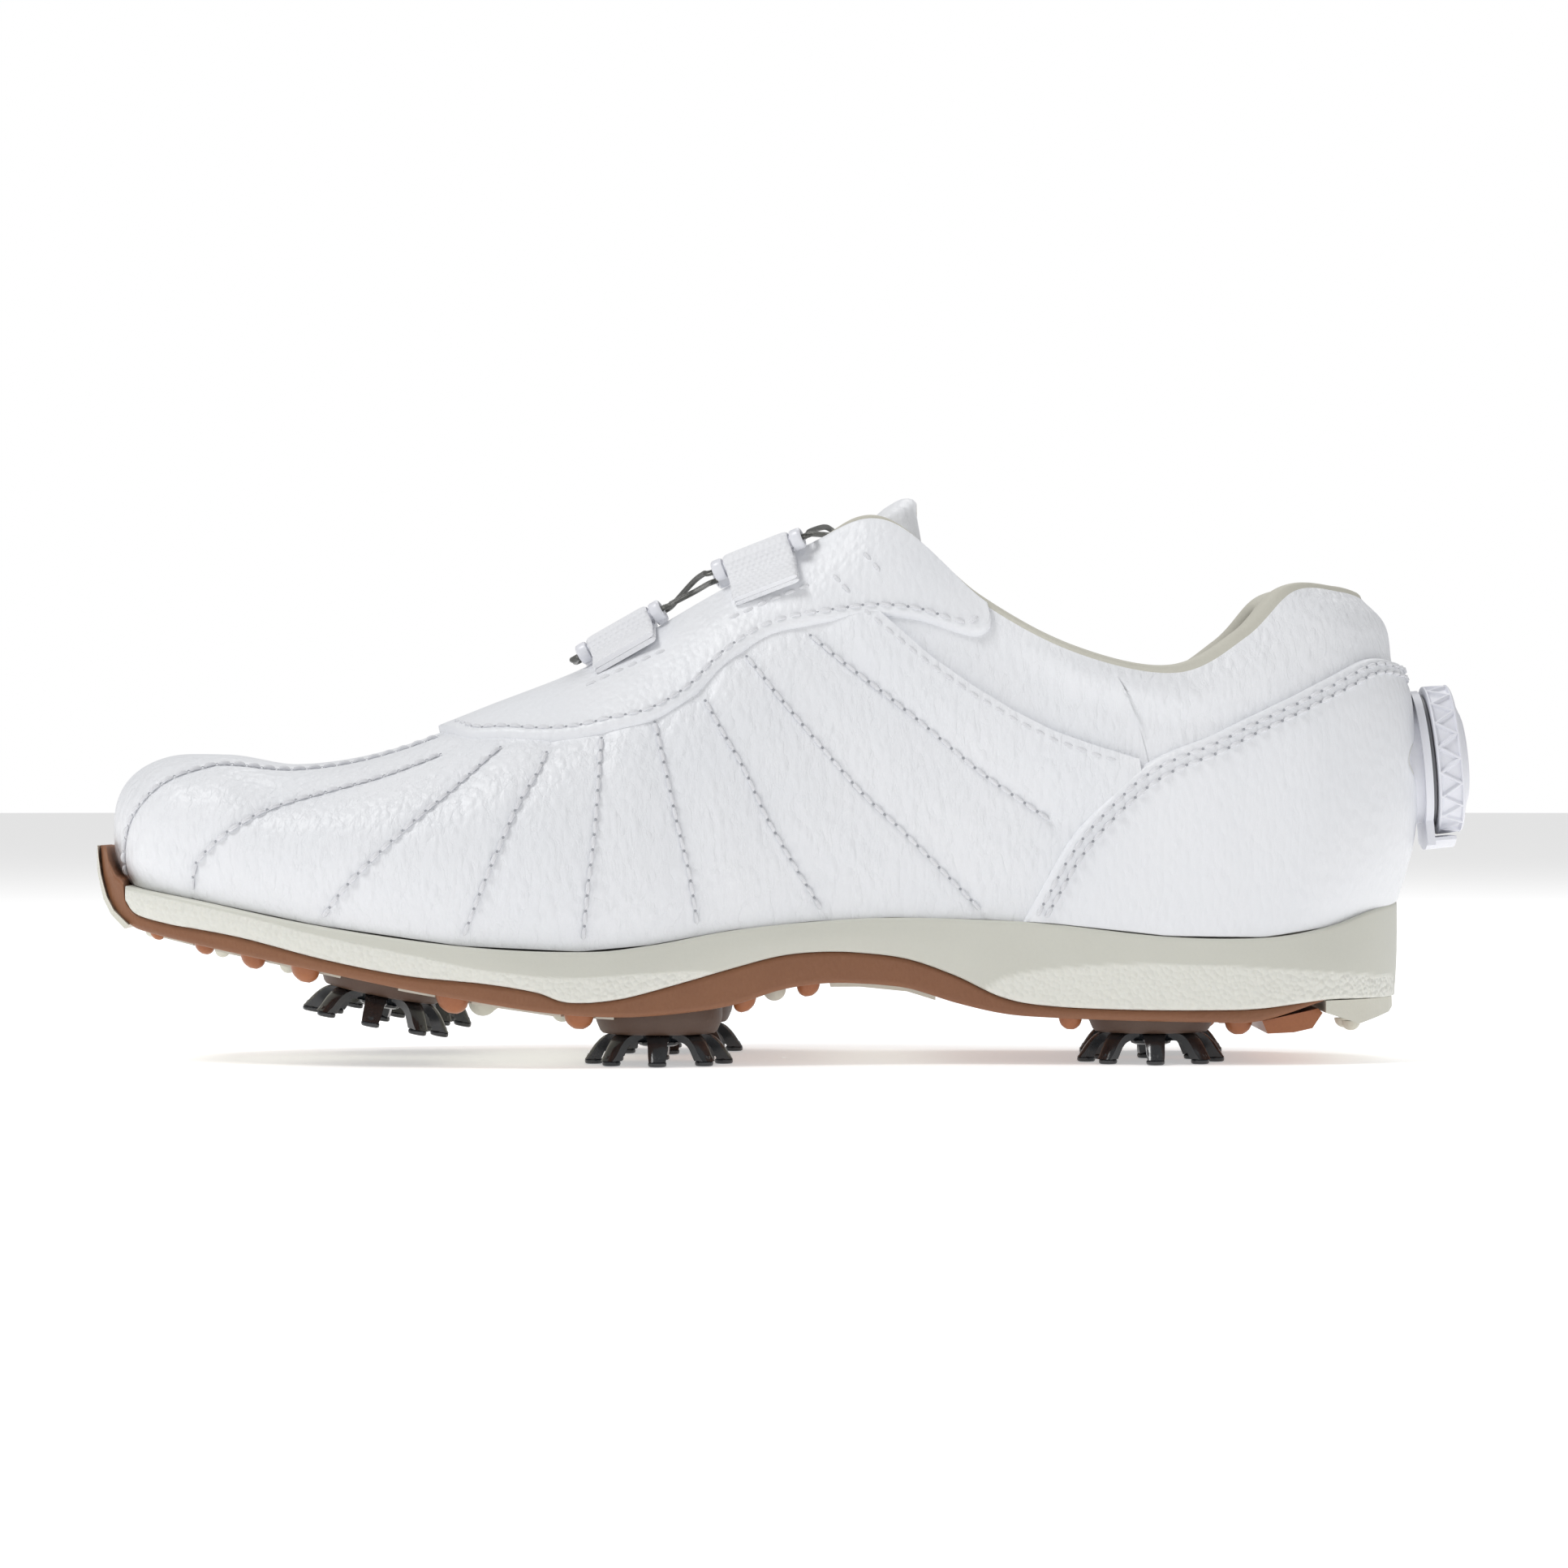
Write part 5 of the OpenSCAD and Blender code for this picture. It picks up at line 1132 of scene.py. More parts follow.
    def build(self, reel: Array, finishes: Finishes) -> list[bpy.types.Object]:
        """Builds the upper and ties each piece to its body.

        Args:
            reel: point of the reel's axis on the heel, in millimetres.
            finishes: the materials.

        Returns:
            The pieces.
        """
        out = [
            (self.vamp(finishes), ("vamp",)),
            (self.quarter(False, finishes), ("quarter_medial",)),
            (self.quarter(True, finishes), ("quarter_lateral",)),
            (self.eyestay(False, finishes), ("eyestay_medial",)),
            (self.eyestay(True, finishes), ("eyestay_lateral",)),
            (self.counter(reel, finishes), ("counter_cover",)),
            (self.hole_lip(reel, finishes), ()),
            (self.binding(finishes), ("topline_binding",)),
        ]
        quarter, vamp = self.lining(finishes)
        out += [(quarter, ("quarter_lining",)), (vamp, ("vamp_lining",))]
        for obj, nodes in out:
            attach(obj, "shoe")
            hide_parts(*nodes)
        return [obj for obj, _ in out]


# ---- Stitching ----


def shifted(line: Array, distance: float) -> Array:
    """A line of stations and shares moved sideways over the last.

    Args:
        line: points of station and share.
        distance: millimetres to move, to the left of the line's direction as seen from outside.

    Returns:
        The moved line.
    """
    a, v = line.T
    along = np.linalg.norm(LAST.base(a + 0.02, v) - LAST.base(a - 0.02, v), axis=1) / 0.04
    up = LAST.length(a)
    t = np.gradient(np.column_stack([a * along.mean(), v * up.mean()]), axis=0)
    t /= np.maximum(np.linalg.norm(t, axis=1, keepdims=True), 1e-9)
    return np.column_stack([a - t[:, 1] * distance / along, np.clip(v + t[:, 0] * distance / up, 0.002, 0.998)])


@dataclass
class Stitching:
    """Rows of thread on the leather, as short arched stitches with a needle hole at each end, drawn as a grey disc of
    painted shade.
    """

    pitch: float = 3.1
    length: float = 2.75
    thread_r: float = 0.46
    # Radius of the grey disc of painted shade at each needle hole.
    hole_r: float = 0.3

    def rows(self) -> list[tuple[Array, object]]:
        """Every row as its line and the leather's face under it, on both sides.

        Returns:
            Pairs of points of station and share, and the face as a function of station and share.
        """
        out = []

        def over(a: Array, v: Array) -> Array:
            """Face of the overlaid leather."""
            return np.full_like(a, OVER_OUT + 0.02)

        def main(a: Array, v: Array) -> Array:
            """Face of the vamp in its grooves."""
            return np.full_like(a, 0.02)

        def raised(a: Array, v: Array) -> Array:
            """Face of the vamp where it lies over the quarter."""
            return np.full_like(a, 0.95)

        counter = curve(COUNTER, 300)
        eyestay = curve(EYESTAY[1:-1], 300)
        channel = [table((9.18, 0.872), (9.44, 0.757)), table((9.58, 0.905), (9.82, 0.8))]
        t = np.linspace(9.1, 12.1, 120)
        edge = np.column_stack([t, LAST.share_at(t, VAMP_EDGE)])
        edge = edge[(edge[:, 1] < 0.97) & (edge[:, 1] > 0.02)]
        for distance in (-1.9, -3.7):
            out.append((shifted(counter, distance), over))
        out.append((shifted(eyestay, 2.3), over))
        out += [(curve(line, 60), over) for line in channel]
        out.append((shifted(edge, -1.9), raised))
        for line in FAN:
            fine = curve(np.array(line), 200)
            keep = fine[:, 1] < np.interp(fine[:, 0], EYESTAY[:, 0], EYESTAY[:, 1], left=1, right=1) - 0.01
            out.append((fine[keep], main))
        for a in (7.28, 8.55):
            middle = np.linspace(a - 0.45, a + 0.45, 30)
            share = 0.985 - 11.2 / LAST.length(middle)
            out.append((np.column_stack([middle, share]), over))
        return [(line * (s, 1), face) for line, face in out for s in (1, -1)]

    def _mesh(self, centres: Array, along: Array, out: Array) -> tuple[Array, Array, Array, Array]:
        """Stitches, and grey discs of painted shade for the needle holes, at given points.

        Args:
            centres: middle of each stitch.
            along: unit direction of each stitch.
            out: unit normal of the leather there.

        Returns:
            Points and faces of the thread, then of the grey hole discs of painted shade.
        """
        n, rings, sides = len(centres), 8, 6
        side = np.cross(along, out)
        u = np.linspace(-1, 1, rings)
        thick = self.thread_r * np.sqrt(np.maximum(1 - np.abs(u) ** 4, 0.02))
        lift = 0.42 * (1 - u**2) - 0.16
        f = np.linspace(0, 2 * np.pi, sides, endpoint=False)
        middle = centres[:, None] + (u * self.length / 2)[None, :, None] * along[:, None]
        middle = middle + lift[None, :, None] * out[:, None]
        ring = np.cos(f)[None, :, None, None] * side[None, None] + np.sin(f)[None, :, None, None] * out[None, None]
        ring = np.transpose(ring, (2, 0, 1, 3))
        body = middle[:, :, None] + thick[None, :, None, None] * ring
        one = grid_faces(rings, sides, wrap_across=True)
        faces = (one[None] + (np.arange(n) * rings * sides)[:, None, None]).reshape(-1, 4)
        # Each needle hole is a flat grey disc just proud of the leather: painted shade in place of the hole's own
        # shadow.
        f = np.linspace(0, 2 * np.pi, 8, endpoint=False)
        hole = (centres + along * self.pitch / 2)[:, None, None]
        disc = self.hole_r * (np.cos(f)[None, :, None] * along[:, None] + np.sin(f)[None, :, None] * side[:, None])
        share = np.array([1.0, 0.5, 0.04])
        hole_shade_discs = hole + disc[:, None] * share[None, :, None, None] + out[:, None, None] * 0.06
        one = grid_faces(3, 8, wrap_across=True)
        hole_shade_disc_faces = (one[None] + (np.arange(n) * 24)[:, None, None]).reshape(-1, 4)
        return body, faces, hole_shade_discs, hole_shade_disc_faces

    def build(self, finishes: Finishes) -> list[bpy.types.Object]:
        """Builds the thread and the needle holes, as grey discs of painted shade, of every row.

        Args:
            finishes: the materials.

        Returns:
            The thread and the hole discs of painted shade.
        """
        spots, ways, outs = [], [], []
        for line, face in self.rows():
            if len(line) < 3:
                continue
            a, v = line.T
            p = LAST.at(a, v, face(a, v))
            run = np.concatenate([[0], np.cumsum(np.linalg.norm(np.diff(p, axis=0), axis=1))])
            at = np.arange(self.pitch, run[-1] - self.pitch / 2, self.pitch)
            if len(at) < 1:
                continue
            sa, sv = np.interp(at, run, a), np.interp(at, run, v)
            q = LAST.at(sa, sv, face(sa, sv))
            step = np.column_stack(
                [np.interp(at + 0.6, run, p[:, k]) - np.interp(at - 0.6, run, p[:, k]) for k in range(3)]
            )
            n = LAST.normal(sa, sv)
            step -= (step * n).sum(axis=1, keepdims=True) * n
            step /= np.linalg.norm(step, axis=1, keepdims=True)
            spots.append(q)
            ways.append(step)
            outs.append(n)
        body, faces, hole_shade_discs, hole_shade_disc_faces = self._mesh(np.concatenate(spots), np.concatenate(ways), np.concatenate(outs))
        thread = piece("upper_stitches", body, faces, finishes["thread"], sharp=180)
        # The needle holes are grey discs of painted shade.
        holes = piece("upper_needle_holes_painted_shade", hole_shade_discs, hole_shade_disc_faces, finishes["needle_hole_painted_shade"], sharp=180)
        for obj in (thread, holes):
            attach(obj, "shoe")
        return [thread, holes]


# ---- Tongue ----


@dataclass
class Tongue:
    """The padded tongue: one soft body over the instep, with its knitted lining underneath."""

    out: float = -4.5
    reach: float = 0.16
    pad: float = 6.5
    root: float = 5.72
    tip: float = 9.75

    def at(self, t: Array, w: Array, d: Array) -> Array:
        """Point of the tongue at station t, share w across and depth d, over the throat by a bridged crown."""
        c = 0.45 * ramp(t, 6, 7)
        side = np.maximum(np.abs(w) - c, 0) / (1 - c)
        none = np.zeros_like(t)
        near = LAST.at(np.where(w < 0, t, -t), 1 - self.reach * side, d)
        p, q = LAST.at(t, 1 + none, d), LAST.at(-t, 1 + none, d)
        u = np.clip((w / np.maximum(c, 1e-6) + 1) / 2, 0, 1)[..., None]
        crown = (1.6 * smooth(t, 6, 8) + 1.4 * smooth(t, 8.7, 9.4))[..., None]
        over = p * (1 - u) + q * u + np.array([0.0, 0.0, 1.0]) * crown * 4 * u * (1 - u)
        blend = smooth(np.abs(w), c - 0.12, c + 0.12)[..., None]
        return over * (1 - blend) + near * blend

    def grids(self) -> tuple[Array, Array, Array]:
        """Face, underside and edge thickness grids of the tongue.

        Returns:
            Face grid, underside grid and the share of full thickness at each point.
        """
        t = np.linspace(self.root, self.tip, 90)
        w = np.sin(np.linspace(-np.pi / 2, np.pi / 2, 49))
        gt, gw = np.meshgrid(t, w, indexing="ij")
        full = 0.6 + (self.pad - 0.6) * smooth(gt, 6, 9.6) + 1.9
        share = np.sqrt(np.maximum(1 - np.abs(gw) ** 5, 0)) * rolled(gt - self.root, 0.25)
        high, low = self.at(gt, gw, np.full_like(gt, self.out)), self.at(gt, gw, self.out - full)
        k = np.linspace(0, 1, 26)[1:]
        steps = table((0, 0, 0, 1), (0.33, 3, 2.6, 0.86), (0.72, 6.5, 5, 0.7), (1, 9, 6.2, 0.52))
        dx, dz, sy = (np.interp(k, steps[:, 0], steps[:, j]) for j in (1, 2, 3))

        def past_end(row: Array) -> Array:
            """Rows of the free tip, carried on from the last row of the tongue."""
            return np.stack(
                [row[None, :, 0] + dx[:, None], row[None, :, 1] * sy[:, None], row[None, :, 2] + dz[:, None]],
                axis=-1,
            )

        high2, low2 = past_end(high[-1]), past_end(low[-1])
        top_share = share[-1][None] * np.sqrt(np.maximum(1 - k**4, 0))[:, None]
        return np.concatenate([high, high2]), np.concatenate([low, low2]), np.concatenate([share, top_share])

    def build(self, finishes: Finishes) -> list[bpy.types.Object]:
        """Builds the tongue and its lining; they are not tied to a body.

        Args:
            finishes: the materials.

        Returns:
            The body and the lining.
        """
        high, low, share = self.grids()
        middle = (high + low) / 2
        m = high.shape[1]
        w = np.sin(np.linspace(-np.pi / 2, np.pi / 2, m))
        quilt = 0.35 * np.exp(-(((np.abs(w) - 0.62) / 0.05) ** 2))[None, :, None]
        face = middle + (high - middle) * share[..., None] * (1 - 0.1 * quilt)
        split = low + (high - low) * 0.1
        under = middle + (split - middle) * share[..., None]
        points, faces = closed_shell(face, under)
        body = piece("tongue_padded_body", points, faces, finishes["leather_tongue"], sharp=75)
        back = middle + (low - middle) * share[..., None]
        run = np.stack(np.meshgrid(np.arange(back.shape[0]) * 1.1, np.arange(m) * 1.3, indexing="ij"), axis=-1)
        points, faces = closed_shell(under + (back - under) * 0.04, back)
        lining = piece(
            "tongue_lining_knit", points, faces, finishes["lining_dotted"], sharp=75,
            uv=np.concatenate([run.reshape(-1, 2)] * 2),
        )
        for obj in (body, lining):
            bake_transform(obj)
        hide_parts("tongue_cover", "tongue_padding")
        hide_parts("tongue_lining")
        return [body, lining]


# ---- Sole ----


@dataclass
class Slab:
    """A slab of the sole: a plan outline between two side lines, lofted by its sections along X."""

    name: str
    plan: Array
    low: Array
    high: Array
    inset: float = 0.2
    start: float = -142.9
    end: float = 128.5
    roll: float = 0.8
    bulge: float = 0.0
    count: int = 420

    def outline(self) -> tuple[Array, Array, Array]:
        """Inner and outer side of the plan, moved in by the inset, at each section.

        Returns:
            Section positions, inner side and outer side offsets.
        """
        loop = curve(self.plan, 900, closed=True)
        t = np.roll(loop, -1, axis=0) - np.roll(loop, 1, axis=0)
        t /= np.linalg.norm(t, axis=1, keepdims=True)
        loop = loop + self.inset * np.column_stack([-t[:, 1], t[:, 0]])
        i, j = np.argmin(loop[:, 0]), np.argmax(loop[:, 0])
        loop = np.roll(loop, -i, axis=0)
        j = (j - i) % len(loop)
        near, far = loop[:j + 1], np.vstack([loop[j:], loop[:1]])[::-1]
        lo, hi = max(self.start, loop[:, 0].min() + 0.02), min(self.end, loop[:, 0].max() - 0.02)
        x = (lo + hi) / 2 - (hi - lo) / 2 * np.cos(np.linspace(0, np.pi, self.count))
        grow = np.maximum.accumulate
        return x, np.interp(x, grow(near[:, 0]), near[:, 1]), np.interp(x, grow(far[:, 0]), far[:, 1])

    def build(self, finish: bpy.types.Material, split: Array | None = None, key: str = "pebble") -> bpy.types.Object:
        """Builds the slab.

        Each section is a ring: across the underside, round a rolled edge, up the side wall, and back over the top.

        Args:
            finish: its material.
            split: line on the side wall under which the value of key is 1, as length and height.
            key: name of that value.

        Returns:
            The object.
        """
        x, y0, y1 = self.outline()
        low = np.interp(x, *curve(self.low, 600).T) if len(self.low) > 2 else np.interp(x, *self.low.T)
        high = np.interp(x, *curve(self.high, 600).T) if len(self.high) > 2 else np.interp(x, *self.high.T)
        low, high = low + LAST.rise, np.maximum(high, low + 0.05) + LAST.rise
        thick, width = high - low, y1 - y0
        r = np.minimum(self.roll, np.minimum(thick * 0.45, width * 0.45))[:, None]
        f = np.linspace(0, np.pi / 2, 6)[None, :]
        wall = np.linspace(0, 1, 22)[None, 1:-1]
        mid = np.linspace(0, 1, 14)[None, 1:-1]
        z_wall = (low[:, None] + r) + (thick[:, None] - 2 * r) * wall
        swell = self.bulge * np.sin(np.pi * wall) * np.minimum(1, thick[:, None] / 6)
        ys = [
            y0[:, None] + r + (width[:, None] - 2 * r) * (1 - mid), y0[:, None] + r * (1 - np.sin(f)), y0[:,
            None] - swell,
            y0[:, None] + r * (1 - np.cos(f)), y0[:, None] + r + (width[:, None] - 2 * r) * mid,
            y1[:, None] - r * (1 - np.sin(f)), y1[:, None] + swell[:, ::-1], y1[:, None] - r * (1 - np.cos(f)),
        ]
        zs = [
            low[:, None] + 0 * mid, low[:, None] + r * (1 - np.cos(f)), z_wall, high[:, None] - r * (1 - np.sin(f)),
            high[:, None] + 0 * mid, high[:, None] - r * (1 - np.cos(f)), z_wall[:, ::-1], low[:,
            None] + r * (1 - np.sin(f)),
        ]
        ring_y, ring_z = np.concatenate(ys, axis=1), np.concatenate(zs, axis=1)
        grid = np.stack([np.broadcast_to(x[:, None], ring_y.shape), ring_y, ring_z], axis=-1)
        ends = grid[[0, -1]].mean(axis=1, keepdims=True) + 0 * grid[[0, -1]]
        grid = np.concatenate([ends[:1], grid, ends[1:]])
        values = None
        if split is not None:
            line = np.interp(grid[..., 0], *curve(split, 400).T) + LAST.rise
            side = np.abs(grid[..., 1] - (y0.mean() + y1.mean()) / 2) > 8
            values = {key: (smooth(line - grid[..., 2], -0.25, 0.25) * side).ravel()}
        m = grid.shape[1]
        return piece(
            self.name, grid, grid_faces(len(grid), m, wrap_across=True)[:, ::-1], finish, sharp=50, weld=0.001,
            values=values,
        )


PLAN = table(
    (-142.8, -8), (-137.6, -22), (-126.4, -31), (-110.2, -37.5), (-88.5, -42.5), (-66.8, -45.5), (-53.3, -46),
    (-34.3, -43), (-7.2, -36), (19.9, -31.5), (47, -31), (74.1, -32), (95.8, -31.5), (112, -27), (122.9, -17),
    (128.3, 0), (121.5, 18), (106.6, 28.5), (87.6, 33), (60.5, 34.5), (33.4, 37), (6.3, 41), (-20.8, 45),
    (-42.5, 46), (-61.4, 44), (-88.5, 38), (-110.2, 30), (-126.4, 20), (-137.3, 8))
TREAD_TOP = table(
    (-134.8, 32.3), (-132.2, 29.5), (-125, 27.6), (-118.5, 26.6), (-108.7, 24.8), (-92.4, 20.7), (-76.1, 17.6),
    (-60, 16), (-49.9, 14.3), (-43.4, 12.2), (-33.6, 12.7), (-22.2, 15.5), (-10.8, 18.7), (-1, 21.2), (7.2, 22),
    (15.3, 21.8), (25.1, 20.5), (34.9, 17.1), (44.7, 12.6), (54.5, 10.9), (70.8, 10.2), (87.2, 10.1), (96.9, 10.4),
    (110.4, 12))
TREAD_LOW = table(
    (-141.9, 43.35), (-141.6, 41), (-140.9, 37.6), (-139.2, 33), (-137.3, 30.2), (-133.9, 27.4), (-128.8, 25.6),
    (-109.1, 21.4), (-92.7, 18.1), (-76.4, 14.8), (-60, 12), (-46.9, 10), (-33.8, 9.1), (-22.3, 9.6), (-10.8, 11.2),
    (-1, 14.2), (7.2, 15.5), (15.4, 15.5), (25.2, 14.5), (35.1, 11.5), (44.9, 9.3), (54.7, 8.5), (71.1, 7.9),
    (87.5, 7.6), (97.3, 7.9), (110.3, 11.9))
HEEL_LOW = table((110.4, 12), (118, 12.1), (126.3, 12.2), (127, 13.6), (128.2, 24), (128.6, 29))
SPLIT = table(
    (-134.6, 34.4), (-128.3, 33.4), (-108.7, 29.3), (-92.4, 25.3), (-76.1, 22), (-59.7, 18.7), (-43.4, 17.1),
    (-27.1, 17.9), (-14, 18), (-8, 14), (0, 8), (30, 8), (38, 12.5), (44.7, 16.6), (54.5, 18.5), (70.8, 19.5),
    (87.2, 19.2), (103.5, 18.2), (119.8, 16.9), (128.6, 16))


@dataclass
class Sole:
    """Midsole, brown outsole with its bosses, and the traction nubs."""

    sites: Array = field(default_factory=lambda: table(*(site.value[1:] for site in Site)))
    brown: Array = field(default_factory=lambda: table(
        (-129, -18, 1.6), (-118.5, -24.5, 2.1), (-108, -30, 2.6), (-97, -34.5, 3), (-67, -37.5, 3.4), (-41.5, -36, 3.1),
        (-8, -27.5, 2.4), (5, -26, 2.4), (58.5, -25.5, 2.4), (93, -24, 2.9), (-127, 8, 1.6), (-114, 17, 2.1),
        (-101, 23, 2.6), (-66, 36, 3.4), (-42, 38, 3.1), (-8, 33, 2.4), (6, 31, 2.4), (60, 26, 2.4), (94, 23, 2.9),
        (66, 1, 2.6), (88, 0, 2.6)))

    def nubs(self, finishes: Finishes) -> bpy.types.Object:
        """Brown traction nubs: rounded domes with a small flare where they meet the sole."""
        profile = table(
            (0.02, -1), (0.3, -0.985), (0.55, -0.85), (0.75, -0.68), (0.88, -0.47), (0.96, -0.22), (1.0, 0),
            (1.06, 0.16), (1.06, 0.34),
        )
        f = np.linspace(0, 2 * np.pi, 28, endpoint=False)
        p = self.brown
        z = np.interp(p[:, 0], *TREAD_LOW.T) + LAST.rise
        x = p[:, None, None, 0] + p[:, None, None, 2] * np.cos(f)[None, :, None] * profile[None, None, :, 0]
        y = p[:, None, None, 1] + p[:, None, None, 2] * np.sin(f)[None, :, None] * profile[None, None, :, 0]
        zz = z[:, None, None] + p[:, None, None, 2] * profile[None, None, :, 1] + 0 * x
        slope = (np.interp(p[:, 0] + 2, *TREAD_LOW.T) - np.interp(p[:, 0] - 2, *TREAD_LOW.T)) / 4
        zz = zz + slope[:, None, None] * (x - p[:, None, None, 0]) * 0.9
        one = grid_faces(28, len(profile), wrap=True)
        faces = (one[None] + (np.arange(len(p)) * 28 * len(profile))[:, None, None]).reshape(-1, 4)
        return piece("traction_nubs", np.stack([x, y, zz], axis=-1), faces, finishes["nub"], sharp=60)

    def bosses(self, finishes: Finishes) -> bpy.types.Object:
        """Bosses that carry the cleats: rounded drums, narrower towards the cleat, set to each site's slope."""
        profile = table(
            (4.4, 0.02), (10.6, 0.02), (11.5, 0.2), (12.0, 0.7), (12.4, 1.6), (12.8, 2.6), (13.0, 3.6), (13.0, 5.4),
            (4.4, 5.4),
        )
        grid, faces = revolved(profile, 120)
        parts, sets = [], []
        for k, (x, y, z, tilt) in enumerate(self.sites):
            parts.append(turned(grid, (x, y, z), tilt))
            sets.append(faces + k * grid.shape[0] * grid.shape[1])
        return piece(
            "cleat_bosses", np.concatenate([p.reshape(-1, 3) for p in parts]), np.concatenate(sets), finishes["boss"],
            sharp=50,
        )

    def build(self, finishes: Finishes) -> list[bpy.types.Object]:
        """Builds the sole and ties it to the shoe.

        Args:
            finishes: the materials.

        Returns:
            The pieces.
        """
        guard = table((-141.9, 43.4), (-139.9, 43.2), (-138.9, 40.2), (-137.2, 37.4), (-135.3, 35.9))
        midsole = Slab(
            "midsole_foam", PLAN, np.vstack([TREAD_TOP[:-1], HEEL_LOW]), LAST.feather, 0.2, -134.7, 128.55, 0.9, 0.35,
        )
        outsole = Slab(
            "outsole_rubber", PLAN, TREAD_LOW, np.vstack([guard, TREAD_TOP[:-1], [[110.3, 12.1]]]), 0.9, -141.85, 110.2,
            1.0,
        )
        foot = LAST.foot(np.linspace(0, ROUND, 220, endpoint=False))[:, :2]
        bed = LAST.feather + (0, 1.75)
        sock = Slab("sockliner_pad", foot, bed, bed + (0, 3.9), 8.0, -127, 118, 1.3)
        made = [
            (midsole.build(finishes["midsole"], SPLIT), ("midsole",)),
            (outsole.build(finishes["brown"]), ("outsole",)),
            (sock.build(finishes["sockliner"]), ("sockliner",)),
            (self.bosses(finishes), ()),
            (self.nubs(finishes), ("brown_nubs",)),
        ]
        for obj, nodes in made:
            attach(obj, "shoe")
            if nodes:
                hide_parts(*nodes)
        return [obj for obj, _ in made]


def turned(grid: Array, origin: tuple[float, float, float], tilt: float) -> Array:
    """Points of a local grid turned about +Y by tilt degrees and moved to an origin."""
    c, s = math.cos(math.radians(tilt)), math.sin(math.radians(tilt))
    x, y, z = grid[..., 0], grid[..., 1], grid[..., 2]
    return np.stack([c * x + s * z + origin[0], y + origin[1], c * z - s * x + origin[2]], axis=-1)


# ---- Cleats ----


class Site(Enum):
    """Where each cleat sits: body name, position and slope."""

    FRONT_MEDIAL = ("cleat_front_medial", -82.6, -22.5, 14.2, 11.2)
    FRONT_LATERAL = ("cleat_front_lateral", -80.6, 20.5, 14.2, 11.2)
    MID_MEDIAL = ("cleat_mid_medial", -25.6, -24, 6.2, 0)
    MID_LATERAL = ("cleat_mid_lateral", -24, 24.5, 6.2, 0)
    HEEL_MEDIAL = ("cleat_heel_medial", 75.6, -16.5, 6.2, 0)
    HEEL_LATERAL = ("cleat_heel_lateral", 78, 17, 6.2, 0)


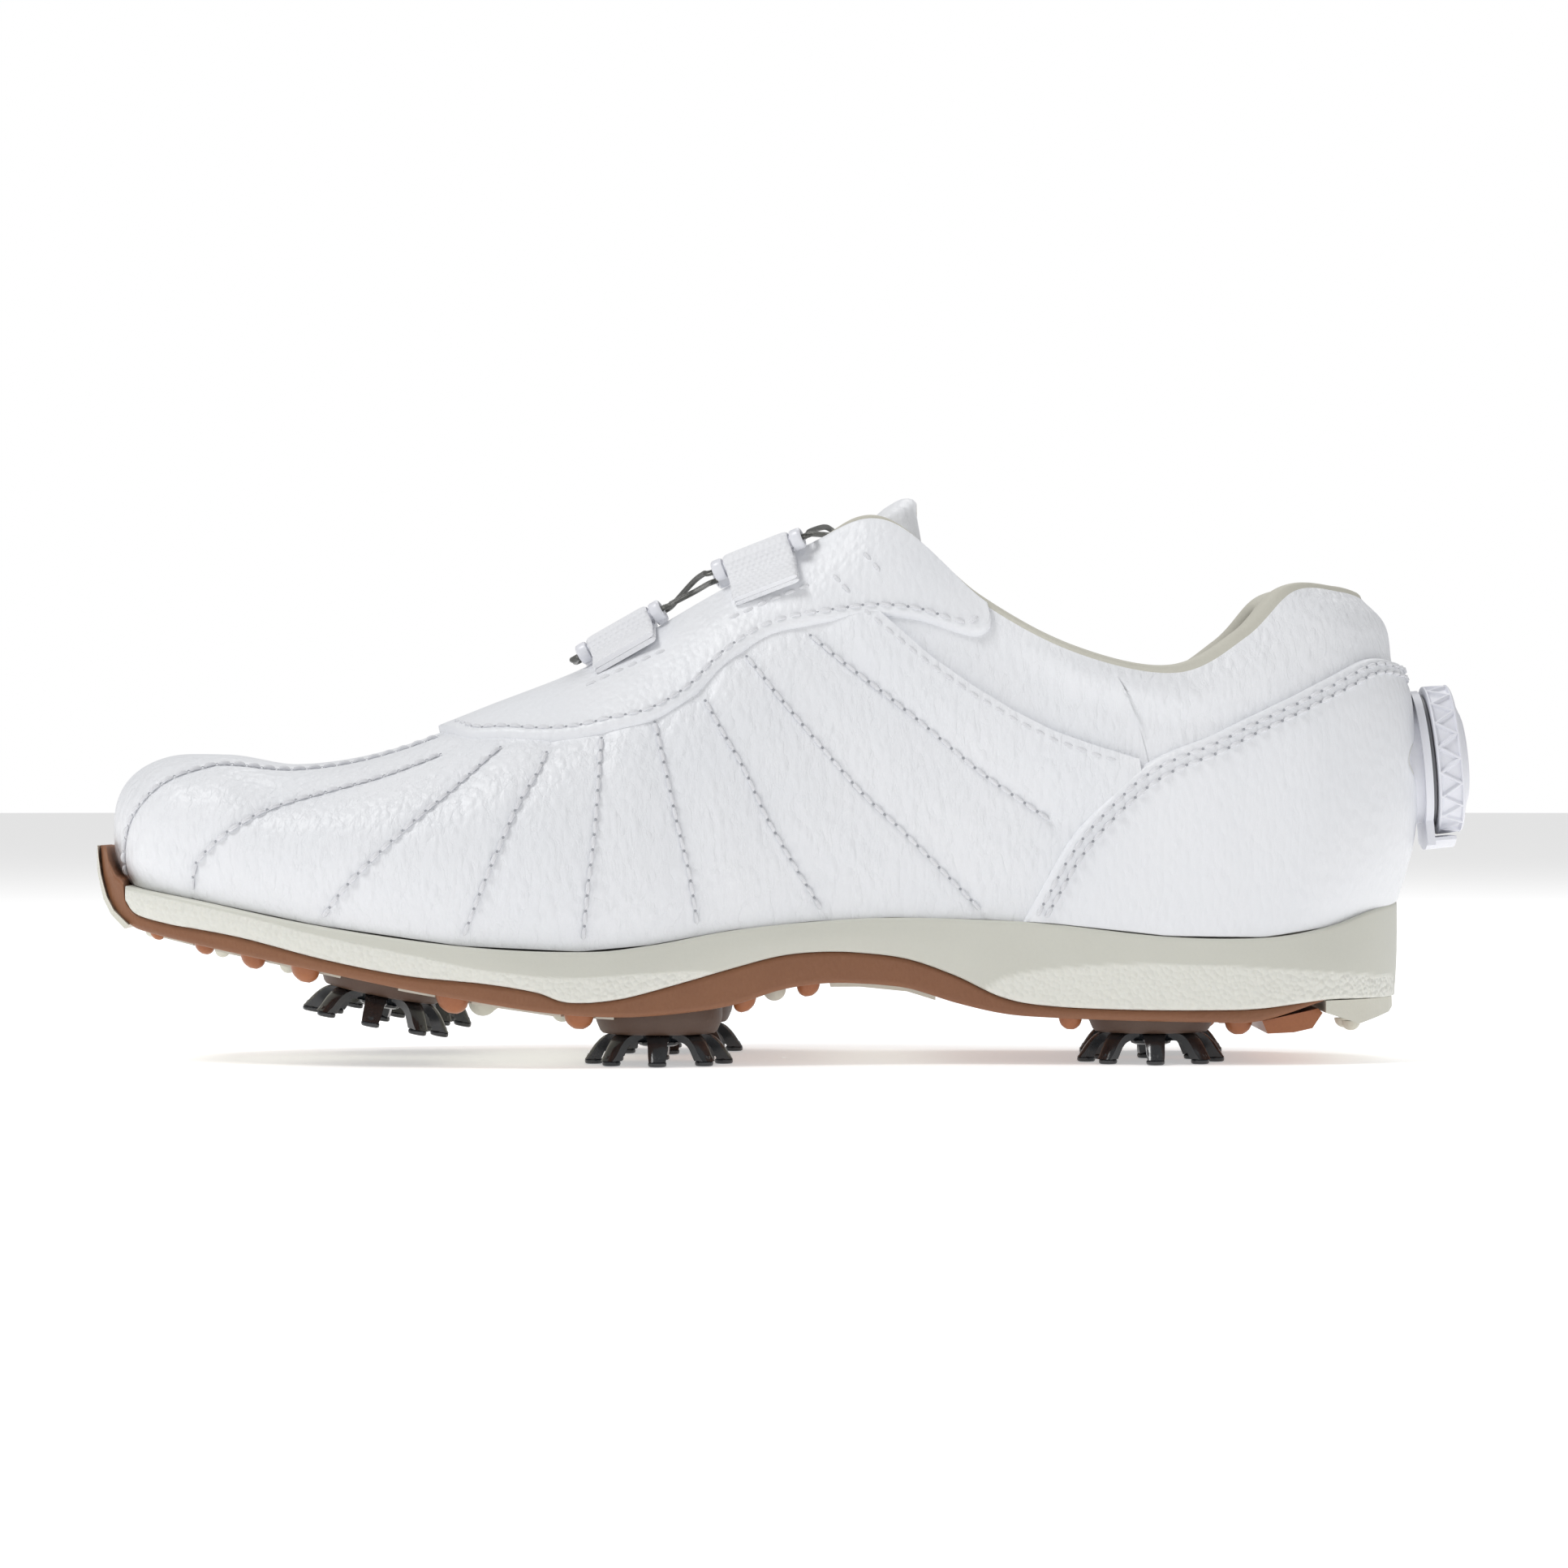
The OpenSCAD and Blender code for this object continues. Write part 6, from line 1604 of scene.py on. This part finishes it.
@dataclass
class Cleat:
    """One soft cleat: an umbrella on eight legs with arches between them."""

    legs: int = 8
    height: float = 6.2
    rim: float = 15.5
    around: int = 320
    leg_share: float = 0.17
    arch: float = 0.66

    def surface(self) -> tuple[Array, Array]:
        """The umbrella as one closed surface.

        With q the share of the way round from a leg's middle to the next leg's, and g = (|q| - 0.17) / 0.33 held
        between 0 and 1, the skirt ends at u_end = 1 - 0.66 sqrt(1 - (1 - g)^2), an arch between the legs. Each leg
        swells outwards by exp(-(q / 0.17)^4).

        Returns:
            Grid of points and its faces, closed round and across.
        """
        f = np.linspace(0, 2 * np.pi, self.around, endpoint=False)
        q = ((f * self.legs / (2 * np.pi) + 0.5) % 1) - 0.5
        gap = np.clip((np.abs(q) - self.leg_share) / (0.5 - self.leg_share), 0, 1)
        cut = np.where(gap > 0, np.sqrt(np.maximum(1 - (1 - gap) ** 2, 0)), 0)
        end = 1 - self.arch * cut
        leg = np.exp(-((q / self.leg_share) ** 4))
        outer = curve(
            table(
                (4.4, -0.08), (8.6, -0.08), (10.3, -0.1), (11.6, -0.7), (12.7, -1.9), (13.5, -3.3), (14.1, -4.5),
                (14.6, -5.2),
            ),
            40,
        )
        inner = curve(table((4.4, -1.5), (8.2, -1.5), (9.8, -1.9), (10.9, -3.0), (11.5, -4.2), (11.9, -5.2)), 40)
        u = np.linspace(0, 1, 26)
        base = 0.42
        share = base + (u[None, :] - base) * ((end - base) / (1 - base))[:, None]
        share = np.where(u[None, :] < base, u[None, :], share)
        k = np.arange(40) / 39
        ro, zo = np.interp(share, k, outer[:, 0]), np.interp(share, k, outer[:, 1])
        ri, zi = np.interp(share, k, inner[:, 0]), np.interp(share, k, inner[:, 1])
        ro = ro + 0.55 * leg[:, None] * smooth(share, 0.55, 1.0) - 0.35 * (1 - leg[:, None]) * smooth(share, 0.3, 0.6)
        grid = np.concatenate([
            np.stack([ro * np.cos(f)[:, None], ro * np.sin(f)[:, None], zo], axis=-1),
            np.stack([ri * np.cos(f)[:, None], ri * np.sin(f)[:, None], zi], axis=-1)[:, ::-1],
        ], axis=1)
        return grid, grid_faces(self.around, grid.shape[1], wrap=True, wrap_across=True)[:, ::-1]

    def feet(self) -> tuple[Array, Array]:
        """Flared feet: rounded pads with flat soles and a small step over them."""
        profile = table(
            (0.02, -6.2), (1.5, -6.2), (1.8, -6.05), (1.9, -5.7), (1.86, -5.35), (1.6, -5.15), (1.5, -4.7), (1.2, -4.1),
            (0.02, -4.0),
        )
        one, faces = revolved(profile, 28)
        angle = np.arange(self.legs) * 2 * np.pi / self.legs
        shift = 13.3 * np.stack([np.cos(angle), np.sin(angle), 0 * angle], axis=-1)
        grid = one[None] + shift[:, None, None]
        return grid, (faces[None] + (np.arange(self.legs) * one.shape[0] * one.shape[1])[:, None, None]).reshape(-1, 4)

    def hub(self) -> tuple[Array, Array]:
        """Hub under the umbrella and the stud that goes into the socket."""
        return revolved(
            table((0.02, -2.6), (3.2, -2.6), (4.0, -2.3), (4.3, -1.6), (4.3, 3.9), (3.9, 4.2), (0.02, 4.2)), 64,
        )

    def build(self, site: Site, finishes: Finishes) -> bpy.types.Object:
        """Builds the cleat of a site and ties it to its own body.

        Args:
            site: where it goes.
            finishes: the materials.

        Returns:
            The object.
        """
        name, x, y, z, tilt = site.value
        points, faces, count = [], [], 0
        for grid, quads in (self.surface(), self.feet(), self.hub()):
            points.append(turned(grid, (x, y, z), tilt).reshape(-1, 3))
            faces.append(quads + count)
            count += len(points[-1])
        obj = piece(name + "_umbrella", np.concatenate(points), np.concatenate(faces), finishes["cleat"], sharp=45)
        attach(obj, name)
        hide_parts(name)
        return obj


# ---- Reel ----


@dataclass
class Reel:
    """The reel at the heel: base plate, turning knob with a truss pattern, two-tier dome."""

    at: Array = field(default_factory=lambda: np.array([131.828, 0.0, 61.81]))
    axis: Array = field(default_factory=lambda: np.array([0.99523, 0.0, 0.09758]))
    knob_r: float = 15.5
    knob_z: float = 3.05
    knob_top: float = 8.75
    trusses: int = 18

    def place(self, grid: Array) -> Array:
        """Local points, Z along the reel's axis, in the frame."""
        e1 = np.array([self.axis[2], 0.0, -self.axis[0]])
        e2 = np.array([0.0, 1.0, 0.0])
        return self.at + grid[..., :1] * e1 + grid[..., 1:2] * e2 + grid[..., 2:] * self.axis

    def grip(self, finishes: Finishes) -> bpy.types.Object:
        """Knob's rim: crossed ribs r = r0 + 0.5 max(rib(f + z), rib(f - z)) between two plain bands."""
        f = np.linspace(0, 2 * np.pi, 900, endpoint=False)[:, None]
        z0, z1 = self.knob_z, self.knob_top
        u = np.linspace(0, 1, 40)[None, :]
        phase = f * self.trusses / (2 * np.pi)
        span = np.clip((u - 0.12) / 0.72, 0, 1)

        def rib(p: Array) -> Array:
            """Rib height of a phase, 1 on a line and 0 beside it."""
            return np.exp(-(((((p + 0.5) % 1) - 0.5) / 0.085) ** 4))

        rib_h = np.maximum(rib(phase + span * 0.5), rib(phase - span * 0.5))
        band = np.maximum(1 - smooth(u, 0.08, 0.14), smooth(u, 0.82, 0.88))
        relief = np.maximum(rib_h, band)
        shoulder = np.sqrt(np.maximum(1 - np.clip((u - 0.86) / 0.14, 0, 1) ** 2, 0.0))
        r = self.knob_r - 0.75 * (1 - relief) - 1.5 * (1 - shoulder) - 0.4 * (1 - rolled(u, 0.06))
        z = z0 + (z1 - 0.1 - z0) * u + 0 * r
        side = np.stack([r * np.cos(f), r * np.sin(f), z], axis=-1)
        top = table((13.4, z1), (12.2, z1 + 0.02), (11.9, z1 - 0.1), (11.9, z1 - 0.95))
        inner = table((14.32, z1 - 0.95), (14.32, z0))
        rest = np.vstack([top, inner])
        lid = np.stack([rest[None, :, 0] * np.cos(f), rest[None, :, 0] * np.sin(f), rest[None, :, 1] + 0 * f], axis=-1)
        grid = np.concatenate([side, lid], axis=1)
        faces = grid_faces(len(grid), grid.shape[1], wrap=True, wrap_across=True)
        obj = piece("knob_truss_grip", self.place(grid), faces, finishes["plastic_white"], sharp=35)
        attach(obj, "knob")
        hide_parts("knob_grip")
        return obj

    def cap(self, finishes: Finishes) -> bpy.types.Object:
        """Two-tier dome over the knob, with a shallow ring groove between the tiers."""
        profile = np.vstack([
            table((0.02, 7.78), (11.85, 7.78), (11.85, 8.85)),
            curve(table((11.6, 9.1), (10.9, 9.55), (9.9, 9.8)), 8),
            table((9.75, 9.72), (9.65, 9.8)),
            curve(table((9.5, 10.1), (8.6, 10.35), (6.2, 10.5), (3.2, 10.58), (0.02, 10.6)), 14),
        ])
        grid, faces = revolved(profile, 144)
        obj = piece("knob_dome", self.place(grid), faces, finishes["plastic_white"], sharp=35)
        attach(obj, "knob")
        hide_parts("knob_cap")
        return obj

    def plate(self, upper: Upper, finishes: Finishes) -> bpy.types.Object:
        """Base plate that fills the opening in the heel's leather, following the heel's own curve."""
        f = np.linspace(0, 2 * np.pi, 200, endpoint=False)
        rim = upper.hole_rim(f, self.at)
        share = np.linspace(0.03, 1.07, 26)
        centre = np.array([HEEL, 0.42])
        ga = centre[0] + (rim[:, None, 0] - centre[0]) * share[None, :]
        gv = np.clip(centre[1] + (rim[:, None, 1] - centre[1]) * share[None, :], 0.02, 0.98)
        wave = 0.12 * np.cos(f * 9)[:, None] * smooth(share, 0.6, 0.95)[None, :]
        outer, inner = LAST.at(ga, gv, 1.0 + wave), LAST.at(ga, gv, 0.2 + 0 * wave)
        points, faces = closed_shell(outer, inner, wrap=True)
        obj = piece("reel_base_plate", points, faces[:, ::-1], finishes["plastic_white"], sharp=40)
        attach(obj, "shoe")
        return obj

    def build(self, upper: Upper, finishes: Finishes) -> list[bpy.types.Object]:
        """Builds the reel's visible pieces.

        Args:
            upper: the upper, for the opening in its leather.
            finishes: the materials.

        Returns:
            The pieces.
        """
        return [self.grip(finishes), self.cap(finishes), self.plate(upper, finishes)]


# ---- Lacing ----


ROUTE_MEDIAL = table(
    (126.4, -13, 61.3), (123.6, -14.9, 61), (120.8, -16.8, 60.6), (117, -19.1, 59.7), (112.7, -21.3, 59),
    (108.4, -23.1, 58.4), (99.6, -24.8, 58), (89.3, -25.7, 58.8), (79, -25.7, 61.2), (67.7, -25.7, 65.3),
    (57.1, -25.1, 70.4), (46, -23.7, 77.3), (37, -22, 86.2), (27.8, -19.3, 96.4), (21.7, -17.1, 101.9),
    (17.2, -15.5, 104.4), (12.1, -14.1, 105.8), (10.8, -12.4, 107.8), (10.3, -11.2, 109.2))
ROUTE_LATERAL = table(
    (126.4, 13, 61.3), (123.6, 14.9, 61), (120.8, 16.8, 60.6), (117, 18.1, 59.5), (112.7, 20.3, 58.7),
    (108.2, 22.4, 58.1), (99.2, 24.7, 57.5), (88.9, 26.4, 58.1), (78.6, 27.1, 60.4), (67.3, 27.9, 64.5),
    (56.7, 28, 69.8), (45.6, 27.1, 76.9), (36.5, 25.5, 85.7), (27.5, 22.3, 95.9), (21.6, 19.5, 101.4),
    (17.3, 17.2, 103.9), (12.4, 14.8, 105.4), (11.1, 12.2, 107.5), (10.3, 11.2, 109.2))
ROUTE_THROAT = table(
    (9.8, -8.5, 110), (8.4, 0, 111), (5.6, 10.8, 110.7), (5, 14.2, 110.2), (4.4, 15.7, 109.7), (3.6, 16.1, 109.3),
    (1.9, 15.7, 108.5), (-13.1, 12.3, 100.9), (-14.8, 11.9, 100.1), (-15.7, 11, 99.7), (-16.2, 9.6, 99.4),
    (-18.9, -1.5, 97.3), (-23, -9.8, 94.8), (-23.4, -11.8, 94.4), (-23.9, -12.9, 94), (-24.7, -13.3, 93.7),
    (-26.4, -13, 92.8), (-41.2, -10.3, 84.5), (-42.9, -10, 83.5), (-43.7, -9.1, 83.1), (-44, -7.1, 83),
    (-43.2, -1.8, 83.3), (-43.9, 3.4, 82.9), (-43.6, 5.3, 82.9), (-42.9, 6.1, 83.3), (-41.2, 6.4, 84.3),
    (-26.5, 8.7, 93), (-24.8, 9, 94), (-24, 8.5, 94.5), (-23.4, 6.8, 95), (-19, -2, 99.4), (-16.7, -11.1, 100.7),
    (-16.2, -13.1, 100.7), (-15.7, -13.9, 100.7), (-14.9, -14.1, 100.9), (-13.1, -14.5, 101.5), (2.6, -17.9, 107.6),
    (4.5, -18.3, 108.3), (5.3, -17.7, 108.6), (5.7, -15.7, 108.8), (8.4, 0, 109.4), (9.9, 8.4, 109.6))


@dataclass
class Lacing:
    """Webbing loops, their guides, the lace and its tubes."""

    strap_w: float = 14.4
    strap_t: float = 1.1
    lace_r: float = 0.6
    tube_r: float = 0.95

    @staticmethod
    def seat(a: float) -> tuple[Array, Array]:
        """Origin and axes of a loop's seat: X along the throat's edge, Y across it, Z out of the leather."""
        one, v = np.array([a]), np.array([0.985])
        d = np.array([OVER_OUT + 0.3])
        p = LAST.at(one, v, d)[0]
        up = p - LAST.at(one, v - 0.02, d)[0]
        along = LAST.at(one + 0.05, v, d)[0] - LAST.at(one - 0.05, v, d)[0]
        z = np.cross(along, up)
        z /= np.linalg.norm(z)
        y = up / np.linalg.norm(up)
        return p, np.stack([np.cross(y, z), y, z])

    def loop(self, name: str, a: float, finishes: Finishes) -> bpy.types.Object:
        """One webbing loop: a ribbon sewn down double and turned round the guide.

        Args:
            name: node that it stands in for.
            a: station of its middle.
            finishes: the materials.

        Returns:
            The object.
        """
        f = np.radians(np.linspace(118, -112, 26))
        bend = np.column_stack([1 + 1.9 * np.cos(f), 2.5 + 1.9 * np.sin(f)])
        path = np.vstack(
            [table((-9, 1.7), (-6, 1.72), (-3, 1.85), (-1.2, 2.9)), bend, table((-1.2, 0.58), (-5, 0.56), (-9, 0.55))]
        )
        path = curve(path, 110)
        t = np.gradient(path, axis=0)
        t /= np.linalg.norm(t, axis=1, keepdims=True)
        n = np.column_stack([-t[:, 1], t[:, 0]])
        x = np.linspace(-1, 1, 33)
        edge = np.sqrt(np.maximum(1 - np.abs(x) ** 14, 0.04)) * self.strap_t / 2
        outer = path[:, None] + n[:, None] * edge[None, :, None]
        inner = path[:, None] - n[:, None] * edge[None, :, None]
        origin, axes = self.seat(a)

        def world(yz: Array) -> Array:
            """Local section points spread over the ribbon's width."""
            wide = (x * self.strap_w / 2)[None, :, None] * axes[0]
            return origin + wide + yz[..., :1] * axes[1] + yz[..., 1:] * axes[2]

        points, faces = closed_shell(world(outer), world(inner))
        run = np.concatenate([[0], np.cumsum(np.linalg.norm(np.diff(path, axis=0), axis=1))])
        uv = np.stack(np.broadcast_arrays((x * self.strap_w / 2)[None, :], run[:, None]), axis=-1).reshape(-1, 2)
        obj = piece(name + "_webbing", points, faces, finishes["webbing"], sharp=60, uv=np.concatenate([uv, uv]))
        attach(obj, "shoe")
        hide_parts(name)
        return obj

    def guide(self, name: str, a: float, finishes: Finishes) -> bpy.types.Object:
        """One guide: a tube through the loop with flared, rounded ends.

        Args:
            name: node that it stands in for.
            a: station of its middle.
            finishes: the materials.

        Returns:
            The object.
        """
        half = self.strap_w / 2
        mouth = table((0.74, half + 1.5), (0.95, half + 2.3), (1.35, half + 2.75), (1.8, half + 2.8),
                      (2.12, half + 2.55), (2.2, half + 2.1),
                      (2.2, half + 0.9), (2.05, half + 0.5), (1.6, half + 0.35), (1.3, half + 0.3))
        profile = np.vstack([mouth, (mouth * (1, -1))[::-1]])[::-1]
        grid, faces = revolved(profile, 40)
        origin, axes = self.seat(a)
        points = origin + grid[..., 2:] * axes[0] + (grid[..., :1] + 1) * axes[1] + (grid[..., 1:2] + 2.5) * axes[2]
        obj = piece(name + "_sleeve", points, faces, finishes["guide"], sharp=50)
        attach(obj, "shoe")
        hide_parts(name)
        return obj

    def lace(self, finishes: Finishes) -> bpy.types.Object:
        """The lace, from the reel through the tubes and the guides and back."""
        path = curve(np.vstack([ROUTE_MEDIAL, ROUTE_THROAT, ROUTE_LATERAL[::-1]]), 1500)
        grid, faces, uv = swept(path, self.lace_r, 12)
        obj = piece("lace_strand", grid, faces[:, ::-1], finishes["lace"], sharp=180, uv=uv)
        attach(obj, "shoe")
        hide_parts("lace")
        return obj

    def tube(self, name: str, route: Array, finishes: Finishes) -> bpy.types.Object:
        """One tube of the lace, open at both ends.

        Args:
            name: node that it stands in for.
            route: its centreline.
            finishes: the materials.

        Returns:
            The object.
        """
        path = curve(route, 260)
        outer = swept(path, self.tube_r, 16)[0][1:-1]
        inner = swept(path, self.lace_r + 0.12, 16)[0][1:-1]
        n, m = outer.shape[:2]
        grid = np.concatenate([outer, inner[::-1]])
        faces = grid_faces(2 * n, m, wrap=True, wrap_across=True)
        obj = piece(name + "_sleeve", grid, faces[:, ::-1], finishes["tube"], sharp=60)
        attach(obj, "shoe")
        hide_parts(name)
        return obj

    def build(self, finishes: Finishes) -> list[bpy.types.Object]:
        """Builds the lacing.

        Args:
            finishes: the materials.

        Returns:
            The pieces.
        """
        made = []
        for level, a in (("lower", 7.28), ("upper", 8.55)):
            for side, s in (("medial", 1), ("lateral", -1)):
                made.append(self.loop(f"loop_{level}_{side}", s * a, finishes))
                made.append(self.guide(f"guide_{level}_{side}", s * a, finishes))
        made.append(self.lace(finishes))
        made.append(self.tube("lace_tube_medial", ROUTE_MEDIAL[:-1], finishes))
        made.append(self.tube("lace_tube_lateral", ROUTE_LATERAL[:-1], finishes))
        return made


# ---- CAD pieces that stay ----


@dataclass
class Inside:
    """Finishes for the pieces whose CAD shape stays."""

    finishes_by_node: dict[str, str] = field(default_factory=lambda: {
        "collar_padding": "foam", "toe_puff": "board", "heel_stiffener": "board", "insole_board": "board",
        "shank": "steel",
        "cleat_sockets": "socket", "toe_guard_skin": "pale_rubber", "heel_block": "pale_rubber",
        "outsole_inlay": "pale_rubber",
        "arch_plate": "pale_rubber", "white_nubs": "pale_rubber", "heel_lug": "nub", "reel_case": "plastic_white",
        "reel_spool": "plastic_dark", "reel_ring": "plastic_grey", "reel_screw": "steel", "knob_core": "plastic_white",
        "knob_pawls": "steel"})

    def dress(self, finishes: Finishes) -> int:
        """Puts a finish on each piece that stays.

        Args:
            finishes: the materials.

        Returns:
            How many pieces were dressed.
        """
        for node, name in self.finishes_by_node.items():
            mesh = frame["nodes"][node].data
            mesh.materials.clear()
            mesh.materials.append(finishes[name])
        return len(self.finishes_by_node)


# ---- Studio ----


@dataclass
class Studio:
    """Pale floor, soft light and the camera."""

    distance: float = 1.05
    height: float = 0.0572
    lens: float = 115.1

    def lamp(self, name: str, place: tuple[float, float, float], size: float, power: float) -> bpy.types.Object:
        """A soft square lamp aimed at the shoe.

        Args:
            name: its name.
            place: its position in metres.
            size: its width in metres.
            power: its power in watts.

        Returns:
            The lamp.
        """
        data = bpy.data.lights.new(name, "AREA")
        data.shape, data.size, data.energy = "SQUARE", size, power
        obj = bpy.data.objects.new(name, data)
        bpy.context.scene.collection.objects.link(obj)
        way = np.array(place) - np.array([0, 0, 0.05])
        obj.location = place
        obj.rotation_euler = (math.acos(way[2] / np.linalg.norm(way)), 0, math.atan2(way[1], way[0]) + math.pi / 2)
        return obj

    def build(self, finishes: Finishes) -> None:
        """Builds the floor, the lamps, the world and the camera."""
        f = np.linspace(0, 2 * np.pi, 96, endpoint=False)
        r = np.array([0.5, 300, 1200, 4000, 9000.0])
        grid = np.stack([np.cos(f)[:, None] * r, np.sin(f)[:, None] * r, 0 * f[:, None] * r - 0.05], axis=-1)
        floor = piece("studio_floor", grid, grid_faces(96, 5, wrap=True)[:, ::-1], finishes["floor"])
        world = bpy.data.worlds.new("studio_world")
        world.use_nodes = True
        back = world.node_tree.nodes["Background"]
        back.inputs["Color"].default_value = (1.0, 1.0, 1.0, 1.0)
        back.inputs["Strength"].default_value = 0.36
        tree = world.node_tree
        plain = tree.nodes.new("ShaderNodeBackground")
        path = tree.nodes.new("ShaderNodeLightPath")
        mix = tree.nodes.new("ShaderNodeMixShader")
        tree.links.new(path.outputs["Is Camera Ray"], mix.inputs[0])
        tree.links.new(back.outputs[0], mix.inputs[1])
        tree.links.new(plain.outputs[0], mix.inputs[2])
        tree.links.new(mix.outputs[0], tree.nodes["World Output"].inputs["Surface"])
        plain.inputs["Color"].default_value = (1.0, 1.0, 1.0, 1.0)
        bpy.context.scene.world = world
        bpy.context.scene.view_settings.view_transform = "Standard"
        lamps = [
            self.lamp("key_lamp", (-0.9, -0.45, 1.5), 0.5, 12),
            self.lamp("fill_lamp", (1.0, -0.9, 0.8), 0.8, 1.5),
            self.lamp("back_lamp", (0.3, 0.9, 1.4), 0.9, 7),
        ]
        camera = bpy.data.cameras.new("main_camera")
        camera.lens, camera.sensor_width = self.lens, 36
        camera.clip_start = 0.01
        obj = bpy.data.objects.new("main_camera", camera)
        obj.location = (0, -self.distance, self.height)
        obj.rotation_euler = (math.pi / 2, 0, 0)
        bpy.context.scene.collection.objects.link(obj)
        bpy.context.scene.camera = obj
        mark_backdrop(floor, *lamps)


def write_sizes() -> None:
    """Works out the box of the CAD object and of the finished shoe as plain lists, which are neither kept nor written.
    """
    def plain(box: object) -> list:
        """Nested lists of floats."""
        return [[float(c) for c in corner] for corner in box]

    {"cad": plain(CAD_BOUNDS), "visual": plain(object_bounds())}


def main() -> None:
    """Builds the shoe, piece by piece, and the studio round it."""
    finishes = Finishes()
    reel = Reel()
    upper = Upper()
    for name, made in (
        ("upper", lambda: upper.build(reel.at, finishes)),
        ("stitching", lambda: Stitching().build(finishes)),
        ("tongue", lambda: Tongue().build(finishes)),
        ("sole", lambda: Sole().build(finishes)),
        ("cleats", lambda: [Cleat().build(site, finishes) for site in Site]),
        ("reel", lambda: reel.build(upper, finishes)),
        ("lacing", lambda: Lacing().build(finishes)),
    ):
        for obj in made():
            log.info("%s: %s, %d faces", name, obj.name, len(obj.data.polygons))
    log.info("dressed %d CAD pieces", Inside().dress(finishes))
    Studio().build(finishes)
    write_sizes()


if __name__ == "__main__":
    main()
